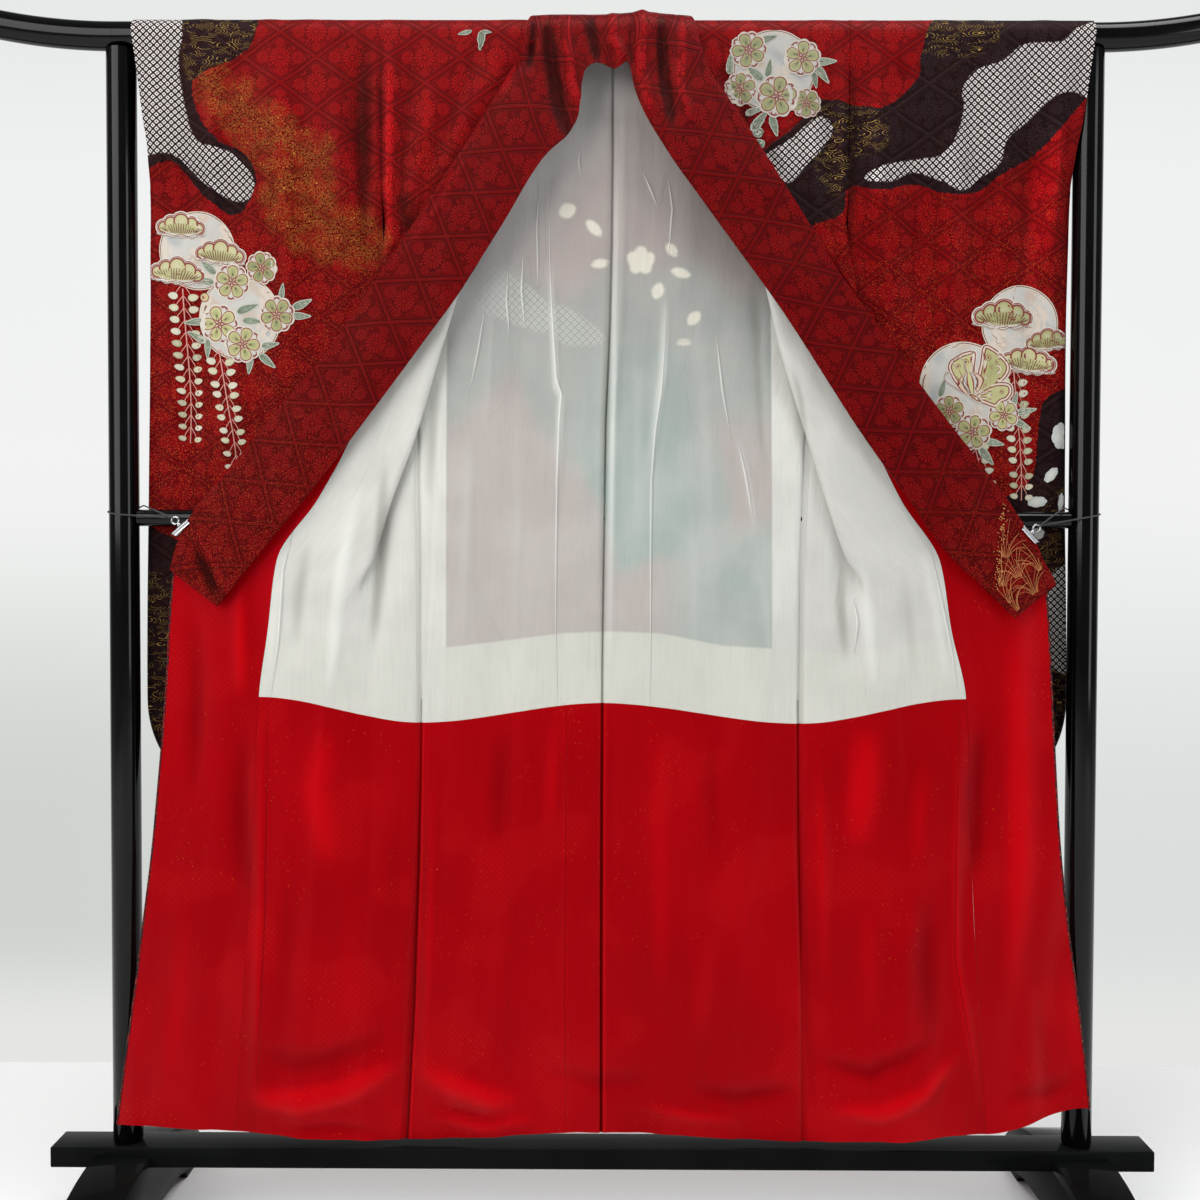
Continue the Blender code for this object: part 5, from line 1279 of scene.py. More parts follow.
class Look:
    """A material and its nodes."""

    def __init__(self, name, roughness=0.5, **sockets):
        self.material = bpy.data.materials.new(name)
        self.material.use_nodes = True
        self.tree = self.material.node_tree
        self.shader = self.tree.nodes["Principled BSDF"]
        self.shader.inputs["Roughness"].default_value = roughness
        for socket, value in sockets.items():
            self.shader.inputs[socket.replace("_", " ")].default_value = value

    def node(self, kind, inputs=(), **settings):
        made = self.tree.nodes.new(kind)
        for name, value in settings.items():
            setattr(made, name, value)
        for key, value in dict(inputs).items():
            self.put(made.inputs[key], value)
        return made

    def put(self, socket, value):
        if isinstance(value, Value):
            self.tree.links.new(value.socket, socket)
        elif hasattr(value, "__len__") and len(value) == 3 and socket.type == "RGBA":
            socket.default_value = (*value, 1.0)
        else:
            socket.default_value = value

    def math(self, operation, *values):
        made = self.node("ShaderNodeMath", operation=operation)
        for socket, value in zip(made.inputs, values):
            self.put(socket, value)
        return Value(self, made.outputs[0])

    def attribute(self, name, output="Fac"):
        return Value(self, self.node("ShaderNodeAttribute", attribute_name=name).outputs[output])

    def place(self):
        return Value(self, self.node("ShaderNodeTexCoord").outputs["Object"])

    def split(self, vector):
        made = self.node("ShaderNodeSeparateXYZ", {0: vector})
        return [Value(self, output) for output in made.outputs]

    def join(self, x=0.0, y=0.0, z=0.0):
        made = self.node("ShaderNodeCombineXYZ", {0: x, 1: y, 2: z})
        return Value(self, made.outputs[0])

    def ramp(self, value, low, high):
        made = self.node("ShaderNodeMapRange", interpolation_type="SMOOTHSTEP")
        flip = low > high
        for key, number in ((0, value), (1, min(low, high)), (2, max(low, high)),
                            (3, 1.0 if flip else 0.0), (4, 0.0 if flip else 1.0)):
            self.put(made.inputs[key], number)
        return Value(self, made.outputs[0])

    def noise(self, vector, scale, detail=2.0, roughness=0.5):
        made = self.node("ShaderNodeTexNoise", {"Vector": vector, "Scale": scale,
                                                "Detail": detail, "Roughness": roughness})
        return Value(self, made.outputs[0])

    def cells(self, vector, scale, feature="F1", output="Distance", randomness=1.0):
        made = self.node("ShaderNodeTexVoronoi", {"Vector": vector, "Scale": scale,
                                                  "Randomness": randomness}, feature=feature)
        return Value(self, made.outputs[output])

    def mix(self, share, first, second):
        made = self.node("ShaderNodeMix", data_type="RGBA")
        self.put(made.inputs[0], share)
        self.put(made.inputs[6], first)
        self.put(made.inputs[7], second)
        return Value(self, made.outputs[2])

    def scale(self, colour, factor):
        made = self.node("ShaderNodeVectorMath", {0: colour, "Scale": factor},
                         operation="SCALE")
        return Value(self, made.outputs[0])

    def set(self, socket, value):
        self.put(self.shader.inputs[socket], value)

    def bump(self, height, depth, strength=1.0):
        """Height runs 0 to 1 over a depth in metres."""
        made = self.node("ShaderNodeBump", {"Strength": strength, "Distance": depth,
                                            "Height": height})
        self.tree.links.new(made.outputs[0], self.shader.inputs["Normal"])


DIAMOND_WIDE, DIAMOND_TALL = 0.102, 0.072


def woven_lattice(look, u, v):
    """The brocade's diamonds: crossed double lines round a flower, with leaves between."""
    a = u / DIAMOND_WIDE + v / DIAMOND_TALL
    b = u / DIAMOND_WIDE - v / DIAMOND_TALL
    gap = 1 / math.hypot(1 / DIAMOND_WIDE, 1 / DIAMOND_TALL)
    near = (a.to_line() * gap).least(b.to_line() * gap)
    band = near.ramp(0.0026, 0.0018)
    rail = near.ramp(0.0019, 0.0026) * near.ramp(0.0043, 0.0035)
    inner_line = near.ramp(0.0040, 0.0045) * near.ramp(0.0058, 0.0052)
    fa, fb = a.part() - 0.5, b.part() - 0.5
    x = (fa + fb) * (DIAMOND_WIDE / 2)
    y = (fa - fb) * (DIAMOND_TALL / 2)
    flower = clear = None
    for at_x, at_y, radius, petals in ((0.0, 0.0, 0.0145, 16.0), (0.0245, 0.0, 0.0085, 12.0),
                                       (-0.0245, 0.0, 0.0085, 12.0),
                                       (0.0, 0.0205, 0.0062, 10.0),
                                       (0.0, -0.0205, 0.0062, 10.0)):
        dx, dy = x - at_x, y - at_y
        r = look.math("SQRT", dx * dx + dy * dy)
        rays = look.math("COSINE", look.math("ARCTAN2", dy, dx) * petals)
        scalloped = r - rays * (radius * 0.05)
        ring = r.ramp(radius * 0.27, radius * 0.34) * scalloped.ramp(radius, radius * 0.94)
        bloom = (ring * rays.ramp(-0.75, -0.25)).most(r.ramp(radius * 0.22, radius * 0.18))
        away = scalloped.ramp(radius * 1.04, radius * 1.12)
        flower = bloom if flower is None else flower.most(bloom)
        clear = away if clear is None else clear * away
    inside = near.ramp(0.0060, 0.0068)
    cloth = look.join(u, v)
    leaf_shape = look.cells(cloth, 135.0)
    leaf_edge = look.cells(cloth, 135.0, feature="DISTANCE_TO_EDGE")
    veins = look.math("SINE", look.noise(cloth, 260.0, 1.0) * 40.0)
    leaves = leaf_edge.ramp(0.06, 0.10) * leaf_shape.ramp(0.62, 0.50) * veins.ramp(-0.6, 0.0)
    figure = (flower * inside).most(leaves * clear * inside)
    return band, rail, inner_line, figure


def shibori_squares(look, u, v, pitch=0.0070):
    """Tied dots: rows of small pale squares on the cross, each with a dark centre."""
    p = (u + v) / (pitch * math.sqrt(2))
    q = (u - v) / (pitch * math.sqrt(2))
    fp, fq = (p.part() - 0.5).size() * pitch, (q.part() - 0.5).size() * pitch
    wobble = look.noise(look.join(u, v), 420.0, 1.0) * 0.0006 - 0.0003
    m = fp.most(fq) + wobble
    return m.ramp(0.37 * pitch, 0.31 * pitch) * m.ramp(0.10 * pitch, 0.17 * pitch)


def brocade_look(name, deep, figure_colour, line_colour, gold=1.0, lattice=1.0,
                 middle=None):
    """Figured silk with dyed clouds; the regions come with the cloth's points."""
    look = Look(name, 0.46, Specular_IOR_Level=0.13, Specular_Tint=(1.0, 0.28, 0.22, 1.0))
    u, v, _ = look.split(look.attribute("cloth", "Vector"))
    cloth = look.join(u, v)
    fold = look.attribute("fold")
    band, rail, inner_line, figure = woven_lattice(look, u, v)
    wave = look.noise(cloth, 26.0, 3.0)
    shade = look.mix(wave.ramp(0.30, 0.70), deep, tuple(c * 1.35 for c in deep))
    colour = look.mix(figure * 0.85, shade, figure_colour)
    colour = look.mix(band * 0.60 * lattice, colour, line_colour)
    colour = look.mix(inner_line * 0.45 * lattice, colour, line_colour)
    colour = look.mix(rail * 0.50 * lattice, colour, tuple(c * 0.40 for c in deep))

    # gold threads: scattered everywhere, close in the haze
    speck = look.cells(cloth, 430.0)
    patchy = look.noise(cloth, 17.0, 3.0)
    low = v.ramp(0.10, 0.55) if middle is None else (v - middle).size().ramp(0.62, 1.02)
    haze = look.attribute("haze")
    haze_edge = haze + (look.noise(cloth, 34.0, 3.0) - 0.5) * 0.060
    in_haze = haze_edge.ramp(-0.014, 0.016)
    few = (speck.ramp(0.30, 0.12) * (patchy + low * 0.20).ramp(0.44, 0.62)
           * (low * 0.70 + 0.20) * gold)
    curl = look.math("SINE", look.cells(cloth, 120.0) * 50.0)
    broken_curl = look.noise(cloth, 340.0, 1.0).ramp(0.40, 0.56)
    uneven = look.noise(cloth, 46.0, 2.0).ramp(0.30, 0.60)
    many = curl.ramp(0.50, 0.98) * broken_curl * in_haze * (uneven * 0.65 + 0.22)
    colour = look.mix(in_haze * 0.22, colour, srgb(72, 20, 10))
    colour = look.mix(few, colour, srgb(206, 88, 44))
    colour = look.mix(many, colour, srgb(204, 142, 60))

    # black clouds, tied dots and gold waves
    ragged = (look.noise(cloth, 140.0, 2.0) - 0.5) * 0.006
    dark = (look.attribute("dark") + ragged).ramp(-0.0008, 0.0008)
    grain = look.noise(cloth, 330.0, 2.0)
    night = look.mix(grain.ramp(0.35, 0.70), srgb(7, 5, 7), srgb(19, 15, 18))
    night = look.mix((figure * 0.40).most(band * 0.34) * lattice, night, srgb(42, 34, 39))
    dots = (look.attribute("dots") + ragged * 0.7).ramp(-0.0012, 0.0012)
    squares = shibori_squares(look, u, v) * dots
    night = look.mix(dots * 0.7, night, srgb(14, 11, 15))
    night = look.mix(squares * 0.95, night, srgb(216, 211, 208))
    flow = look.math("SINE", look.cells(look.join(u, v * 2.6), 34.0) * 46.0)
    broken = look.noise(look.join(u, v * 2.0), 60.0, 2.0)
    waves = look.attribute("waves").ramp(-0.004, 0.006)
    gold_lines = flow.ramp(0.90, 0.995) * broken.ramp(0.46, 0.54) * waves * (1.0 - dots)
    night = look.mix(gold_lines * 0.95, night, srgb(198, 162, 84))
    night = look.mix(speck.ramp(0.20, 0.10) * patchy.ramp(0.5, 0.62) * 0.5 * gold
                     * (1.0 - dots), night, srgb(150, 100, 50))
    colour = look.mix(dark, colour, night)

    # painted shade in the fold troughs, painted highlight on the ridges
    painted_fold_shade = fold.ramp(0.10, 1.0) * 0.85 - fold.ramp(-0.05, -1.0) * 0.76 + 1.0
    colour = look.scale(colour, painted_fold_shade)

    look.set("Base Color", colour)
    glint = few.most(many).most(gold_lines * dark)
    satin = figure * 0.14 + band * 0.12
    look.set("Roughness", 0.52 - satin * (1.0 - dark) - glint * 0.16 + dots * 0.14)
    weave_u = look.math("SINE", u * 6000.0)
    weave_v = look.math("SINE", v * 5200.0)
    relief = (figure * 0.5 + band * 0.5 - rail * 0.5 + glint * 0.6 + squares * 1.6
              + weave_u * weave_v * 0.10)
    look.bump(relief, 0.00035, 0.9)
    return look.material


def white_look(name):
    """Thin white lining: the dyed cloth behind it shows through as faint tints, with painted shade
    towards the neck as well; folds, pressed lines and seams carry painted shade and painted
    highlight, and painted light lifts the shade beside the left collar band.
    """
    look = Look(name, 0.42, Specular_IOR_Level=0.34)
    u, v, _ = look.split(look.attribute("cloth", "Vector"))
    cloth = look.join(u, v)
    veil, cool, deep, opaque, ghost, squares, tuck, fold, seam, painted_light_near_collar = (
        look.attribute(name) for name in ("veil", "cool", "deep", "opaque", "ghost",
                                          "squares", "tuck", "fold", "seam", "painted_light_near_collar"))
    veil, opaque = veil.ramp(-1.2, 1.2), opaque.ramp(-1.6, 1.6)
    cloudy = look.noise(cloth, 11.0, 2.0)
    plain = look.mix(cloudy.ramp(0.3, 0.7), srgb(203, 203, 197), srgb(212, 212, 206))
    warm = look.mix(cloudy.ramp(0.35, 0.65), srgb(182, 173, 169), srgb(188, 180, 176))
    green = look.mix(cloudy.ramp(0.35, 0.65), srgb(162, 176, 170), srgb(174, 184, 178))
    through = look.mix(cool, warm, green)
    # darker towards the neck: partly the dark outer cloth seen through, partly painted shade
    through = look.mix(deep * 0.9, through, srgb(124, 114, 112))
    # painted light that lifts the collar's shadow beside the left collar band
    through = look.mix(painted_light_near_collar * 0.85, through, srgb(222, 222, 220))
    grid = shibori_squares(look, u, v, 0.0080)
    through = look.mix(squares.ramp(-0.004, 0.004) * grid * 0.45, through, srgb(202, 206, 200))
    through = look.mix(ghost.ramp(-0.0030, 0.0026) * 0.85, through, srgb(212, 208, 194))
    colour = look.mix(veil, plain, through)
    solid = look.mix(cloudy.ramp(0.3, 0.7), srgb(199, 201, 190), srgb(206, 207, 197))
    colour = look.mix(opaque * (0.55 + veil * 0.40), colour, solid)
    fine = look.noise(look.join(u * 14.0, v), 16.0, 3.0)
    colour = look.mix(fine.ramp(0.45, 0.75) * 0.10, colour, srgb(150, 152, 148))
    # painted shade in the fold troughs and painted highlight on the ridges
    colour = look.mix(fold.ramp(-0.08, -1.0) * 0.60, colour, srgb(128, 126, 116))
    colour = look.mix(fold.ramp(0.08, 0.9) * 0.45, colour, srgb(236, 237, 231))
    # painted highlight along the pressed lines and painted shade beside them
    line = tuck.size()
    colour = look.mix(line.ramp(0.0016, 0.0004) * 0.42, colour, srgb(244, 244, 240))
    beside = (tuck - 0.0028).size()
    colour = look.mix(beside.ramp(0.0026, 0.0004) * 0.30, colour, srgb(112, 114, 110))
    # painted shade along the seams
    sewn = seam.size()
    colour = look.mix(sewn.ramp(0.0034, 0.0006) * 0.62, colour, srgb(84, 84, 80))
    look.set("Base Color", colour)
    thread = look.math("SINE", u * 5200.0) * look.math("SINE", v * 4200.0)
    slub = look.noise(look.join(u * 8.0, v), 120.0, 3.0)
    look.set("Roughness", slub.ramp(0.2, 0.8) * 0.10 + 0.36)
    crumple = look.noise(look.join(u * 3.0, v * 0.7), 30.0, 2.0)
    look.bump(thread * 0.04 + slub * 0.18 + line.ramp(0.0024, 0.0) * 0.8 + crumple * 1.2
              - sewn.ramp(0.0030, 0.0) * 0.7, 0.0009, 0.8)
    return look.material


def red_look(name, bright, deep, flecks=1.0):
    """Red satin: a smooth sheen, a fine weave and a few tiny gold flecks."""
    look = Look(name, 0.40, Specular_IOR_Level=0.85, Specular_Tint=(1.0, 0.015, 0.045, 1.0))
    u, v, _ = look.split(look.attribute("cloth", "Vector"))
    cloth = look.join(u, v)
    cloudy = look.noise(cloth, 3.5, 1.0)
    colour = look.mix(cloudy.ramp(0.25, 0.75), deep, bright)
    warp = look.noise(look.join(u * 30.0, v), 12.0, 2.0)
    colour = look.mix(warp.ramp(0.40, 0.75) * 0.14, colour, tuple(c * 0.55 for c in deep))
    patch = look.noise(cloth, 7.0, 1.0).ramp(0.54, 0.62)
    grid = shibori_squares(look, u, v, 0.0065)
    colour = look.mix(patch * grid * 0.20, colour, srgb(205, 30, 24))
    speck = look.cells(cloth, 130.0)
    drift = look.noise(cloth, 11.0, 2.0)
    fleck = speck.ramp(0.110, 0.060) * drift.ramp(0.50, 0.60)
    colour = look.mix(fleck * 0.75 * flecks, colour, srgb(214, 96, 34))
    slub = look.noise(look.join(u * 6.0, v * 0.7), 90.0, 3.0)
    look.set("Roughness", slub.ramp(0.2, 0.8) * 0.08 + 0.30)
    thread = look.math("SINE", u * 5600.0) * look.math("SINE", v * 4600.0)
    if flecks > 0:
        fold = look.attribute("fold")
        # painted shade in the fold troughs and painted highlight on the ridges
        colour = look.mix(fold.ramp(-0.05, -1.0) * 0.50, colour, tuple(c * 0.30 for c in deep))
        colour = look.mix(fold.ramp(0.05, 1.0) * 0.60, colour, srgb(206, 6, 14))
        seam, tuck = look.attribute("seam"), look.attribute("tuck")
        line, press = seam.size(), tuck.size()
        # painted shade along the seams and a painted highlight beside them
        colour = look.mix(line.ramp(0.0026, 0.0008) * 0.80, colour, tuple(c * 0.16 for c in deep))
        colour = look.mix((seam - 0.0052).size().ramp(0.0030, 0.0006) * 0.30, colour,
                          srgb(206, 10, 18))
        # painted shade along the pressed lines
        colour = look.mix(press.ramp(0.0016, 0.0004) * 0.50, colour,
                          tuple(c * 0.35 for c in deep))
        relief = (thread * 0.03 + slub * 0.10 - line.ramp(0.0036, 0.0)
                  - press.ramp(0.0024, 0.0) * 0.4)
        relief = relief + (seam - 0.0045).size().ramp(0.0045, 0.0) * 0.7
        look.bump(relief, 0.0014, 0.9)
    else:
        look.bump(thread * 0.08 + slub * 0.45, 0.00020, 0.8)
    look.set("Base Color", colour)
    return look.material


def lacquer_look(name, level=0.26, low=srgb(3, 3, 4), high=srgb(7, 7, 8)):
    look = Look(name, 0.10, Specular_IOR_Level=level)
    place = look.place()
    smear = look.noise(place, 9.0, 3.0)
    dust = look.noise(place, 900.0, 1.0)
    colour = look.mix(smear.ramp(0.3, 0.7), low, high)
    look.set("Base Color", look.mix(dust.ramp(0.70, 0.78) * 0.06, colour, srgb(60, 60, 62)))
    look.set("Roughness", smear.ramp(0.2, 0.8) * 0.05 + dust.ramp(0.62, 0.8) * 0.05 + 0.09)
    look.bump(smear, 0.0006, 0.25)
    return look.material


def chrome_look(name):
    look = Look(name, 0.18, Metallic=1.0)
    place = look.place()
    brushed = look.noise(place, 1400.0, 2.0)
    look.set("Base Color", look.mix(brushed.ramp(0.3, 0.7), srgb(150, 151, 154),
                                    srgb(206, 207, 210)))
    look.set("Roughness", brushed.ramp(0.2, 0.8) * 0.14 + 0.14)
    look.bump(brushed, 0.00010, 0.3)
    return look.material


def elastic_look(name):
    look = Look(name, 0.7, Sheen_Weight=0.3)
    x, y, z = look.split(look.place())
    braid = (look.math("SINE", (x + z) * 4200.0) * look.math("SINE", (x - z + y) * 4200.0))
    look.set("Base Color", look.mix(braid.ramp(-0.6, 0.6), srgb(14, 14, 20), srgb(40, 40, 52)))
    look.set("Roughness", braid.ramp(-1.0, 1.0) * 0.15 + 0.60)
    look.bump(braid, 0.00025, 0.8)
    return look.material


def paint_look(name):
    """Embroidery and painted silk: each point carries its own colour."""
    look = Look(name, 0.48, Specular_IOR_Level=0.45, Sheen_Weight=0.10)
    colour = look.attribute("paint", "Color")
    place = look.place()
    x, y, z = look.split(place)
    stitch = look.math("SINE", (x * 0.8 + z * 1.2) * 5200.0)
    fray = look.noise(place, 700.0, 2.0)
    look.set("Base Color", look.mix((stitch.ramp(-0.4, 0.9) * fray.ramp(0.25, 0.7)) * 0.16,
                                    colour, srgb(120, 60, 42)))
    look.set("Roughness", stitch.ramp(-1.0, 1.0) * 0.12 + 0.40)
    look.bump(stitch * 0.4 + fray * 0.6, 0.00025, 0.8)
    return look.material


def piping_look(name):
    look = Look(name, 0.6, Specular_IOR_Level=0.1)
    place = look.place()
    spot_shape = look.cells(place, 420.0)
    tone = look.noise(place, 160.0, 2.0)
    colour = look.mix(tone.ramp(0.42, 0.58), srgb(112, 14, 20), srgb(40, 26, 34))
    look.set("Base Color", look.mix(spot_shape.ramp(0.28, 0.16) * 0.55, colour,
                                    srgb(206, 168, 128)))
    look.set("Roughness", tone.ramp(0.2, 0.8) * 0.1 + 0.45)
    look.bump(spot_shape, 0.0003, 0.6)
    return look.material


def floor_look(name):
    look = Look(name, 0.9, Specular_IOR_Level=0.1)
    x, y, _ = look.split(look.place())
    cloudy = look.noise(look.join(x, y), 0.7, 1.0)
    look.set("Base Color", look.mix(cloudy.ramp(0.3, 0.7), srgb(240, 240, 240),
                                    srgb(247, 247, 247)))
    look.set("Roughness", cloudy.ramp(0.2, 0.8) * 0.1 + 0.85)
    return look.material


def backdrop_look(name):
    """A pale backdrop that glows, darker low down as painted shade; sizes as seen a step behind
    the stand.
    """
    look = Look(name, 0.9, Specular_IOR_Level=0.0, Emission_Strength=1.0)
    x, _, z = look.split(look.place())
    nearer = (1.05 - CAMERA_PLACE[1]) / (BACKDROP_PLACE - CAMERA_PLACE[1])
    x = x * nearer
    z = (z - float(CAMERA_PLACE[2])) * nearer + float(CAMERA_PLACE[2])
    cloudy = look.noise(look.join(x, z), 0.7, 1.0)
    colour = look.mix(cloudy.ramp(0.3, 0.7), srgb(239, 241, 240), srgb(242, 243, 242))
    # painted shade: darker low down, at the lower left and towards the top; lighter again at the
    # foot, to meet the floor
    colour = look.mix(z.ramp(1.25, 0.30), colour, srgb(218, 222, 220))
    colour = look.mix(x.ramp(-0.3, -1.3) * z.ramp(1.1, 0.4) * 0.7, colour, srgb(203, 205, 200))
    colour = look.mix(z.ramp(1.8, 2.3) * 0.5, colour, srgb(222, 224, 222))
    colour = look.mix(z.ramp(0.15, -0.12), colour, srgb(229, 230, 228))
    look.set("Base Color", (0.0, 0.0, 0.0))
    look.set("Emission Color", colour)
    return look.material


BACK_LEVEL = -0.004
FRONT_LEVEL = -0.026


def pixel_lines(*lines, depth=BACK_LEVEL):
    return [spots(line, depth) for line in lines]


BACK_TUCKS = pixel_lines(
    [(551, 176), (549, 215), (549, 250), (551, 300), (554, 350), (556, 380), (561, 394),
     (559, 420), (557, 480), (556, 560), (556, 630), (558, 702)],
    [(668, 290), (665, 340), (661, 392), (655, 430), (651, 480), (650, 560), (650, 704)],
    [(523, 244), (521, 290), (525, 330)], [(508, 262), (506, 300), (510, 340)],
    [(538, 178), (536, 225), (538, 292)], [(669, 172), (673, 205), (669, 252)],
    [(643, 166), (651, 186), (659, 206)], [(580, 140), (578, 158), (581, 176)],
    [(716, 330), (722, 392), (730, 438)], [(486, 300), (478, 350), (470, 392)],
    [(737, 440), (744, 475), (752, 520)],
    [(567, 706), (566, 860), (565, 1000), (566, 1130)])
BACK_SEAMS = pixel_lines(
    [(613, 60), (613, 160), (612, 240), (610, 320), (606, 420), (604, 560), (602.5, 660),
     (601.5, 800), (601, 1000), (601, 1150)],
    [(422, 700), (419, 860), (414, 1000), (407, 1150)],
    [(797, 700), (800, 860), (806, 1000), (814, 1150)])
FRONT_TUCKS = pixel_lines(
    [(855, 598), (858, 622), (855, 655)],
    [(297, 522), (284, 570), (279, 640), (272, 694)],
    [(930, 550), (940, 600), (950, 650), (957, 690)],
    [(268, 712), (266, 900), (262, 1000), (257, 1098)],
    [(958, 716), (955, 860), (955, 960), (985, 1133)], depth=FRONT_LEVEL)
NO_SEAM = 9.0
OPAQUE_EDGE = np.array([(250, 624), (330, 636), (420, 650), (500, 641), (560, 633), (610, 631),
                        (660, 633), (720, 645), (800, 650), (850, 655), (890, 650), (940, 639)])
# Darker towards the neck, by pixel row: partly the dark outer cloth seen through, partly painted
# shade.
NECK_SHOW_THROUGH_AND_SHADE = np.array([(60, 0.20), (100, 0.30), (140, 0.50), (180, 0.62), (240, 0.62),
                      (300, 0.52), (400, 0.34), (470, 0.18), (540, 0.05)])


def lining_attributes(body, layer):
    """Where the outer cloth shows through the white lining, with painted shade towards the neck
    and painted light beside the left collar band, and its pressed lines.
    """
    x, z = body.points[:, 0], body.points[:, 2]
    back = layer == "back"
    px, py = seen(x, z, BACK_LEVEL if back else FRONT_LEVEL)
    wave = 5 * np.sin(px * 0.031) + 3 * np.sin(px * 0.073 + 1.0)
    opaque = py - np.interp(px, *OPAQUE_EDGE.T)
    if back:
        veil = np.minimum(px - 447, 771 - px)
        cool = (smoothstep(py + 0.4 * wave, 338, 350)
                * (0.35 + 0.65 * smoothstep(px + 2 * wave, 520, 585))
                * (1 - 0.7 * smoothstep(py + 2 * wave, 560, 620)))
        cool = cool * (1 - 0.5 * smoothstep(px + 3 * wave, 690, 735)
                       * (1 - smoothstep(py, 560, 590)))
        # darker towards the neck: partly the dark outer cloth seen through, partly painted shade
        deep = np.interp(py, *NECK_SHOW_THROUGH_AND_SHADE.T)
        # painted light beside the left collar band, where the collar's shadow falls; the painted
        # shade towards the neck is taken away there
        painted_light_near_collar = ((1 - smoothstep(px - (605 - 0.66 * (py - 60)), -30, 75))
                  * (1 - smoothstep(py, 300, 380)))
        deep = deep * (1 - painted_light_near_collar)
        drift = 12 * np.sin(py * 0.021) + 7 * np.sin(px * 0.05)
        pink = ((1 - smoothstep(px + drift - 0.35 * (py - 480), 560, 585))
                * smoothstep(py + 0.9 * (px - 470), 390, 425)
                + smoothstep(px + drift, 700, 722) * (1 - smoothstep(py + drift, 505, 530))
                * smoothstep(py, 400, 440)
                + smoothstep(py + 0.35 * (px - 600) + drift, 560, 590)
                * (1 - smoothstep(px, 650, 700)))
        cool = np.maximum(cool, 0.75 * smoothstep(py + 3 * wave, 250, 300))
        cool = cool * (1 - 0.85 * np.clip(pink, 0, 1))
        ghost = np.full(len(x), -1.0)
        for outline in BACK_SEEN["ghosts"]:
            ghost = np.maximum(ghost, inside_by(outline, x, z))
        squares = np.full(len(x), -1.0)
        for outline in BACK_SEEN["squares"]:
            squares = np.maximum(squares, inside_by(outline, x, z))
    else:
        # the right front panel is painted darker than the left, as painted shade
        veil = np.where(x < 0, -0.72, -0.30)
        cool, deep, painted_light_near_collar = 0.3 + 0 * x, 0 * x, 0 * x
        ghost = squares = np.full(len(x), -1.0)
    return [("veil", veil), ("cool", cool), ("deep", deep), ("opaque", opaque),
            ("painted_light_near_collar", painted_light_near_collar),
            ("ghost", ghost), ("squares", squares), fold_painted_shade(BODY_RIDGES, x, z, 0.0045),
            ("tuck", line_distance(BACK_TUCKS if back else FRONT_TUCKS, x, z, 0.9)),
            ("seam", line_distance(BACK_SEAMS, x, z) if back else NO_SEAM + 0 * x)]


def petal_outline(centre, length, width, angle):
    """A soft leaf-shaped outline."""
    t = np.linspace(0, 2 * np.pi, 20, endpoint=False)
    x = np.cos(t) * length / 2
    y = np.sin(t) * width / 2 * (1 - 0.25 * np.cos(t) ** 2)
    c, s = math.cos(angle), math.sin(angle)
    return np.stack([centre[0] + x * c - y * s, centre[1] + x * s + y * c], -1)


def star_outline(centre, radius, turn=0.3, petals=5):
    t = np.linspace(0, 2 * np.pi, 60, endpoint=False)
    r = radius * (0.66 + 0.34 * np.abs(np.cos(petals * (t - turn) / 2)) ** 0.6)
    return np.stack([centre[0] + r * np.cos(t), centre[1] + r * np.sin(t)], -1)


BACK_SEEN = {
    "ghosts": [
        star_outline(spot(641, 259, BACK_LEVEL), 0.021),
        petal_outline(spot(672, 248, BACK_LEVEL), 0.024, 0.014, -0.9),
        petal_outline(spot(681, 272, BACK_LEVEL), 0.030, 0.014, -0.3),
        petal_outline(spot(658, 290, BACK_LEVEL), 0.024, 0.018, 1.2),
        petal_outline(spot(694, 318, BACK_LEVEL), 0.024, 0.017, 0.8),
        petal_outline(spot(684, 342, BACK_LEVEL), 0.026, 0.009, 0.0),
        petal_outline(spot(567, 208, BACK_LEVEL), 0.026, 0.022, 0.4),
        petal_outline(spot(594, 226, BACK_LEVEL), 0.032, 0.015, -0.8),
        petal_outline(spot(600, 262, BACK_LEVEL), 0.028, 0.013, 0.1),
    ],
    "squares": [
        closed_curve(spots([(486, 262), (545, 300), (546, 332), (500, 318), (470, 300)],
                           BACK_LEVEL)),
        closed_curve(spots([(556, 303), (600, 330), (600, 344), (560, 342)], BACK_LEVEL)),
    ],
}


# ---------------------------------------------------------------- stand

def tube(name, path, radii, look, sides=48, capped=True):
    """A round bar through places, one radius at each."""
    path = np.array(path, float)
    steps = np.gradient(path, axis=0)
    steps /= np.linalg.norm(steps, axis=1, keepdims=True)
    guide = np.array((0.0, 1.0, 0.0)) if abs(steps[0][1]) < 0.9 else np.array((1.0, 0, 0))
    rings = []
    for place, step, radius in zip(path, steps, radii):
        first = np.cross(step, guide)
        first /= np.linalg.norm(first)
        second = np.cross(step, first)
        turn = 2 * np.pi * np.arange(sides) / sides
        rings.append(place + radius * (np.cos(turn)[:, None] * first
                                       + np.sin(turn)[:, None] * second))
    count = len(path)
    points = np.concatenate(rings)
    index = grid_index(count, sides)
    index = np.concatenate([index, index[:, :1]], axis=1)
    made = add_mesh(name, points, cells_of(index), [look])
    if capped:
        shape = bmesh.new()
        shape.from_mesh(made.data)
        bmesh.ops.holes_fill(shape, edges=[e for e in shape.edges if e.is_boundary], sides=0)
        bmesh.ops.recalc_face_normals(shape, faces=shape.faces)
        shape.to_mesh(made.data)
        shape.free()
        made.data.shade_smooth()
        made.data.set_sharp_from_angle(angle=math.radians(50))
    return made


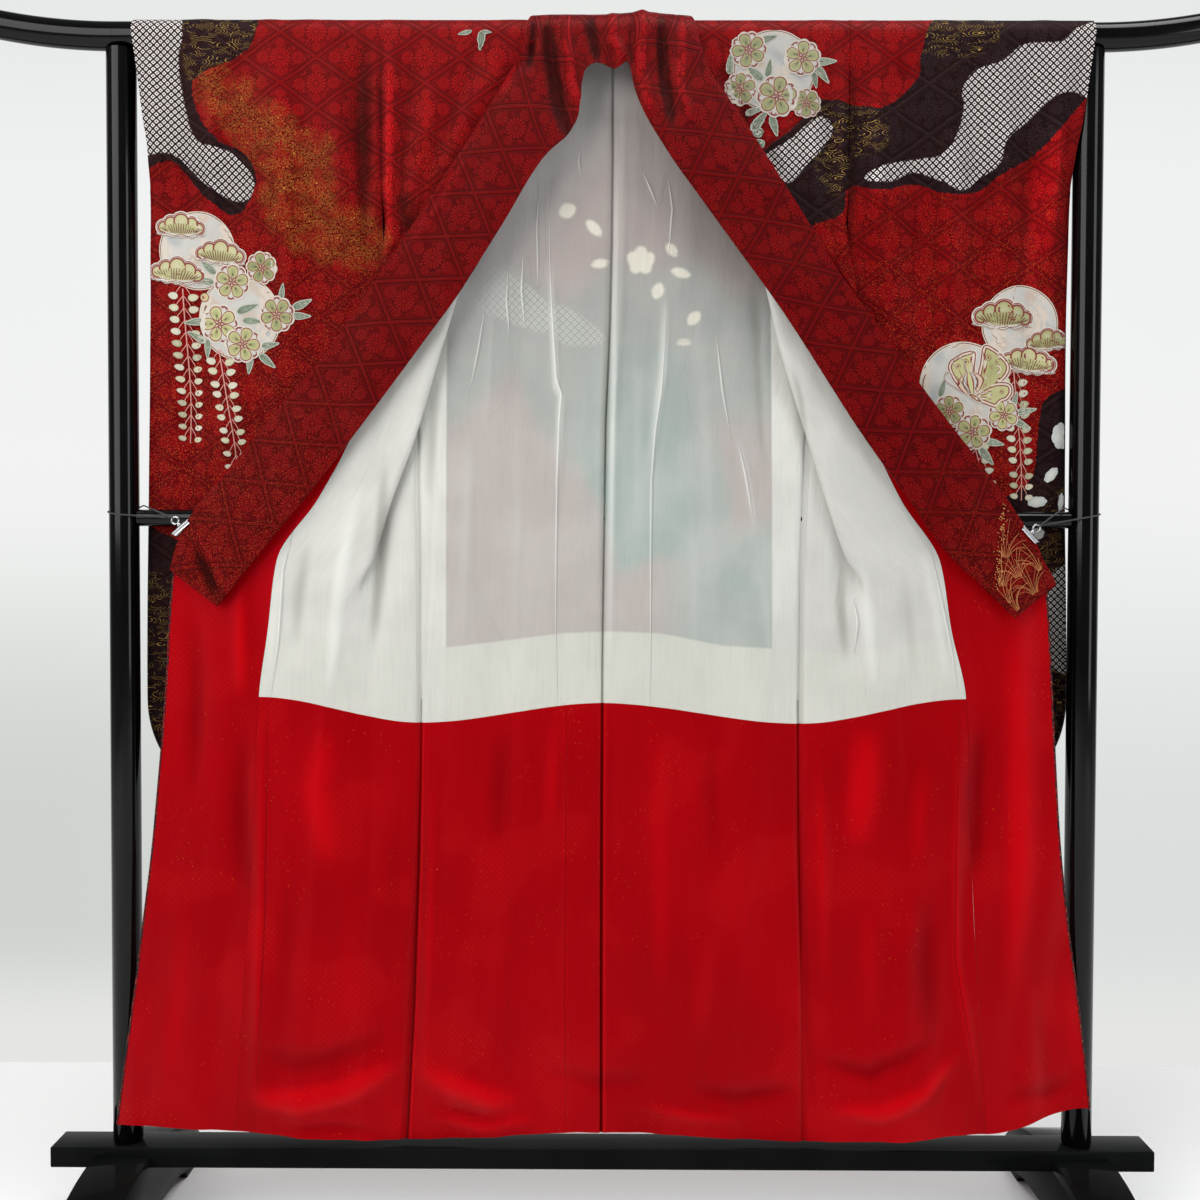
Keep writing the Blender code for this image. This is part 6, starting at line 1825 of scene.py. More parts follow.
def rail_height(x):
    beyond = np.maximum(np.abs(x) - RAIL_FLAT_HALF, 0.0) / (RAIL_HALF_LENGTH - RAIL_FLAT_HALF)
    return RAIL_HEIGHT + RAIL_TIP_RISE * beyond ** 2


def add_rail(look):
    end = RAIL_HALF_LENGTH - RAIL_END_ROUND
    x = np.linspace(RAIL_FLAT_HALF + SEAM_GAP, end, 24)
    turn = np.linspace(0, np.pi / 2, 9)[1:]
    x = np.concatenate([x, end + RAIL_END_ROUND * np.sin(turn)])
    radii = np.concatenate([np.full(24, RAIL_RADIUS),
                            RAIL_RADIUS - RAIL_END_ROUND * (1 - np.cos(turn))])
    for side, sign in (("left", -1), ("right", 1)):
        path = np.stack([sign * x, 0 * x, rail_height(x)], -1)
        tip = tube("rail_tip_" + side, path, radii, look)
        carry(tip, ["stand_rail_tip_" + side], "lacquer")
    x = np.array([-RAIL_FLAT_HALF, 0.0, RAIL_FLAT_HALF])
    bar = tube("rail", np.stack([x, 0 * x, RAIL_HEIGHT + 0 * x], -1), [RAIL_RADIUS] * 3, look)
    carry(bar, ["stand_top_rail"], "lacquer")


def carry(piece, nodes, slot):
    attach(piece, "root")
    if nodes:
        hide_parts(*nodes)


def add_posts(look):
    for side, sign in (("left", -1), ("right", 1)):
        z = np.array([BEAM_TOP + SEAM_GAP, BEAM_TOP + 0.004, 0.9,
                      RAIL_HEIGHT - RAIL_RADIUS - 0.001])
        radii = [POST_RADIUS - 0.0015, POST_RADIUS, POST_RADIUS, POST_RADIUS]
        post = tube("post_" + side, np.stack([sign * POST_X + 0 * z, 0 * z, z], -1), radii, look,
                    sides=64)
        carry(post, ["stand_post_" + side], "lacquer")
    reach = POST_X - POST_RADIUS - SEAM_GAP
    x = np.array([-reach, 0.0, reach])
    bar = tube("mid_bar", np.stack([x, 0 * x, MID_RAIL_HEIGHT + 0 * x], -1),
               [MID_RAIL_RADIUS] * 3, look)
    carry(bar, ["stand_mid_rail"], "lacquer")


def bevelled(name, shape, look, width):
    mesh = bpy.data.meshes.new(name)
    bmesh.ops.bevel(shape, geom=shape.edges[:], offset=width, segments=3, profile=0.5,
                    affect="EDGES", clamp_overlap=True)
    bmesh.ops.recalc_face_normals(shape, faces=shape.faces)
    shape.to_mesh(mesh)
    shape.free()
    mesh.materials.append(look)
    mesh.shade_smooth()
    mesh.set_sharp_from_angle(angle=math.radians(35))
    made = bpy.data.objects.new(name, mesh)
    bpy.context.scene.collection.objects.link(made)
    return made


def add_beam_and_feet(look):
    shape = bmesh.new()
    bmesh.ops.create_cube(shape, size=1.0)
    bmesh.ops.scale(shape, verts=shape.verts, vec=(BEAM_LENGTH, BEAM_DEPTH, BEAM_HEIGHT))
    bmesh.ops.translate(shape, verts=shape.verts, vec=(0, 0, BEAM_TOP - BEAM_HEIGHT / 2))
    carry(bevelled("beam", shape, look, 0.0018), ["stand_beam"], "lacquer")

    slot_half = BEAM_DEPTH / 2 + SEAM_GAP
    arch_end = FOOT_PAD_START - 0.030
    sole = [(0.0, FOOT_ARCH), (arch_end, FOOT_ARCH), (FOOT_PAD_START - 0.008, FOOT_ARCH * 0.6),
            (FOOT_PAD_START, 0.0), (FOOT_HALF_LENGTH - 0.006, 0.0), (FOOT_HALF_LENGTH, 0.006),
            (FOOT_HALF_LENGTH - 0.004, 0.028)]
    back = [(0.211, 0.028), (0.196, 0.046), (0.177, 0.062), (0.150, 0.079), (0.119, 0.092),
            (0.095, 0.099), (0.072, 0.1035), (0.050, 0.1065), (slot_half, 0.108)]
    back = np.array(back)
    chords = np.concatenate([[0], np.cumsum(np.linalg.norm(np.diff(back, axis=0), axis=1))])
    fine = np.linspace(0, chords[-1], 40)[1:]
    curve = [(float(curve_through(chords, back[:, 0], np.array([f]))[0]),
              float(curve_through(chords, back[:, 1], np.array([f]))[0])) for f in fine]
    half = sole[1:] + curve + [(slot_half, BEAM_TOP - BEAM_HEIGHT - SEAM_GAP)]
    outline = half + [(-y, z) for y, z in reversed(half)]
    for side, sign in (("left", -1), ("right", 1)):
        shape = bmesh.new()
        near_x = sign * POST_X - FOOT_WIDTH / 2
        face = shape.faces.new([shape.verts.new((near_x, y, z)) for y, z in outline])
        grown = bmesh.ops.extrude_face_region(shape, geom=[face])
        moved = [item for item in grown["geom"] if isinstance(item, bmesh.types.BMVert)]
        bmesh.ops.translate(shape, verts=moved, vec=(FOOT_WIDTH, 0, 0))
        mesh = bpy.data.meshes.new("foot_" + side)
        bmesh.ops.recalc_face_normals(shape, faces=shape.faces)
        edges = [e for e in shape.edges if e.calc_face_angle(0) > 1.0]
        bmesh.ops.bevel(shape, geom=edges, offset=0.0015, segments=2, profile=0.5,
                        affect="EDGES", clamp_overlap=True)
        bmesh.ops.recalc_face_normals(shape, faces=shape.faces)
        shape.to_mesh(mesh)
        shape.free()
        mesh.materials.append(look)
        mesh.shade_smooth()
        mesh.set_sharp_from_angle(angle=math.radians(35))
        foot = bpy.data.objects.new("foot_" + side, mesh)
        bpy.context.scene.collection.objects.link(foot)
        carry(foot, ["stand_foot_" + side], "lacquer")


# ---------------------------------------------------------------- clips and cords

def clip_frame(clip):
    """Along the gripped edge and away from the cloth, in the plane of the garment."""
    sign = -1 if clip.side == "left" else 1
    along = Vector((1, 0, clip.slope)).normalized()
    away = Vector((-along.z, 0, along.x))
    if away.x * sign < 0:
        away = -away
    return Vector((clip.x, CLIP_GRIP_DEPTH, clip.height)), along, away


def add_clip(clip, look):
    """Two sprung jaws, one spine and a wire ring through it."""
    centre, along, away = clip_frame(clip)
    depth = Vector((0, 1, 0))
    shape = bmesh.new()
    steps = 14
    spine = CLIP_SPINE_HALF
    section = [(-SHOWN_JAW - 0.0006, CLIP_GRIP_HALF + 0.0012), (-SHOWN_JAW, CLIP_GRIP_HALF),
               (-SHOWN_JAW * 0.4, CLIP_GRIP_HALF + 0.0006),
               (SHOWN_SPINE - spine * 0.6, CLIP_SPINE_HALF)]
    for k in range(1, steps):
        angle = math.pi / 2 - math.pi * k / steps
        section.append((SHOWN_SPINE - spine * 0.6 + spine * math.cos(angle) * 0.58,
                        spine * math.sin(angle)))
    section += [(a, -d) for a, d in reversed(section[:4])]
    rows = 12
    grid = []
    for r in range(rows + 1):
        t = r / rows - 0.5
        row = []
        for a, d in section:
            narrow = 1 - 0.12 * smoothstep(abs(t), 0.40, 0.50) * (a < 0)
            row.append(shape.verts.new(centre + along * CLIP_LENGTH * t * narrow
                                       + away * a + depth * d))
        grid.append(row)
    for first, second in zip(grid, grid[1:]):
        for k in range(len(section) - 1):
            shape.faces.new((first[k], first[k + 1], second[k + 1], second[k]))
    bmesh.ops.recalc_face_normals(shape, faces=shape.faces)
    mesh = bpy.data.meshes.new("clip_" + clip.side)
    shape.to_mesh(mesh)
    shape.free()
    mesh.materials.append(look)
    mesh.shade_smooth()
    made = bpy.data.objects.new("steel_clip_" + clip.side, mesh)
    bpy.context.scene.collection.objects.link(made)
    thick = made.modifiers.new("wall", "SOLIDIFY")
    thick.thickness = CLIP_WALL * 0.8
    thick.offset = -1
    carry(made, ["clip_" + clip.side], "chrome")

    # a short lever joins the bar to its ring
    stub = [centre + away * a for a in (SHOWN_SPINE - 0.001, SHOWN_SPINE + 0.001,
                                        CLIP_SPINE - 0.0024, CLIP_SPINE)]
    lever = tube("clip_lever_" + clip.side, stub, [0.0022, 0.0034, 0.0030, 0.0016], look,
                 sides=20)
    lever.parent = made

    middle = centre + away * (CLIP_SPINE + RING_RADIUS - RING_OVERLAP)
    turn = np.linspace(0, 2 * np.pi, 49)
    path = np.array([middle + (away * math.cos(a) + along * math.sin(a)) * RING_RADIUS
                     for a in turn])
    ring = tube("clip_ring_" + clip.side, path, [0.0015] * 49, look, sides=14, capped=False)
    ring.parent = made


def cord_route(clip, lift, spread):
    """An elastic loop through the clip's ring and round the post above the mid rail."""
    centre, _, away = clip_frame(clip)
    sign = -1 if clip.side == "left" else 1
    ring = centre + away * (CLIP_SPINE + RING_RADIUS - RING_OVERLAP)
    radius = POST_RADIUS + CORD_RADIUS + CORD_POST_GAP
    over = MID_RAIL_HEIGHT + MID_RAIL_RADIUS + CORD_RADIUS + 0.003 + lift
    front_height = MID_RAIL_HEIGHT + 0.004 + lift * 0.6
    route = []
    for k in range(29):
        t = k / 28
        angle = math.radians(-85 + 255 * t)
        height = front_height + (over - front_height) * min(1.0, 1.4 * t)
        route.append((sign * (POST_X + radius * math.cos(angle)), radius * math.sin(angle),
                      height))
    route.append((sign * (POST_X - 0.034), -0.016, over + 0.001))
    last = Vector(route[-1])
    bend = ring + away * (RING_RADIUS + 0.0002)
    route += [tuple(last.lerp(bend, 0.33)), tuple(last.lerp(bend, 0.66))]
    for k in range(9):
        angle = math.pi * (0.5 - k / 8)
        route.append(tuple(bend - away * CORD_RING_BEND * math.cos(angle)
                           - Vector((0, 1, 0)) * CORD_RING_BEND * spread * math.sin(angle)))
    route.append(route[0])
    return route


def add_cord(clip, look):
    route = cord_route(clip, 0.0, 1.0)
    made = tube("elastic_" + clip.side, route, [CORD_RADIUS] * len(route), look, sides=12,
                capped=False)
    carry(made, ["clip_cord_" + clip.side], "elastic")


# ---------------------------------------------------------------- embroidery

CREAM = srgb(224, 213, 194)
SNOW = srgb(222, 216, 204)
PALE_YELLOW = srgb(206, 203, 146)
OLIVE = srgb(132, 140, 78)
DEEP_GREEN = srgb(84, 104, 78)
LEAF_GREEN = srgb(120, 146, 120)
LINE_RED = srgb(134, 44, 38)
LINE_BROWN = srgb(112, 62, 46)
STEM_PINK = srgb(222, 150, 138)
GREY_BLUE = srgb(170, 180, 180)
RUST = srgb(206, 160, 122)
WASHED = srgb(204, 202, 196)


def blend(first, second, share):
    return tuple(a + (b - a) * share for a, b in zip(first, second))


class Canvas:
    """Flat shapes in their places (x, z), gathered to lie on a cloth's outer face."""

    def __init__(self, brightness=1.0):
        self.flat, self.levels, self.colours, self.faces = [], [], [], []
        self.count = 0
        self.brightness = brightness

    def add(self, points, level, colours, faces):
        self.flat.append(np.asarray(points, float))
        self.levels.append(np.full(len(points), level))
        self.colours.append(np.asarray(colours, float).reshape(-1, 3) * self.brightness)
        self.faces += [[k + self.count for k in face] for face in faces]
        self.count += len(points)

    def patch(self, outline, level, rim, heart=None, centre=None, rings=(1.0, 0.62, 0.28)):
        """A filled outline, shaded from its rim to its heart."""
        outline = np.asarray(outline)
        heart = rim if heart is None else heart
        middle = outline.mean(axis=0) if centre is None else np.asarray(centre)
        n = len(outline)
        points, colours, faces = [], [], []
        for ring in rings:
            points.append(middle + (outline - middle) * ring)
            colours += [blend(heart, rim, ring)] * n
        points.append(middle[None])
        colours.append(heart)
        for r in range(len(rings) - 1):
            for k in range(n):
                m = (k + 1) % n
                faces.append([r * n + k, r * n + m, (r + 1) * n + m, (r + 1) * n + k])
        last = (len(rings) - 1) * n
        faces += [[last + k, last + (k + 1) % n, len(rings) * n] for k in range(n)]
        self.add(np.concatenate(points), level, colours, faces)

    def edged(self, outline, level, edge, width, rim, heart=None, centre=None):
        """A filled outline with a line of another colour round it."""
        self.patch(self.grown(outline, width), level, edge, centre=centre, rings=(1.0, 0.6))
        self.patch(outline, level + LAYER, rim, heart, centre)

    @staticmethod
    def grown(outline, width):
        """An outline set outward by a width, or inward by a negative one."""
        outline = np.asarray(outline)
        after, before = np.roll(outline, -1, 0), np.roll(outline, 1, 0)
        run = after - before
        out = np.stack([run[:, 1], -run[:, 0]], -1)
        out /= np.maximum(np.linalg.norm(out, axis=1, keepdims=True), 1e-9)
        area = np.sum(outline[:, 0] * after[:, 1] - after[:, 0] * outline[:, 1])
        return outline + out * width * (1 if area > 0 else -1)

    def line(self, path, level, width, colour, taper=0.0):
        path = np.asarray(path, float)
        run = np.gradient(path, axis=0)
        side = np.stack([-run[:, 1], run[:, 0]], -1)
        side /= np.maximum(np.linalg.norm(side, axis=1, keepdims=True), 1e-9)
        size = width / 2 * (1 - taper * np.linspace(0, 1, len(path)))[:, None]
        points = np.concatenate([path + side * size, path - side * size])
        n = len(path)
        faces = [[k, k + 1, n + k + 1, n + k] for k in range(n - 1)]
        self.add(points, level, [colour] * (2 * n), faces)

    def lay(self, name, surface, look):
        """Map every shape to the cloth and make one object of them."""
        flat = np.concatenate(self.flat)
        levels = np.concatenate(self.levels)
        place, normal = surface(flat[:, 0], flat[:, 1])
        points = place + normal * (OUTER_FACE + FIRST_LEVEL + levels)[:, None]
        mesh = bpy.data.meshes.new(name)
        mesh.from_pydata(points.tolist(), [], self.faces)
        colours = np.concatenate(self.colours)
        made = mesh.attributes.new("paint", "FLOAT_COLOR", "POINT")
        made.data.foreach_set("color", np.concatenate(
            [colours, np.ones((len(colours), 1))], 1).astype(np.float32).ravel())
        mesh.materials.append(look)
        mesh.shade_smooth()
        thing = bpy.data.objects.new(name, mesh)
        bpy.context.scene.collection.objects.link(thing)
        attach(thing, "root")
        return thing


LAYER = 0.00003
FIRST_LEVEL = 0.00030


def turned(points, centre, turn):
    points = np.asarray(points, float)
    c, s = math.cos(turn), math.sin(turn)
    return np.stack([centre[0] + points[:, 0] * c - points[:, 1] * s,
                     centre[1] + points[:, 0] * s + points[:, 1] * c], -1)


def oval(length, width, point=0.0, count=22):
    """An oval along x; point sharpens its far end."""
    t = np.linspace(0, 2 * np.pi, count, endpoint=False)
    x = np.cos(t) * length / 2
    y = np.sin(t) * width / 2 * (1 - point * (0.5 + 0.5 * np.cos(t)) ** 1.5)
    return np.stack([x, y], -1)


def scallop(radius, lobes, depth, turn=0.0, count=80):
    t = np.linspace(0, 2 * np.pi, count, endpoint=False)
    r = radius * (1 - depth + depth * np.abs(np.cos(lobes * (t - turn) / 2)) ** 0.7)
    return np.stack([r * np.cos(t), r * np.sin(t)], -1)


def add_blossom(canvas, centre, radius, turn, tone=0.3, level=0.0006):
    """Five petals in a scalloped round, each with a dark eye and stamens."""
    rim = blend(SNOW, RUST, 0.25 * tone)
    for share, colour, k in ((1.0, rim, 0), (0.925, LINE_RED, 1),
                             (0.865, blend(CREAM, GREY_BLUE, 0.25 + 0.3 * tone), 2)):
        canvas.patch(turned(scallop(radius * share, 10, 0.12, turn), centre, 0),
                     level + k * LAYER, colour, centre=centre)
    light = blend(PALE_YELLOW, OLIVE, 0.85 * tone)
    dark = blend(OLIVE, DEEP_GREEN, tone)
    for k in range(5):
        angle = turn + 2 * math.pi * k / 5
        between = angle + math.pi / 5
        small = (centre[0] + 0.70 * radius * math.cos(between),
                 centre[1] + 0.70 * radius * math.sin(between))
        canvas.edged(turned(oval(radius * 0.27, radius * 0.22), small, between),
                     level + 3 * LAYER, LINE_RED, radius * 0.050, blend(SNOW, GREY_BLUE, 0.3))
        middle = (centre[0] + 0.51 * radius * math.cos(angle),
                  centre[1] + 0.51 * radius * math.sin(angle))
        petal = oval(radius * 0.66, radius * 0.54)
        petal[:, 1] *= 0.70 + 0.50 * (petal[:, 0] / (radius * 0.66) + 0.5)
        for grow, colour, layer in ((1.30, rim, 5), (1.17, LINE_RED, 6)):
            canvas.patch(turned(petal * grow, middle, angle), level + layer * LAYER, colour)
        canvas.patch(turned(petal, middle, angle), level + 7 * LAYER, light,
                     blend(light, dark, 0.65))
        eye = (centre[0] + 0.40 * radius * math.cos(angle),
               centre[1] + 0.40 * radius * math.sin(angle))
        canvas.patch(turned(oval(radius * 0.20, radius * 0.13), eye, angle), level + 8 * LAYER,
                     dark, LINE_BROWN)
        for lean in (-0.22, 0.22):
            tip = (centre[0] + 0.30 * radius * math.cos(angle + lean),
                   centre[1] + 0.30 * radius * math.sin(angle + lean))
            canvas.line([centre, tip], level + 9 * LAYER, radius * 0.050, LINE_RED, 0.4)
    canvas.patch(turned(oval(radius * 0.16, radius * 0.16), centre, 0), level + 10 * LAYER,
                 LINE_RED, blend(LINE_RED, PALE_YELLOW, 0.5))


def add_leaf(canvas, centre, length, turn, tone=0.4, level=0.0005, edge=None):
    shape = oval(length, length * 0.40, 0.85)
    shape[:, 0] -= 0.0
    canvas.edged(turned(shape, centre, turn), level, edge or blend(SNOW, LEAF_GREEN, 0.35),
                 length * 0.050, blend(LEAF_GREEN, DEEP_GREEN, tone),
                 blend(SNOW, LEAF_GREEN, 0.45 + 0.4 * tone))
    half = length * 0.46
    rib = turned([(-half, 0.0), (0.0, length * 0.02), (half, 0.0)], centre, turn)
    canvas.line(rib, level + 3 * LAYER, length * 0.045, blend(DEEP_GREEN, LINE_BROWN, 0.3), 0.6)
    for k in (-0.25, 0.0, 0.25):
        for side in (-1, 1):
            vein = turned([(k * length, 0.0), (k * length + 0.12 * length,
                                              side * 0.11 * length)], centre, turn)
            canvas.line(vein, level + 3 * LAYER, length * 0.020, DEEP_GREEN, 0.7)


def add_medallion(canvas, centre, radius, seed, level=0.0):
    """A pale round with a double rim and soft washes of colour."""
    t = np.linspace(0, 2 * np.pi, 72, endpoint=False)
    circle = np.stack([np.cos(t), np.sin(t)], -1)
    for share, colour, k in ((1.0, blend(SNOW, RUST, 0.2), 0), (0.975, LINE_BROWN, 1),
                             (0.955, blend(SNOW, RUST, 0.2), 2)):
        canvas.patch(np.array(centre) + circle * radius * share, level + k * LAYER, colour,
                     centre=centre, rings=(1.0, 0.8, 0.6, 0.4, 0.2))
    rings = np.linspace(0.93, 0.07, 13)
    points, colours = [], []
    for ring in rings:
        place = np.array(centre) + circle * radius * ring
        points.append(place)
        x, z = place[:, 0] * 60 + seed, place[:, 1] * 60 - seed
        wash = 0.5 + 0.5 * np.sin(x * 1.3 + 1.7 * np.sin(z * 0.9)) * np.cos(z * 1.1 + np.sin(x))
        warm = smoothstep(wash, 0.72, 0.98)
        cool = smoothstep(1 - wash, 0.70, 0.98)
        for w, c in zip(warm, cool):
            colour = blend(WASHED, RUST, 0.40 * w)
            colours.append(blend(colour, srgb(158, 168, 170), 0.50 * c))
    points.append(np.array(centre)[None])
    colours.append(WASHED)
    n, faces = len(t), []
    for r in range(len(rings) - 1):
        faces += [[r * n + k, r * n + (k + 1) % n, (r + 1) * n + (k + 1) % n, (r + 1) * n + k]
                  for k in range(n)]
    last = (len(rings) - 1) * n
    faces += [[last + k, last + (k + 1) % n, len(rings) * n] for k in range(n)]
    canvas.add(np.concatenate(points), level + 3 * LAYER, colours, faces)


def add_pine(canvas, centre, width, turn, tone=0.3, level=0.0005):
    """A pine bough: a cloud of outlined lobes over a stitched foot and a twig."""
    lobes = ((-0.385, 0.030, 0.115), (0.385, 0.030, 0.115), (-0.225, 0.115, 0.135),
             (0.225, 0.115, 0.135), (0.0, 0.165, 0.155))
    light = blend(PALE_YELLOW, OLIVE, 0.9 * tone)
    circle = oval(2.0, 2.0, count=26)

    def disc(x, z, r, colour, layer, heart=None, flat=1.0):
        shape = circle * r * np.array((1.0, flat)) + np.array((x, z))
        canvas.patch(turned(shape * width, centre, turn), level + layer * LAYER, colour, heart)

    for grow, colour, layer in ((0.062, SNOW, 0), (0.040, LINE_RED, 1), (0.022, SNOW, 2)):
        for x, z, r in lobes:
            disc(x, z, r + grow, colour, layer)
        disc(0.0, 0.0, 0.42 + grow, colour, layer, flat=0.30 + grow)
    for n, (x, z, r) in enumerate(lobes):
        disc(x, z, r + 0.014, LINE_RED, 3 + 2 * n)
        disc(x, z, r - 0.020, light, 4 + 2 * n, blend(light, SNOW, 0.35))
    deep = blend(light, OLIVE, 0.55)
    disc(0.0, 0.005, 0.41, light, 14, deep, flat=0.27)
    for k in range(17):
        share = k / 8.0 - 1.0
        root = (share * 0.32, -0.095 + 0.045 * share ** 2)
        tip = (share * 0.46, 0.125 - 0.105 * share ** 2)
        canvas.line(turned(np.array([root, tip]) * width, centre, turn), level + 15 * LAYER,
                    0.026 * width, LINE_BROWN, 0.4)
    t = np.linspace(-1, 1, 26)
    for drop, colour, size in ((0.130, SNOW, 0.030), (0.130, LINE_BROWN, 0.013),
                               (0.175, SNOW, 0.024), (0.175, LINE_BROWN, 0.011)):
        twig = np.stack([t * (0.54 if drop < 0.15 else 0.38),
                         -drop + 0.018 * np.sin(t * 11 + drop * 60) + 0.03 * t ** 2], -1)
        canvas.line(turned(twig * width, centre, turn), level + (1.5 + (size < 0.02)) * LAYER,
                    size * width, colour)


def add_raceme(canvas, top, bottom, pitch, petal, tone=0.1, level=0.0004, sway=0.006,
               reach=0.014, dim=()):
    """Hanging wisteria: petals in pairs down a stem, smaller towards the tip."""
    top, bottom = np.array(top), np.array(bottom)
    length = np.linalg.norm(bottom - top)
    count = int(length / pitch)
    t = np.linspace(0, 1, 40)
    stem = top + (bottom - top) * t[:, None]
    stem[:, 0] += sway * np.sin(t * 3.0) * t
    canvas.line(stem, level, 0.0016, STEM_PINK, 0.3)
    canvas.line(stem + np.array((0.0010, 0.0)), level + LAYER, 0.0006, LINE_RED, 0.3)
    for k in range(count):
        share = (k + 0.6) / count
        at = stem[min(int(share * 39), 39)]
        size = petal * (1.0 - 0.28 * share)
        for side in (-1, 1):
            wide = reach * (1.0 - 0.22 * share)
            end = at + np.array((side * wide, -0.004 - 0.002 * (side > 0)))
            start = at + np.array((side * 0.0005, 0.0125))
            twig = np.array([start, start * 0.5 + end * 0.5 + np.array((side * 0.001, -0.002)),
                             end + np.array((-side * size * 0.35, size * 0.3))])
            canvas.line(twig, level, 0.0011, STEM_PINK, 0.2)
            wave = 0.5 + 0.5 * math.sin(k * 2.1 + side)
            fill = blend(SNOW, PALE_YELLOW, 0.25 + 0.5 * wave)
            fill = blend(fill, OLIVE, min(0.9, tone + (0.5 if (k, side) in dim else 0.0)))
            shape = oval(size * 1.12, size * 0.86, 0.35)
            canvas.edged(turned(shape, end, side * 0.25 if side > 0 else math.pi - 0.25),
                         level + 2 * LAYER, blend(LINE_RED, SNOW, 0.35), size * 0.05, fill,
                         blend(fill, SNOW, 0.5))


# Half outlines of a butterfly's wings in its own frame, the body at the origin.
UPPER_WING = ((0.02, 0.02), (0.20, 0.30), (0.42, 0.66), (0.60, 0.98), (0.78, 0.86), (0.90, 0.66),
              (0.98, 0.42), (0.90, 0.24), (0.66, 0.10), (0.34, 0.00))
LOWER_WING = ((0.02, 0.00), (0.26, 0.14), (0.52, 0.20), (0.76, 0.16), (0.80, 0.02), (0.70, -0.10),
              (0.56, -0.14), (0.44, -0.22), (0.28, -0.16))


def add_butterfly(canvas, body, size, turn, level=0.0007):
    """Two upper wings, a lower one, feelers and a short striped body."""
    def wing(half, angle, length, wide, tone, spots_at, mirror=1, k=0):
        corners = np.array(half) * np.array((length, wide))
        outline = closed_curve(corners, 7) * np.array((1, mirror))
        outline = turned(outline * size, body, turn + angle)
        middle = outline.mean(axis=0)
        fill = blend(PALE_YELLOW, OLIVE, tone)
        for grow, colour, layer in ((0.055, SNOW, 0), (0.030, LINE_RED, 1), (0.002, CREAM, 2),
                                    (-0.038, LINE_RED, 3)):
            canvas.patch(canvas.grown(outline, grow * size), level + (k + layer) * LAYER, colour,
                         centre=middle)
        canvas.patch(canvas.grown(outline, -0.066 * size), level + (k + 4) * LAYER,
                     blend(fill, PALE_YELLOW, 0.5), fill, centre=middle)
        for x, y, r in spots_at:
            at = turned(np.array([(x * length, y * wide * mirror)]) * size, body,
                        turn + angle)[0]
            for share, colour, layer in ((1.0, LINE_RED, 5), (0.74, PALE_YELLOW, 6),
                                         (0.42, LINE_BROWN, 7)):
                round_spot = oval(2 * r * share * size, 2 * r * share * size, count=16)
                canvas.patch(turned(round_spot, at, 0), level + (k + layer) * LAYER, colour)
        for x, y in ((0.52, 0.74), (0.66, 0.56), (0.70, 0.38), (0.64, 0.20)):
            if half is LOWER_WING:
                x, y = x * 0.9, y * 0.24
            tip = turned(np.array([(x * length, y * wide * mirror)]) * size, body,
                         turn + angle)[0]
            canvas.line([body, tip], level + (k + 8) * LAYER, 0.020 * size, LINE_BROWN, 0.5)

    wing(UPPER_WING, 0.35, 1.02, 1.02, 0.62, ((0.60, 0.72, 0.070), (0.76, 0.56, 0.055),
                                             (0.60, 0.50, 0.045)))
    wing(UPPER_WING, 2.55, 0.92, 0.86, 0.14, ((0.66, 0.66, 0.070), (0.76, 0.44, 0.060)),
         mirror=-1, k=1)
    wing(LOWER_WING, 0.10, 1.10, 1.25, 0.30, ((0.60, 0.04, 0.050),), k=2)
    stripes = ((0.36, LINE_RED), (0.32, blend(CREAM, RUST, 0.4)), (0.22, LINE_BROWN),
               (0.18, WASHED), (0.10, LINE_RED), (0.06, PALE_YELLOW))
    for n, (share, colour) in enumerate(stripes):
        fan = closed_curve(np.array([(0.0, 0.0), (0.36, share), (0.60, share * 0.62),
                                     (0.68, 0.0), (0.60, -share * 0.62), (0.36, -share)]), 5)
        fan = turned(fan * size * 0.86, body, turn + 1.78)
        canvas.patch(fan, level + (11 + n) * LAYER, colour)
    trunk = turned(oval(0.34 * size, 0.10 * size), np.array(body) + size * np.array((0.05, -0.02)),
                   turn - 0.55)
    canvas.edged(trunk, level + 17 * LAYER, SNOW, 0.014 * size, LINE_BROWN, RUST)
    for angle, length, way in ((1.75, 1.35, 1), (2.75, 1.15, -1)):
        t = np.linspace(0, 1, 36)
        curl = angle + way * (0.35 * t + 5.2 * np.maximum(t - 0.62, 0) ** 1.3 * 2.6)
        steps = np.stack([np.cos(curl), np.sin(curl)], -1) * length * size / 36
        feeler = np.array(body) + np.cumsum(steps, axis=0)
        canvas.line(turned(feeler - np.array(body), body, turn), level + 10 * LAYER,
                    0.034 * size, SNOW)
        canvas.line(turned(feeler - np.array(body), body, turn), level + 11 * LAYER,
                    0.014 * size, LINE_RED)


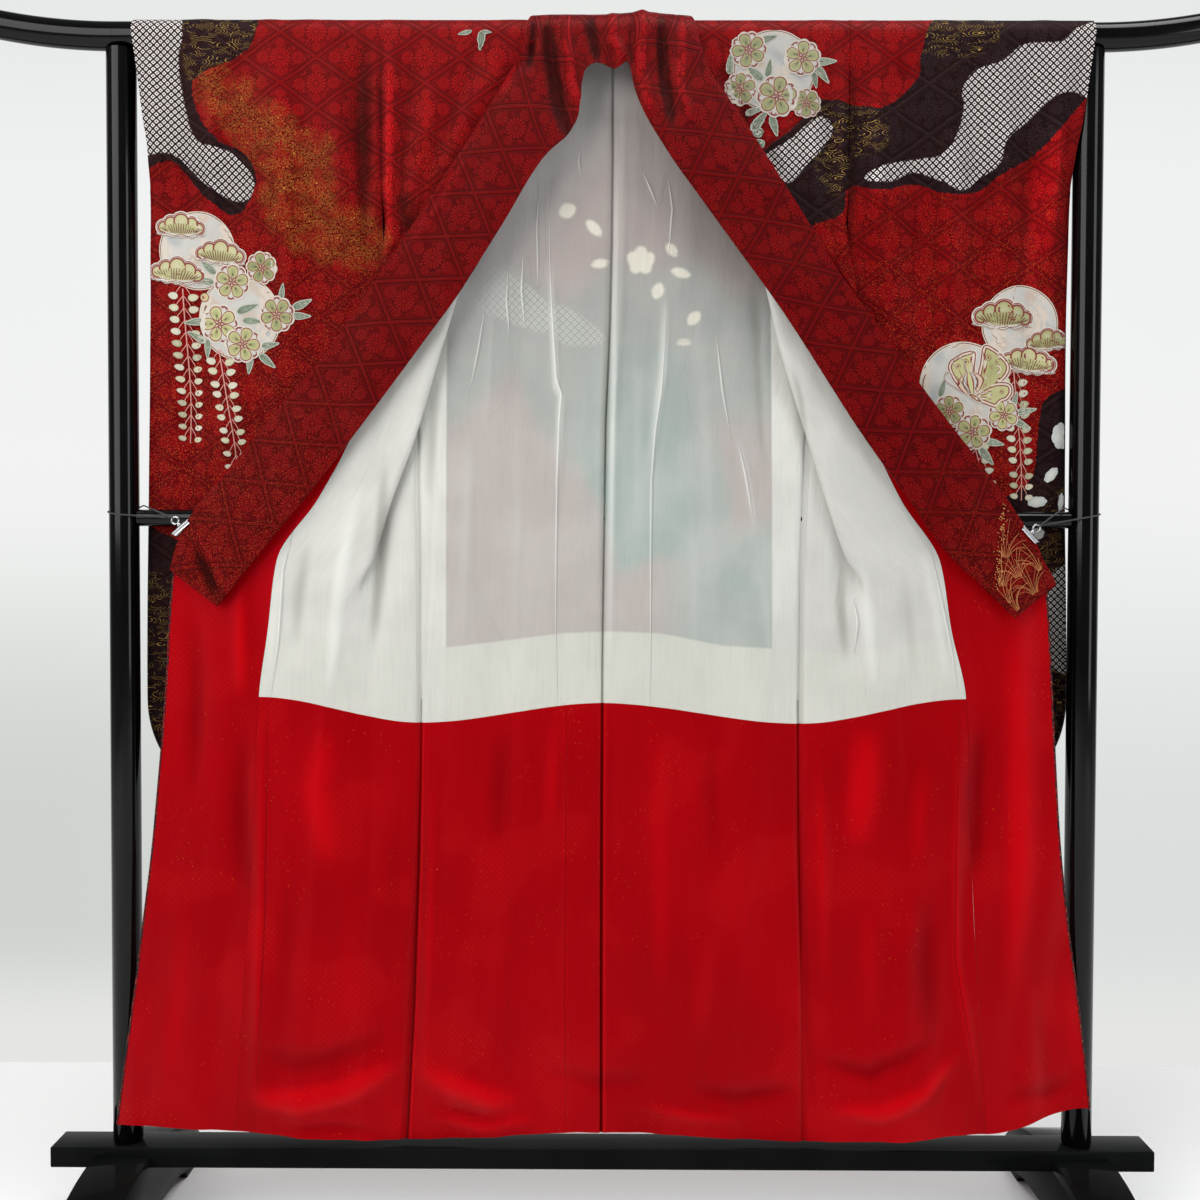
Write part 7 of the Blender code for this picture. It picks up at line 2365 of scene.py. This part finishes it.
def left_sleeve_flowers(canvas):
    add_raceme(canvas, (-0.606, 1.360), (-0.602, 1.140), 0.0160, 0.0125, 0.06,
               dim=((4, -1), (5, -1), (9, -1), (10, -1), (11, -1), (12, -1), (5, 1)))
    add_raceme(canvas, (-0.556, 1.272), (-0.533, 1.086), 0.0170, 0.0125, 0.10)
    add_medallion(canvas, (-0.584, 1.414), 0.055, 1.0)
    add_medallion(canvas, (-0.525, 1.319), 0.060, 4.2, level=0.00015)
    for place, length, turn, tone in (
            ((-0.434, 1.339), 0.028, 0.45, 0.5), ((-0.436, 1.322), 0.026, 0.0, 0.5),
            ((-0.589, 1.293), 0.026, 2.6, 0.2), ((-0.592, 1.314), 0.026, 3.3, 0.3),
            ((-0.573, 1.276), 0.026, -1.6, 0.3), ((-0.486, 1.258), 0.028, -0.7, 0.7),
            ((-0.512, 1.252), 0.024, -1.7, 0.3), ((-0.482, 1.281), 0.026, 0.15, 0.4),
            ((-0.513, 1.333), 0.032, 0.35, 0.8), ((-0.506, 1.315), 0.028, -0.05, 0.4),
            ((-0.569, 1.391), 0.028, 2.4, 0.4), ((-0.576, 1.372), 0.028, 3.0, 0.3),
            ((-0.540, 1.402), 0.020, 1.5, 0.5), ((-0.462, 1.356), 0.022, 1.4, 0.5)):
        add_leaf(canvas, place, length, turn, tone)
    add_pine(canvas, (-0.606, 1.444), 0.066, -0.05, 0.25)
    add_pine(canvas, (-0.551, 1.406), 0.068, -0.10, 0.15)
    add_pine(canvas, (-0.614, 1.380), 0.072, -0.10, 0.20)
    add_blossom(canvas, (-0.491, 1.390), 0.0235, 0.5, 0.85)
    add_blossom(canvas, (-0.535, 1.370), 0.0270, 0.2, 0.35)
    add_blossom(canvas, (-0.471, 1.324), 0.0270, 0.9, 0.60)
    add_blossom(canvas, (-0.555, 1.311), 0.0290, 0.6, 0.02)
    add_blossom(canvas, (-0.521, 1.282), 0.0275, 1.2, 0.20, level=0.00095)
    canvas.edged(turned(oval(0.011, 0.011), (-0.576, 1.349), 0), 0.0006, LINE_RED, 0.0012,
                 PALE_YELLOW, RUST)


def right_sleeve_flowers(canvas):
    add_raceme(canvas, (0.590, 1.262), (0.606, 1.060), 0.0165, 0.0135, 0.10,
               dim=((3, 1), (4, 1), (5, 1), (6, 1), (7, 1), (8, 1), (9, 1), (9, -1), (10, -1)))
    add_raceme(canvas, (0.536, 1.150), (0.556, 1.050), 0.0165, 0.0130, 0.05)
    add_medallion(canvas, (0.599, 1.312), 0.055, 2.0)
    add_medallion(canvas, (0.518, 1.226), 0.062, 5.0, level=0.00015)
    for place, length, turn, tone in (
            ((0.612, 1.189), 0.028, 0.2, 0.3), ((0.606, 1.170), 0.026, -0.4, 0.4),
            ((0.566, 1.143), 0.026, -0.2, 0.05), ((0.555, 1.124), 0.030, -0.9, 0.1),
            ((0.489, 1.222), 0.026, 1.3, 0.6), ((0.594, 1.205), 0.022, 1.3, 0.3)):
        add_leaf(canvas, place, length, turn, tone)
    add_pine(canvas, (0.574, 1.320), 0.080, -0.05, 0.60)
    add_pine(canvas, (0.640, 1.286), 0.060, 0.10, 0.70)
    add_pine(canvas, (0.612, 1.256), 0.074, -0.12, 0.15)
    add_butterfly(canvas, (0.534, 1.209), 0.062, 0.0)
    add_blossom(canvas, (0.500, 1.189), 0.0240, 0.4, 0.80)
    add_blossom(canvas, (0.535, 1.159), 0.0270, 0.1, 0.35)
    add_blossom(canvas, (0.578, 1.183), 0.0235, 0.8, 0.02)
    for place, length, width, turn in (
            ((0.661, 1.153), 0.039, 0.026, 1.57), ((0.649, 1.097), 0.026, 0.014, 0.9),
            ((0.630, 1.058), 0.029, 0.016, 0.1), ((0.664, 1.058), 0.026, 0.008, 1.5),
            ((0.629, 1.011), 0.026, 0.018, 0.3), ((0.600, 0.990), 0.024, 0.014, 0.7)):
        canvas.patch(turned(scallop(1.0, 7, 0.12)[:, :] * np.array((length, width)) / 2, place,
                            turn), 0.0003, srgb(196, 200, 196), srgb(222, 222, 214),
                     centre=place)


def right_shoulder_flowers(canvas):
    add_medallion(canvas, (0.239, 1.663), 0.058, 3.0)
    for place, length, turn, tone in (
            ((0.211, 1.661), 0.032, 2.4, 0.6), ((0.232, 1.667), 0.026, 1.4, 0.9),
            ((0.313, 1.676), 0.028, 0.05, 0.1), ((0.308, 1.658), 0.028, -0.9, 0.3),
            ((0.297, 1.650), 0.022, -1.4, 0.8), ((0.219, 1.594), 0.034, 0.9, 0.8),
            ((0.240, 1.586), 0.028, -1.3, 0.6), ((0.177, 1.674), 0.026, 1.5, 0.2),
            ((0.212, 1.608), 0.024, 0.2, 0.4), ((0.230, 1.708), 0.028, 0.3, 0.8)):
        add_leaf(canvas, place, length, turn, tone)
    add_blossom(canvas, (0.192, 1.639), 0.0240, 0.3, 0.80)
    add_blossom(canvas, (0.203, 1.692), 0.0270, 0.7, 0.70)
    add_blossom(canvas, (0.279, 1.681), 0.0270, 0.2, 0.45)
    add_blossom(canvas, (0.285, 1.617), 0.0215, 0.9, 0.75)
    add_blossom(canvas, (0.244, 1.628), 0.0310, 0.1, 0.60, level=0.00095)
    for place in ((0.217, 1.578), (0.219, 1.562)):
        canvas.edged(turned(oval(0.015, 0.012), place, 0.3), 0.0004, SNOW, 0.0008,
                     LEAF_GREEN, DEEP_GREEN)


def collar_grasses(canvas):
    """Tufts of gold grass that arch over the right end of the collar."""
    pick = np.random.default_rng(7)
    corner, tip, upper, lower = (np.array(at) for at in spots(
        [(1055, 583), (1015, 615), (1003, 504), (995, 590)], -0.04))
    light, dark = srgb(226, 160, 92), srgb(182, 84, 44)
    edge = np.array([upper, corner, tip, lower])
    middle = edge.mean(axis=0)
    edge = middle + (edge - middle) * 0.97
    tufts = ((0.95, 0.95, 2.3), (0.60, 1.00, 2.1), (0.20, 0.90, 1.6), (0.95, 0.45, 2.1),
             (0.55, 0.55, 1.9), (0.80, 0.10, 1.9), (0.15, 0.55, 1.5))
    for a, b, lean in tufts:
        root = (upper * (1 - a) * (1 - b) + corner * a * (1 - b) + lower * (1 - a) * b
                + tip * a * b)
        for k in range(9):
            spread = (k - 4) / 4
            t = np.linspace(0, 1, 22)
            way = lean + 0.30 * spread + (1.7 * spread + pick.normal(0, 0.2)) * t ** 1.2
            step = np.stack([np.cos(way), np.sin(way)], -1)
            length = 0.040 + 0.022 * pick.random() - 0.012 * abs(spread)
            foot = root + spread * 0.004 * np.array([-math.sin(lean), math.cos(lean)])
            blade = foot + np.cumsum(step, axis=0) * length / 22
            within = inside_by(edge, blade[:, 0], blade[:, 1]) > 0
            count = len(t) if within.all() else int(np.argmin(within))
            if count > 4:
                canvas.line(blade[:count], 0.0001 + 0.00003 * (k % 5), 0.00052,
                            blend(dark, light, pick.random()), 0.3)
    for k in range(110):
        a, b = pick.random(), pick.random() ** 2
        at = (upper * (1 - a) + lower * a) * (1 - 0.14 * b) + tip * 0.14 * b
        at = at + pick.normal(0, 0.0028, 2)
        canvas.patch(turned(oval(0.0017, 0.0010, count=8), at, 6 * pick.random()),
                     0.00025, light, rings=(1.0,))


def left_shoulder_leaves(canvas):
    for place, length, turn, tone in (
            ((-0.174, 1.705), 0.026, -1.7, 1.0), ((-0.197, 1.716), 0.018, 3.4, 0.2),
            ((-0.166, 1.717), 0.014, -0.1, 0.2)):
        add_leaf(canvas, place, length, turn, tone)


def sleeve_surface(bag, rows):
    """Maps (x, z) to a sleeve layer's place and outward normal."""
    heights = bag.heights
    def surface(x, z):
        t = np.interp(-z, -heights, np.arange(len(heights)))
        i = np.clip(np.floor(t).astype(int), 0, len(heights) - 2)
        a = t - i
        inner, outer = bag.inner_x(z), bag.outer_x(z)
        c = np.clip((np.abs(x) - inner) / (outer - inner), 0, 0.9999) * (bag.columns - 1)
        j = np.floor(c).astype(int)
        b = c - j
        return gather(bag, rows, i, j, a, b)
    return surface


def gather(sheet, rows, i, j, a, b):
    a, b = a[:, None], b[:, None]
    corners = [sheet.index[rows[i], j], sheet.index[rows[i], j + 1],
               sheet.index[rows[i + 1], j], sheet.index[rows[i + 1], j + 1]]
    weights = [(1 - a) * (1 - b), (1 - a) * b, a * (1 - b), a * b]
    place = sum(w * sheet.points[k] for w, k in zip(weights, corners))
    normal = sum(w * sheet.normals[k] for w, k in zip(weights, corners))
    return place, normal / np.linalg.norm(normal, axis=1, keepdims=True)


def panel_surface(body, rows, columns):
    """Maps (x, z) to the outward face of a body panel's first columns."""
    def surface(x, z):
        t = np.interp(-z, -body.heights, np.arange(len(body.heights)))
        i = np.clip(np.floor(t).astype(int), 0, len(body.heights) - 2)
        a = t - i
        j = np.zeros(len(x), int)
        b = np.zeros(len(x))
        for n, (row, place) in enumerate(zip(rows[i], np.abs(x))):
            across = np.abs(body.points[body.index[row, :columns], 0])
            c = np.interp(-place, -across, np.arange(columns))
            j[n] = min(int(c), columns - 2)
            b[n] = c - j[n]
        return gather(body, rows, i, j, a, b)
    return surface


# ---------------------------------------------------------------- assembly

def sheet_area(points, cells):
    corners = points[cells]
    normal = np.cross(corners[:, 2] - corners[:, 0], corners[:, 3] - corners[:, 1])
    return float(np.linalg.norm(normal, axis=1).sum() / 2)


def hang(piece, nodes, slot, width, length, area, rests_on=("stand_top_rail",)):
    carry(piece, nodes, slot)
    area = min(area, width * length)


def build_body(side, looks):
    half = Half(side)
    body = Body(half)
    cloth = region_attributes(body.attributes[0][1])
    cloth.append(fold_painted_shade(BODY_RIDGES, body.points[:, 0], body.points[:, 2], 0.008,
                           SLEEVE_PAINTED_SHADE))
    outer = add_shell("body_cloth_" + side, body.points, body.cells,
                      [looks["brocade"], looks["sleeve_lining"]],
                      attributes=cloth)
    hang(outer, ["body_" + side], "brocade", 0.32, 3.26, sheet_area(body.points, body.cells))
    parts = (("white_back_", body.back_rows, LINING_JOIN, LINING_SHOWN_TOP, "white",
              "white_silk", None),
             ("white_front_", body.front_rows, LINING_JOIN, UNDERARM_HEIGHT, "white",
              "white_silk", body.columns),
             ("red_back_", body.back_rows, 0.13, LINING_JOIN, "red", "red_silk", None),
             ("red_front_", body.front_rows, 0.13, LINING_JOIN, "red", "red_silk",
              body.columns))
    for name, rows, low, high, look, slot, columns in parts:
        cells = body.part(rows, low, high, columns)
        layer = "back" if "back" in name else "front"
        made = add_face("lining_" + name + side, body.points, body.normals, cells, looks[look],
                        LINING_FACE, body.attributes + lining_attributes(body, layer))
        area = sheet_area(body.points, cells)
        hang(made, [name + side], slot, 0.30, max(high - low, area / 0.30), area,
             ["body_cloth_" + side])
    return half, body


def build_okumi(half, looks):
    side = half.side
    heights = spaced(OKUMI_TOP, UNDERARM_HEIGHT, OKUMI_LINING_TOP, 0.97, LINING_JOIN, 0.13)
    points, u = half.okumi(heights)
    points = forward(points)
    s = np.repeat(down_front(heights)[:, None], points.shape[1], 1)
    cloth = np.stack([u + half.sign * 0.18, s, 0 * s], -1).reshape(-1, 3)
    index = grid_index(*points.shape[:2])
    flip = side == "right"
    cells = cells_of(index, flip=not flip)
    # Rows run down and columns outward, so the outward side is at the back.
    flat = points.reshape(-1, 3)
    normals = point_normals(flat, cells)
    if normals[:, 1].mean() < 0:
        cells = cells[:, ::-1]
        normals = -normals
    outer = add_shell("okumi_cloth_" + side, flat, cells,
                      [looks["brocade"], looks["sleeve_lining"]],
                      attributes=region_attributes(cloth)
                      + [fold_painted_shade(BODY_RIDGES, flat[:, 0], flat[:, 2])])
    hang(outer, ["okumi_" + side], "brocade", 0.20, 1.35, sheet_area(flat, cells),
         ["collar_cloth"])
    low = index[heights <= OKUMI_LINING_TOP + 1e-9]
    lining = cells_of(low, flip=not flip)
    if point_normals(flat, lining)[low.ravel(), 1].mean() < 0:
        lining = lining[:, ::-1]
    x, z = flat[:, 0], flat[:, 2]
    tuck = line_distance(FRONT_TUCKS, x, z, 0.9)
    made = add_face("lining_red_okumi_" + side, flat, normals, lining, looks["red"], LINING_FACE,
                    [("cloth", cloth), ("seam", 9 + 0 * x), ("tuck", tuck),
                     fold_painted_shade(BODY_RIDGES, x, z, 0.0045)])
    area = sheet_area(flat, lining)
    hang(made, ["red_okumi_" + side], "red_silk", 0.17, max(1.03, area / 0.17), area,
         ["okumi_cloth_" + side])
    return flat, index, normals


def build_sleeve(side, looks):
    bag = SleeveBag(side)
    # the open inner edge shows a little of the red lining
    made = add_shell("sleeve_cloth_" + side, bag.points, bag.cells,
                     [looks["brocade"], looks["sleeve_lining"]],
                     attributes=region_attributes(bag.cloth)
                     + [fold_painted_shade(SLEEVE_RIDGES, bag.points[:, 0], bag.points[:, 2],
                                  0.022, SLEEVE_PAINTED_SHADE)])
    hang(made, ["sleeve_front_" + side, "sleeve_back_" + side], "brocade", 0.35, 2.28,
         sheet_area(bag.points, bag.cells))
    return bag


def build_collar(looks):
    points, cloth, tone = collar_sheet()
    points = collar_forward(points)
    index = grid_index(*points.shape[:2])
    flat = points.reshape(-1, 3)
    cells = cells_of(index)
    normals = point_normals(flat, cells)
    if normals[index[40, 5], 1] > 0:
        cells = cells[:, ::-1]
    made = add_shell("collar_cloth", flat, cells, [looks["collar"], looks["sleeve_lining"]],
                     outer=0.0016, inner=0.0001,
                     attributes=blank_regions(cloth.reshape(-1, 3))
                     + [("fold", tone.ravel())])
    hang(made, ["collar"], "brocade", 0.125, 2.30, sheet_area(flat, cells))
    return flat, cells


def add_piping(half, okumi_points, index, look):
    """The thin bound edge down the free front edge of the okumi."""
    edge = okumi_points[index[:, -1]]
    height = edge[:, 2]
    edge = edge[height < FRONT_EDGES[5].height]
    path = edge + np.array((half.sign * 0.0006, -0.0002, 0.0))
    made = tube("piping_" + half.side, path[::2], [0.0016] * len(path[::2]), look, sides=10)
    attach(made, "root")


def drape_on(points, cells):
    """Maps (x, z) to the front face of a sheet, found by looking at it from the front."""
    tree = BVHTree.FromPolygons([tuple(p) for p in points], [tuple(c) for c in cells])

    def surface(x, z):
        places, normals = [], []
        for a, b in zip(x, z):
            place, normal = tree.ray_cast(Vector((a, -0.5, b)), Vector((0, 1, 0)))[:2]
            if place is None:
                place, normal = tree.find_nearest(Vector((a, -0.04, b)))[:2]
            places.append(tuple(place))
            normals.append(tuple(normal if normal.y < 0 else -normal))
        places, normals = np.array(places), np.array(normals)
        return places + normals * 0.0008, normals
    return surface


def build_flowers(bags, bodies, look):
    """Embroidery on the sleeves and shoulders, alike on the back."""
    sides = (("left", left_sleeve_flowers), ("right", right_sleeve_flowers))
    for side, draw in sides:
        bag = bags[side]
        for layer, rows in (("front", bag.front_rows), ("back", bag.back_rows)):
            canvas = Canvas(0.88)
            draw(canvas)
            canvas.lay(f"flowers_sleeve_{side}_{layer}", sleeve_surface(bag, rows), look)
    for side, draw, columns in (("right", right_shoulder_flowers, 34),
                                ("left", left_shoulder_leaves, 34)):
        body = bodies[side]
        for layer, rows, count in (("front", body.front_rows, columns),
                                   ("back", body.back_rows, body.columns)):
            # the shoulder embroidery is scaled darker, as painted shade
            canvas = Canvas(0.62)
            draw(canvas)
            canvas.lay(f"flowers_body_{side}_{layer}", panel_surface(body, rows, count), look)


def add_stage():
    """A pale floor, and a pale backdrop far enough behind to see the back from."""
    for name, corners, look in (
            ("stage_floor", [(-7, -6, 0), (7, -6, 0), (7, 0.6, 0), (-7, 0.6, 0)],
             floor_look("pale_floor")),
            ("stage_backdrop", [(-16, BACKDROP_PLACE, -7), (16, BACKDROP_PLACE, -7),
                                (16, BACKDROP_PLACE, 10), (-16, BACKDROP_PLACE, 10)],
             backdrop_look("pale_backdrop"))):
        add_mesh(name, np.array(corners, float), np.array([[0, 1, 2, 3]]), [look])


def add_light(name, place, aim, size, power, colour=(1, 1, 1)):
    data = bpy.data.lights.new(name, "AREA")
    data.shape = "RECTANGLE"
    data.size, data.size_y = size
    data.energy = power
    data.color = colour
    light = bpy.data.objects.new(name, data)
    light.location = place
    light.rotation_euler = (Vector(aim) - Vector(place)).to_track_quat("-Z", "Y").to_euler()
    bpy.context.scene.collection.objects.link(light)
    return light


def add_lights():
    add_light("key", (-2.0, -2.3, 2.2), (0, 0, 1.0), (2.4, 2.4), 68, (1.0, 0.99, 0.97))
    add_light("fill", (2.6, -2.2, 1.5), (0, 0, 0.9), (1.0, 2.4), 26, (0.98, 0.99, 1.0))
    add_light("top", (0.2, -0.8, 3.3), (0, 0.1, 0.7), (2.6, 1.0), 52)
    back = add_light("back", (0.5, 2.8, 2.2), (0, 0, 0.9), (2.2, 2.2), 55)
    back.visible_camera = back.visible_glossy = False
    world = bpy.data.worlds.new("world")
    world.use_nodes = True
    world.node_tree.nodes["Background"].inputs["Color"].default_value = (0.93, 0.96, 1.0, 1)
    world.node_tree.nodes["Background"].inputs["Strength"].default_value = 0.16
    bpy.context.scene.world = world
    bpy.context.scene.view_settings.view_transform = "Standard"


def main():
    add_camera()
    lacquer = lacquer_look("black_lacquer")
    looks = {
        "brocade": brocade_look("red_brocade", srgb(84, 2, 6), srgb(140, 12, 15),
                                srgb(116, 8, 11)),
        "collar": brocade_look("collar_brocade", srgb(68, 1, 4), srgb(118, 9, 12),
                               srgb(106, 8, 11), gold=0.62, middle=1.10),
        "white": white_look("white_silk_lining"),
        "red": red_look("red_silk_lining", srgb(160, 3, 9), srgb(144, 2, 6)),
        "sleeve_lining": red_look("sleeve_lining_silk", srgb(74, 3, 6), srgb(58, 2, 4), 0.0),
    }
    add_rail(lacquer)
    add_posts(lacquer)
    add_beam_and_feet(lacquer_look("dark_lacquer", 0.02, srgb(14, 15, 15), srgb(19, 20, 20)))
    piping = piping_look("edge_piping")
    bags, bodies = {}, {}
    for side in ("left", "right"):
        half, bodies[side] = build_body(side, looks)
        flat, index = build_okumi(half, looks)[:2]
        add_piping(half, flat, index, piping)
        bags[side] = build_sleeve(side, looks)
    collar = build_collar(looks)
    embroidery = paint_look("embroidery_silk")
    build_flowers(bags, bodies, embroidery)
    grasses = Canvas()
    collar_grasses(grasses)
    grasses.lay("grasses_collar", drape_on(*collar), embroidery)
    chrome = chrome_look("clip_chrome")
    elastic = elastic_look("black_elastic")
    for clip in CLIPS:
        add_clip(clip, chrome)
        add_cord(clip, elastic)
    add_stage()
    add_lights()


main()
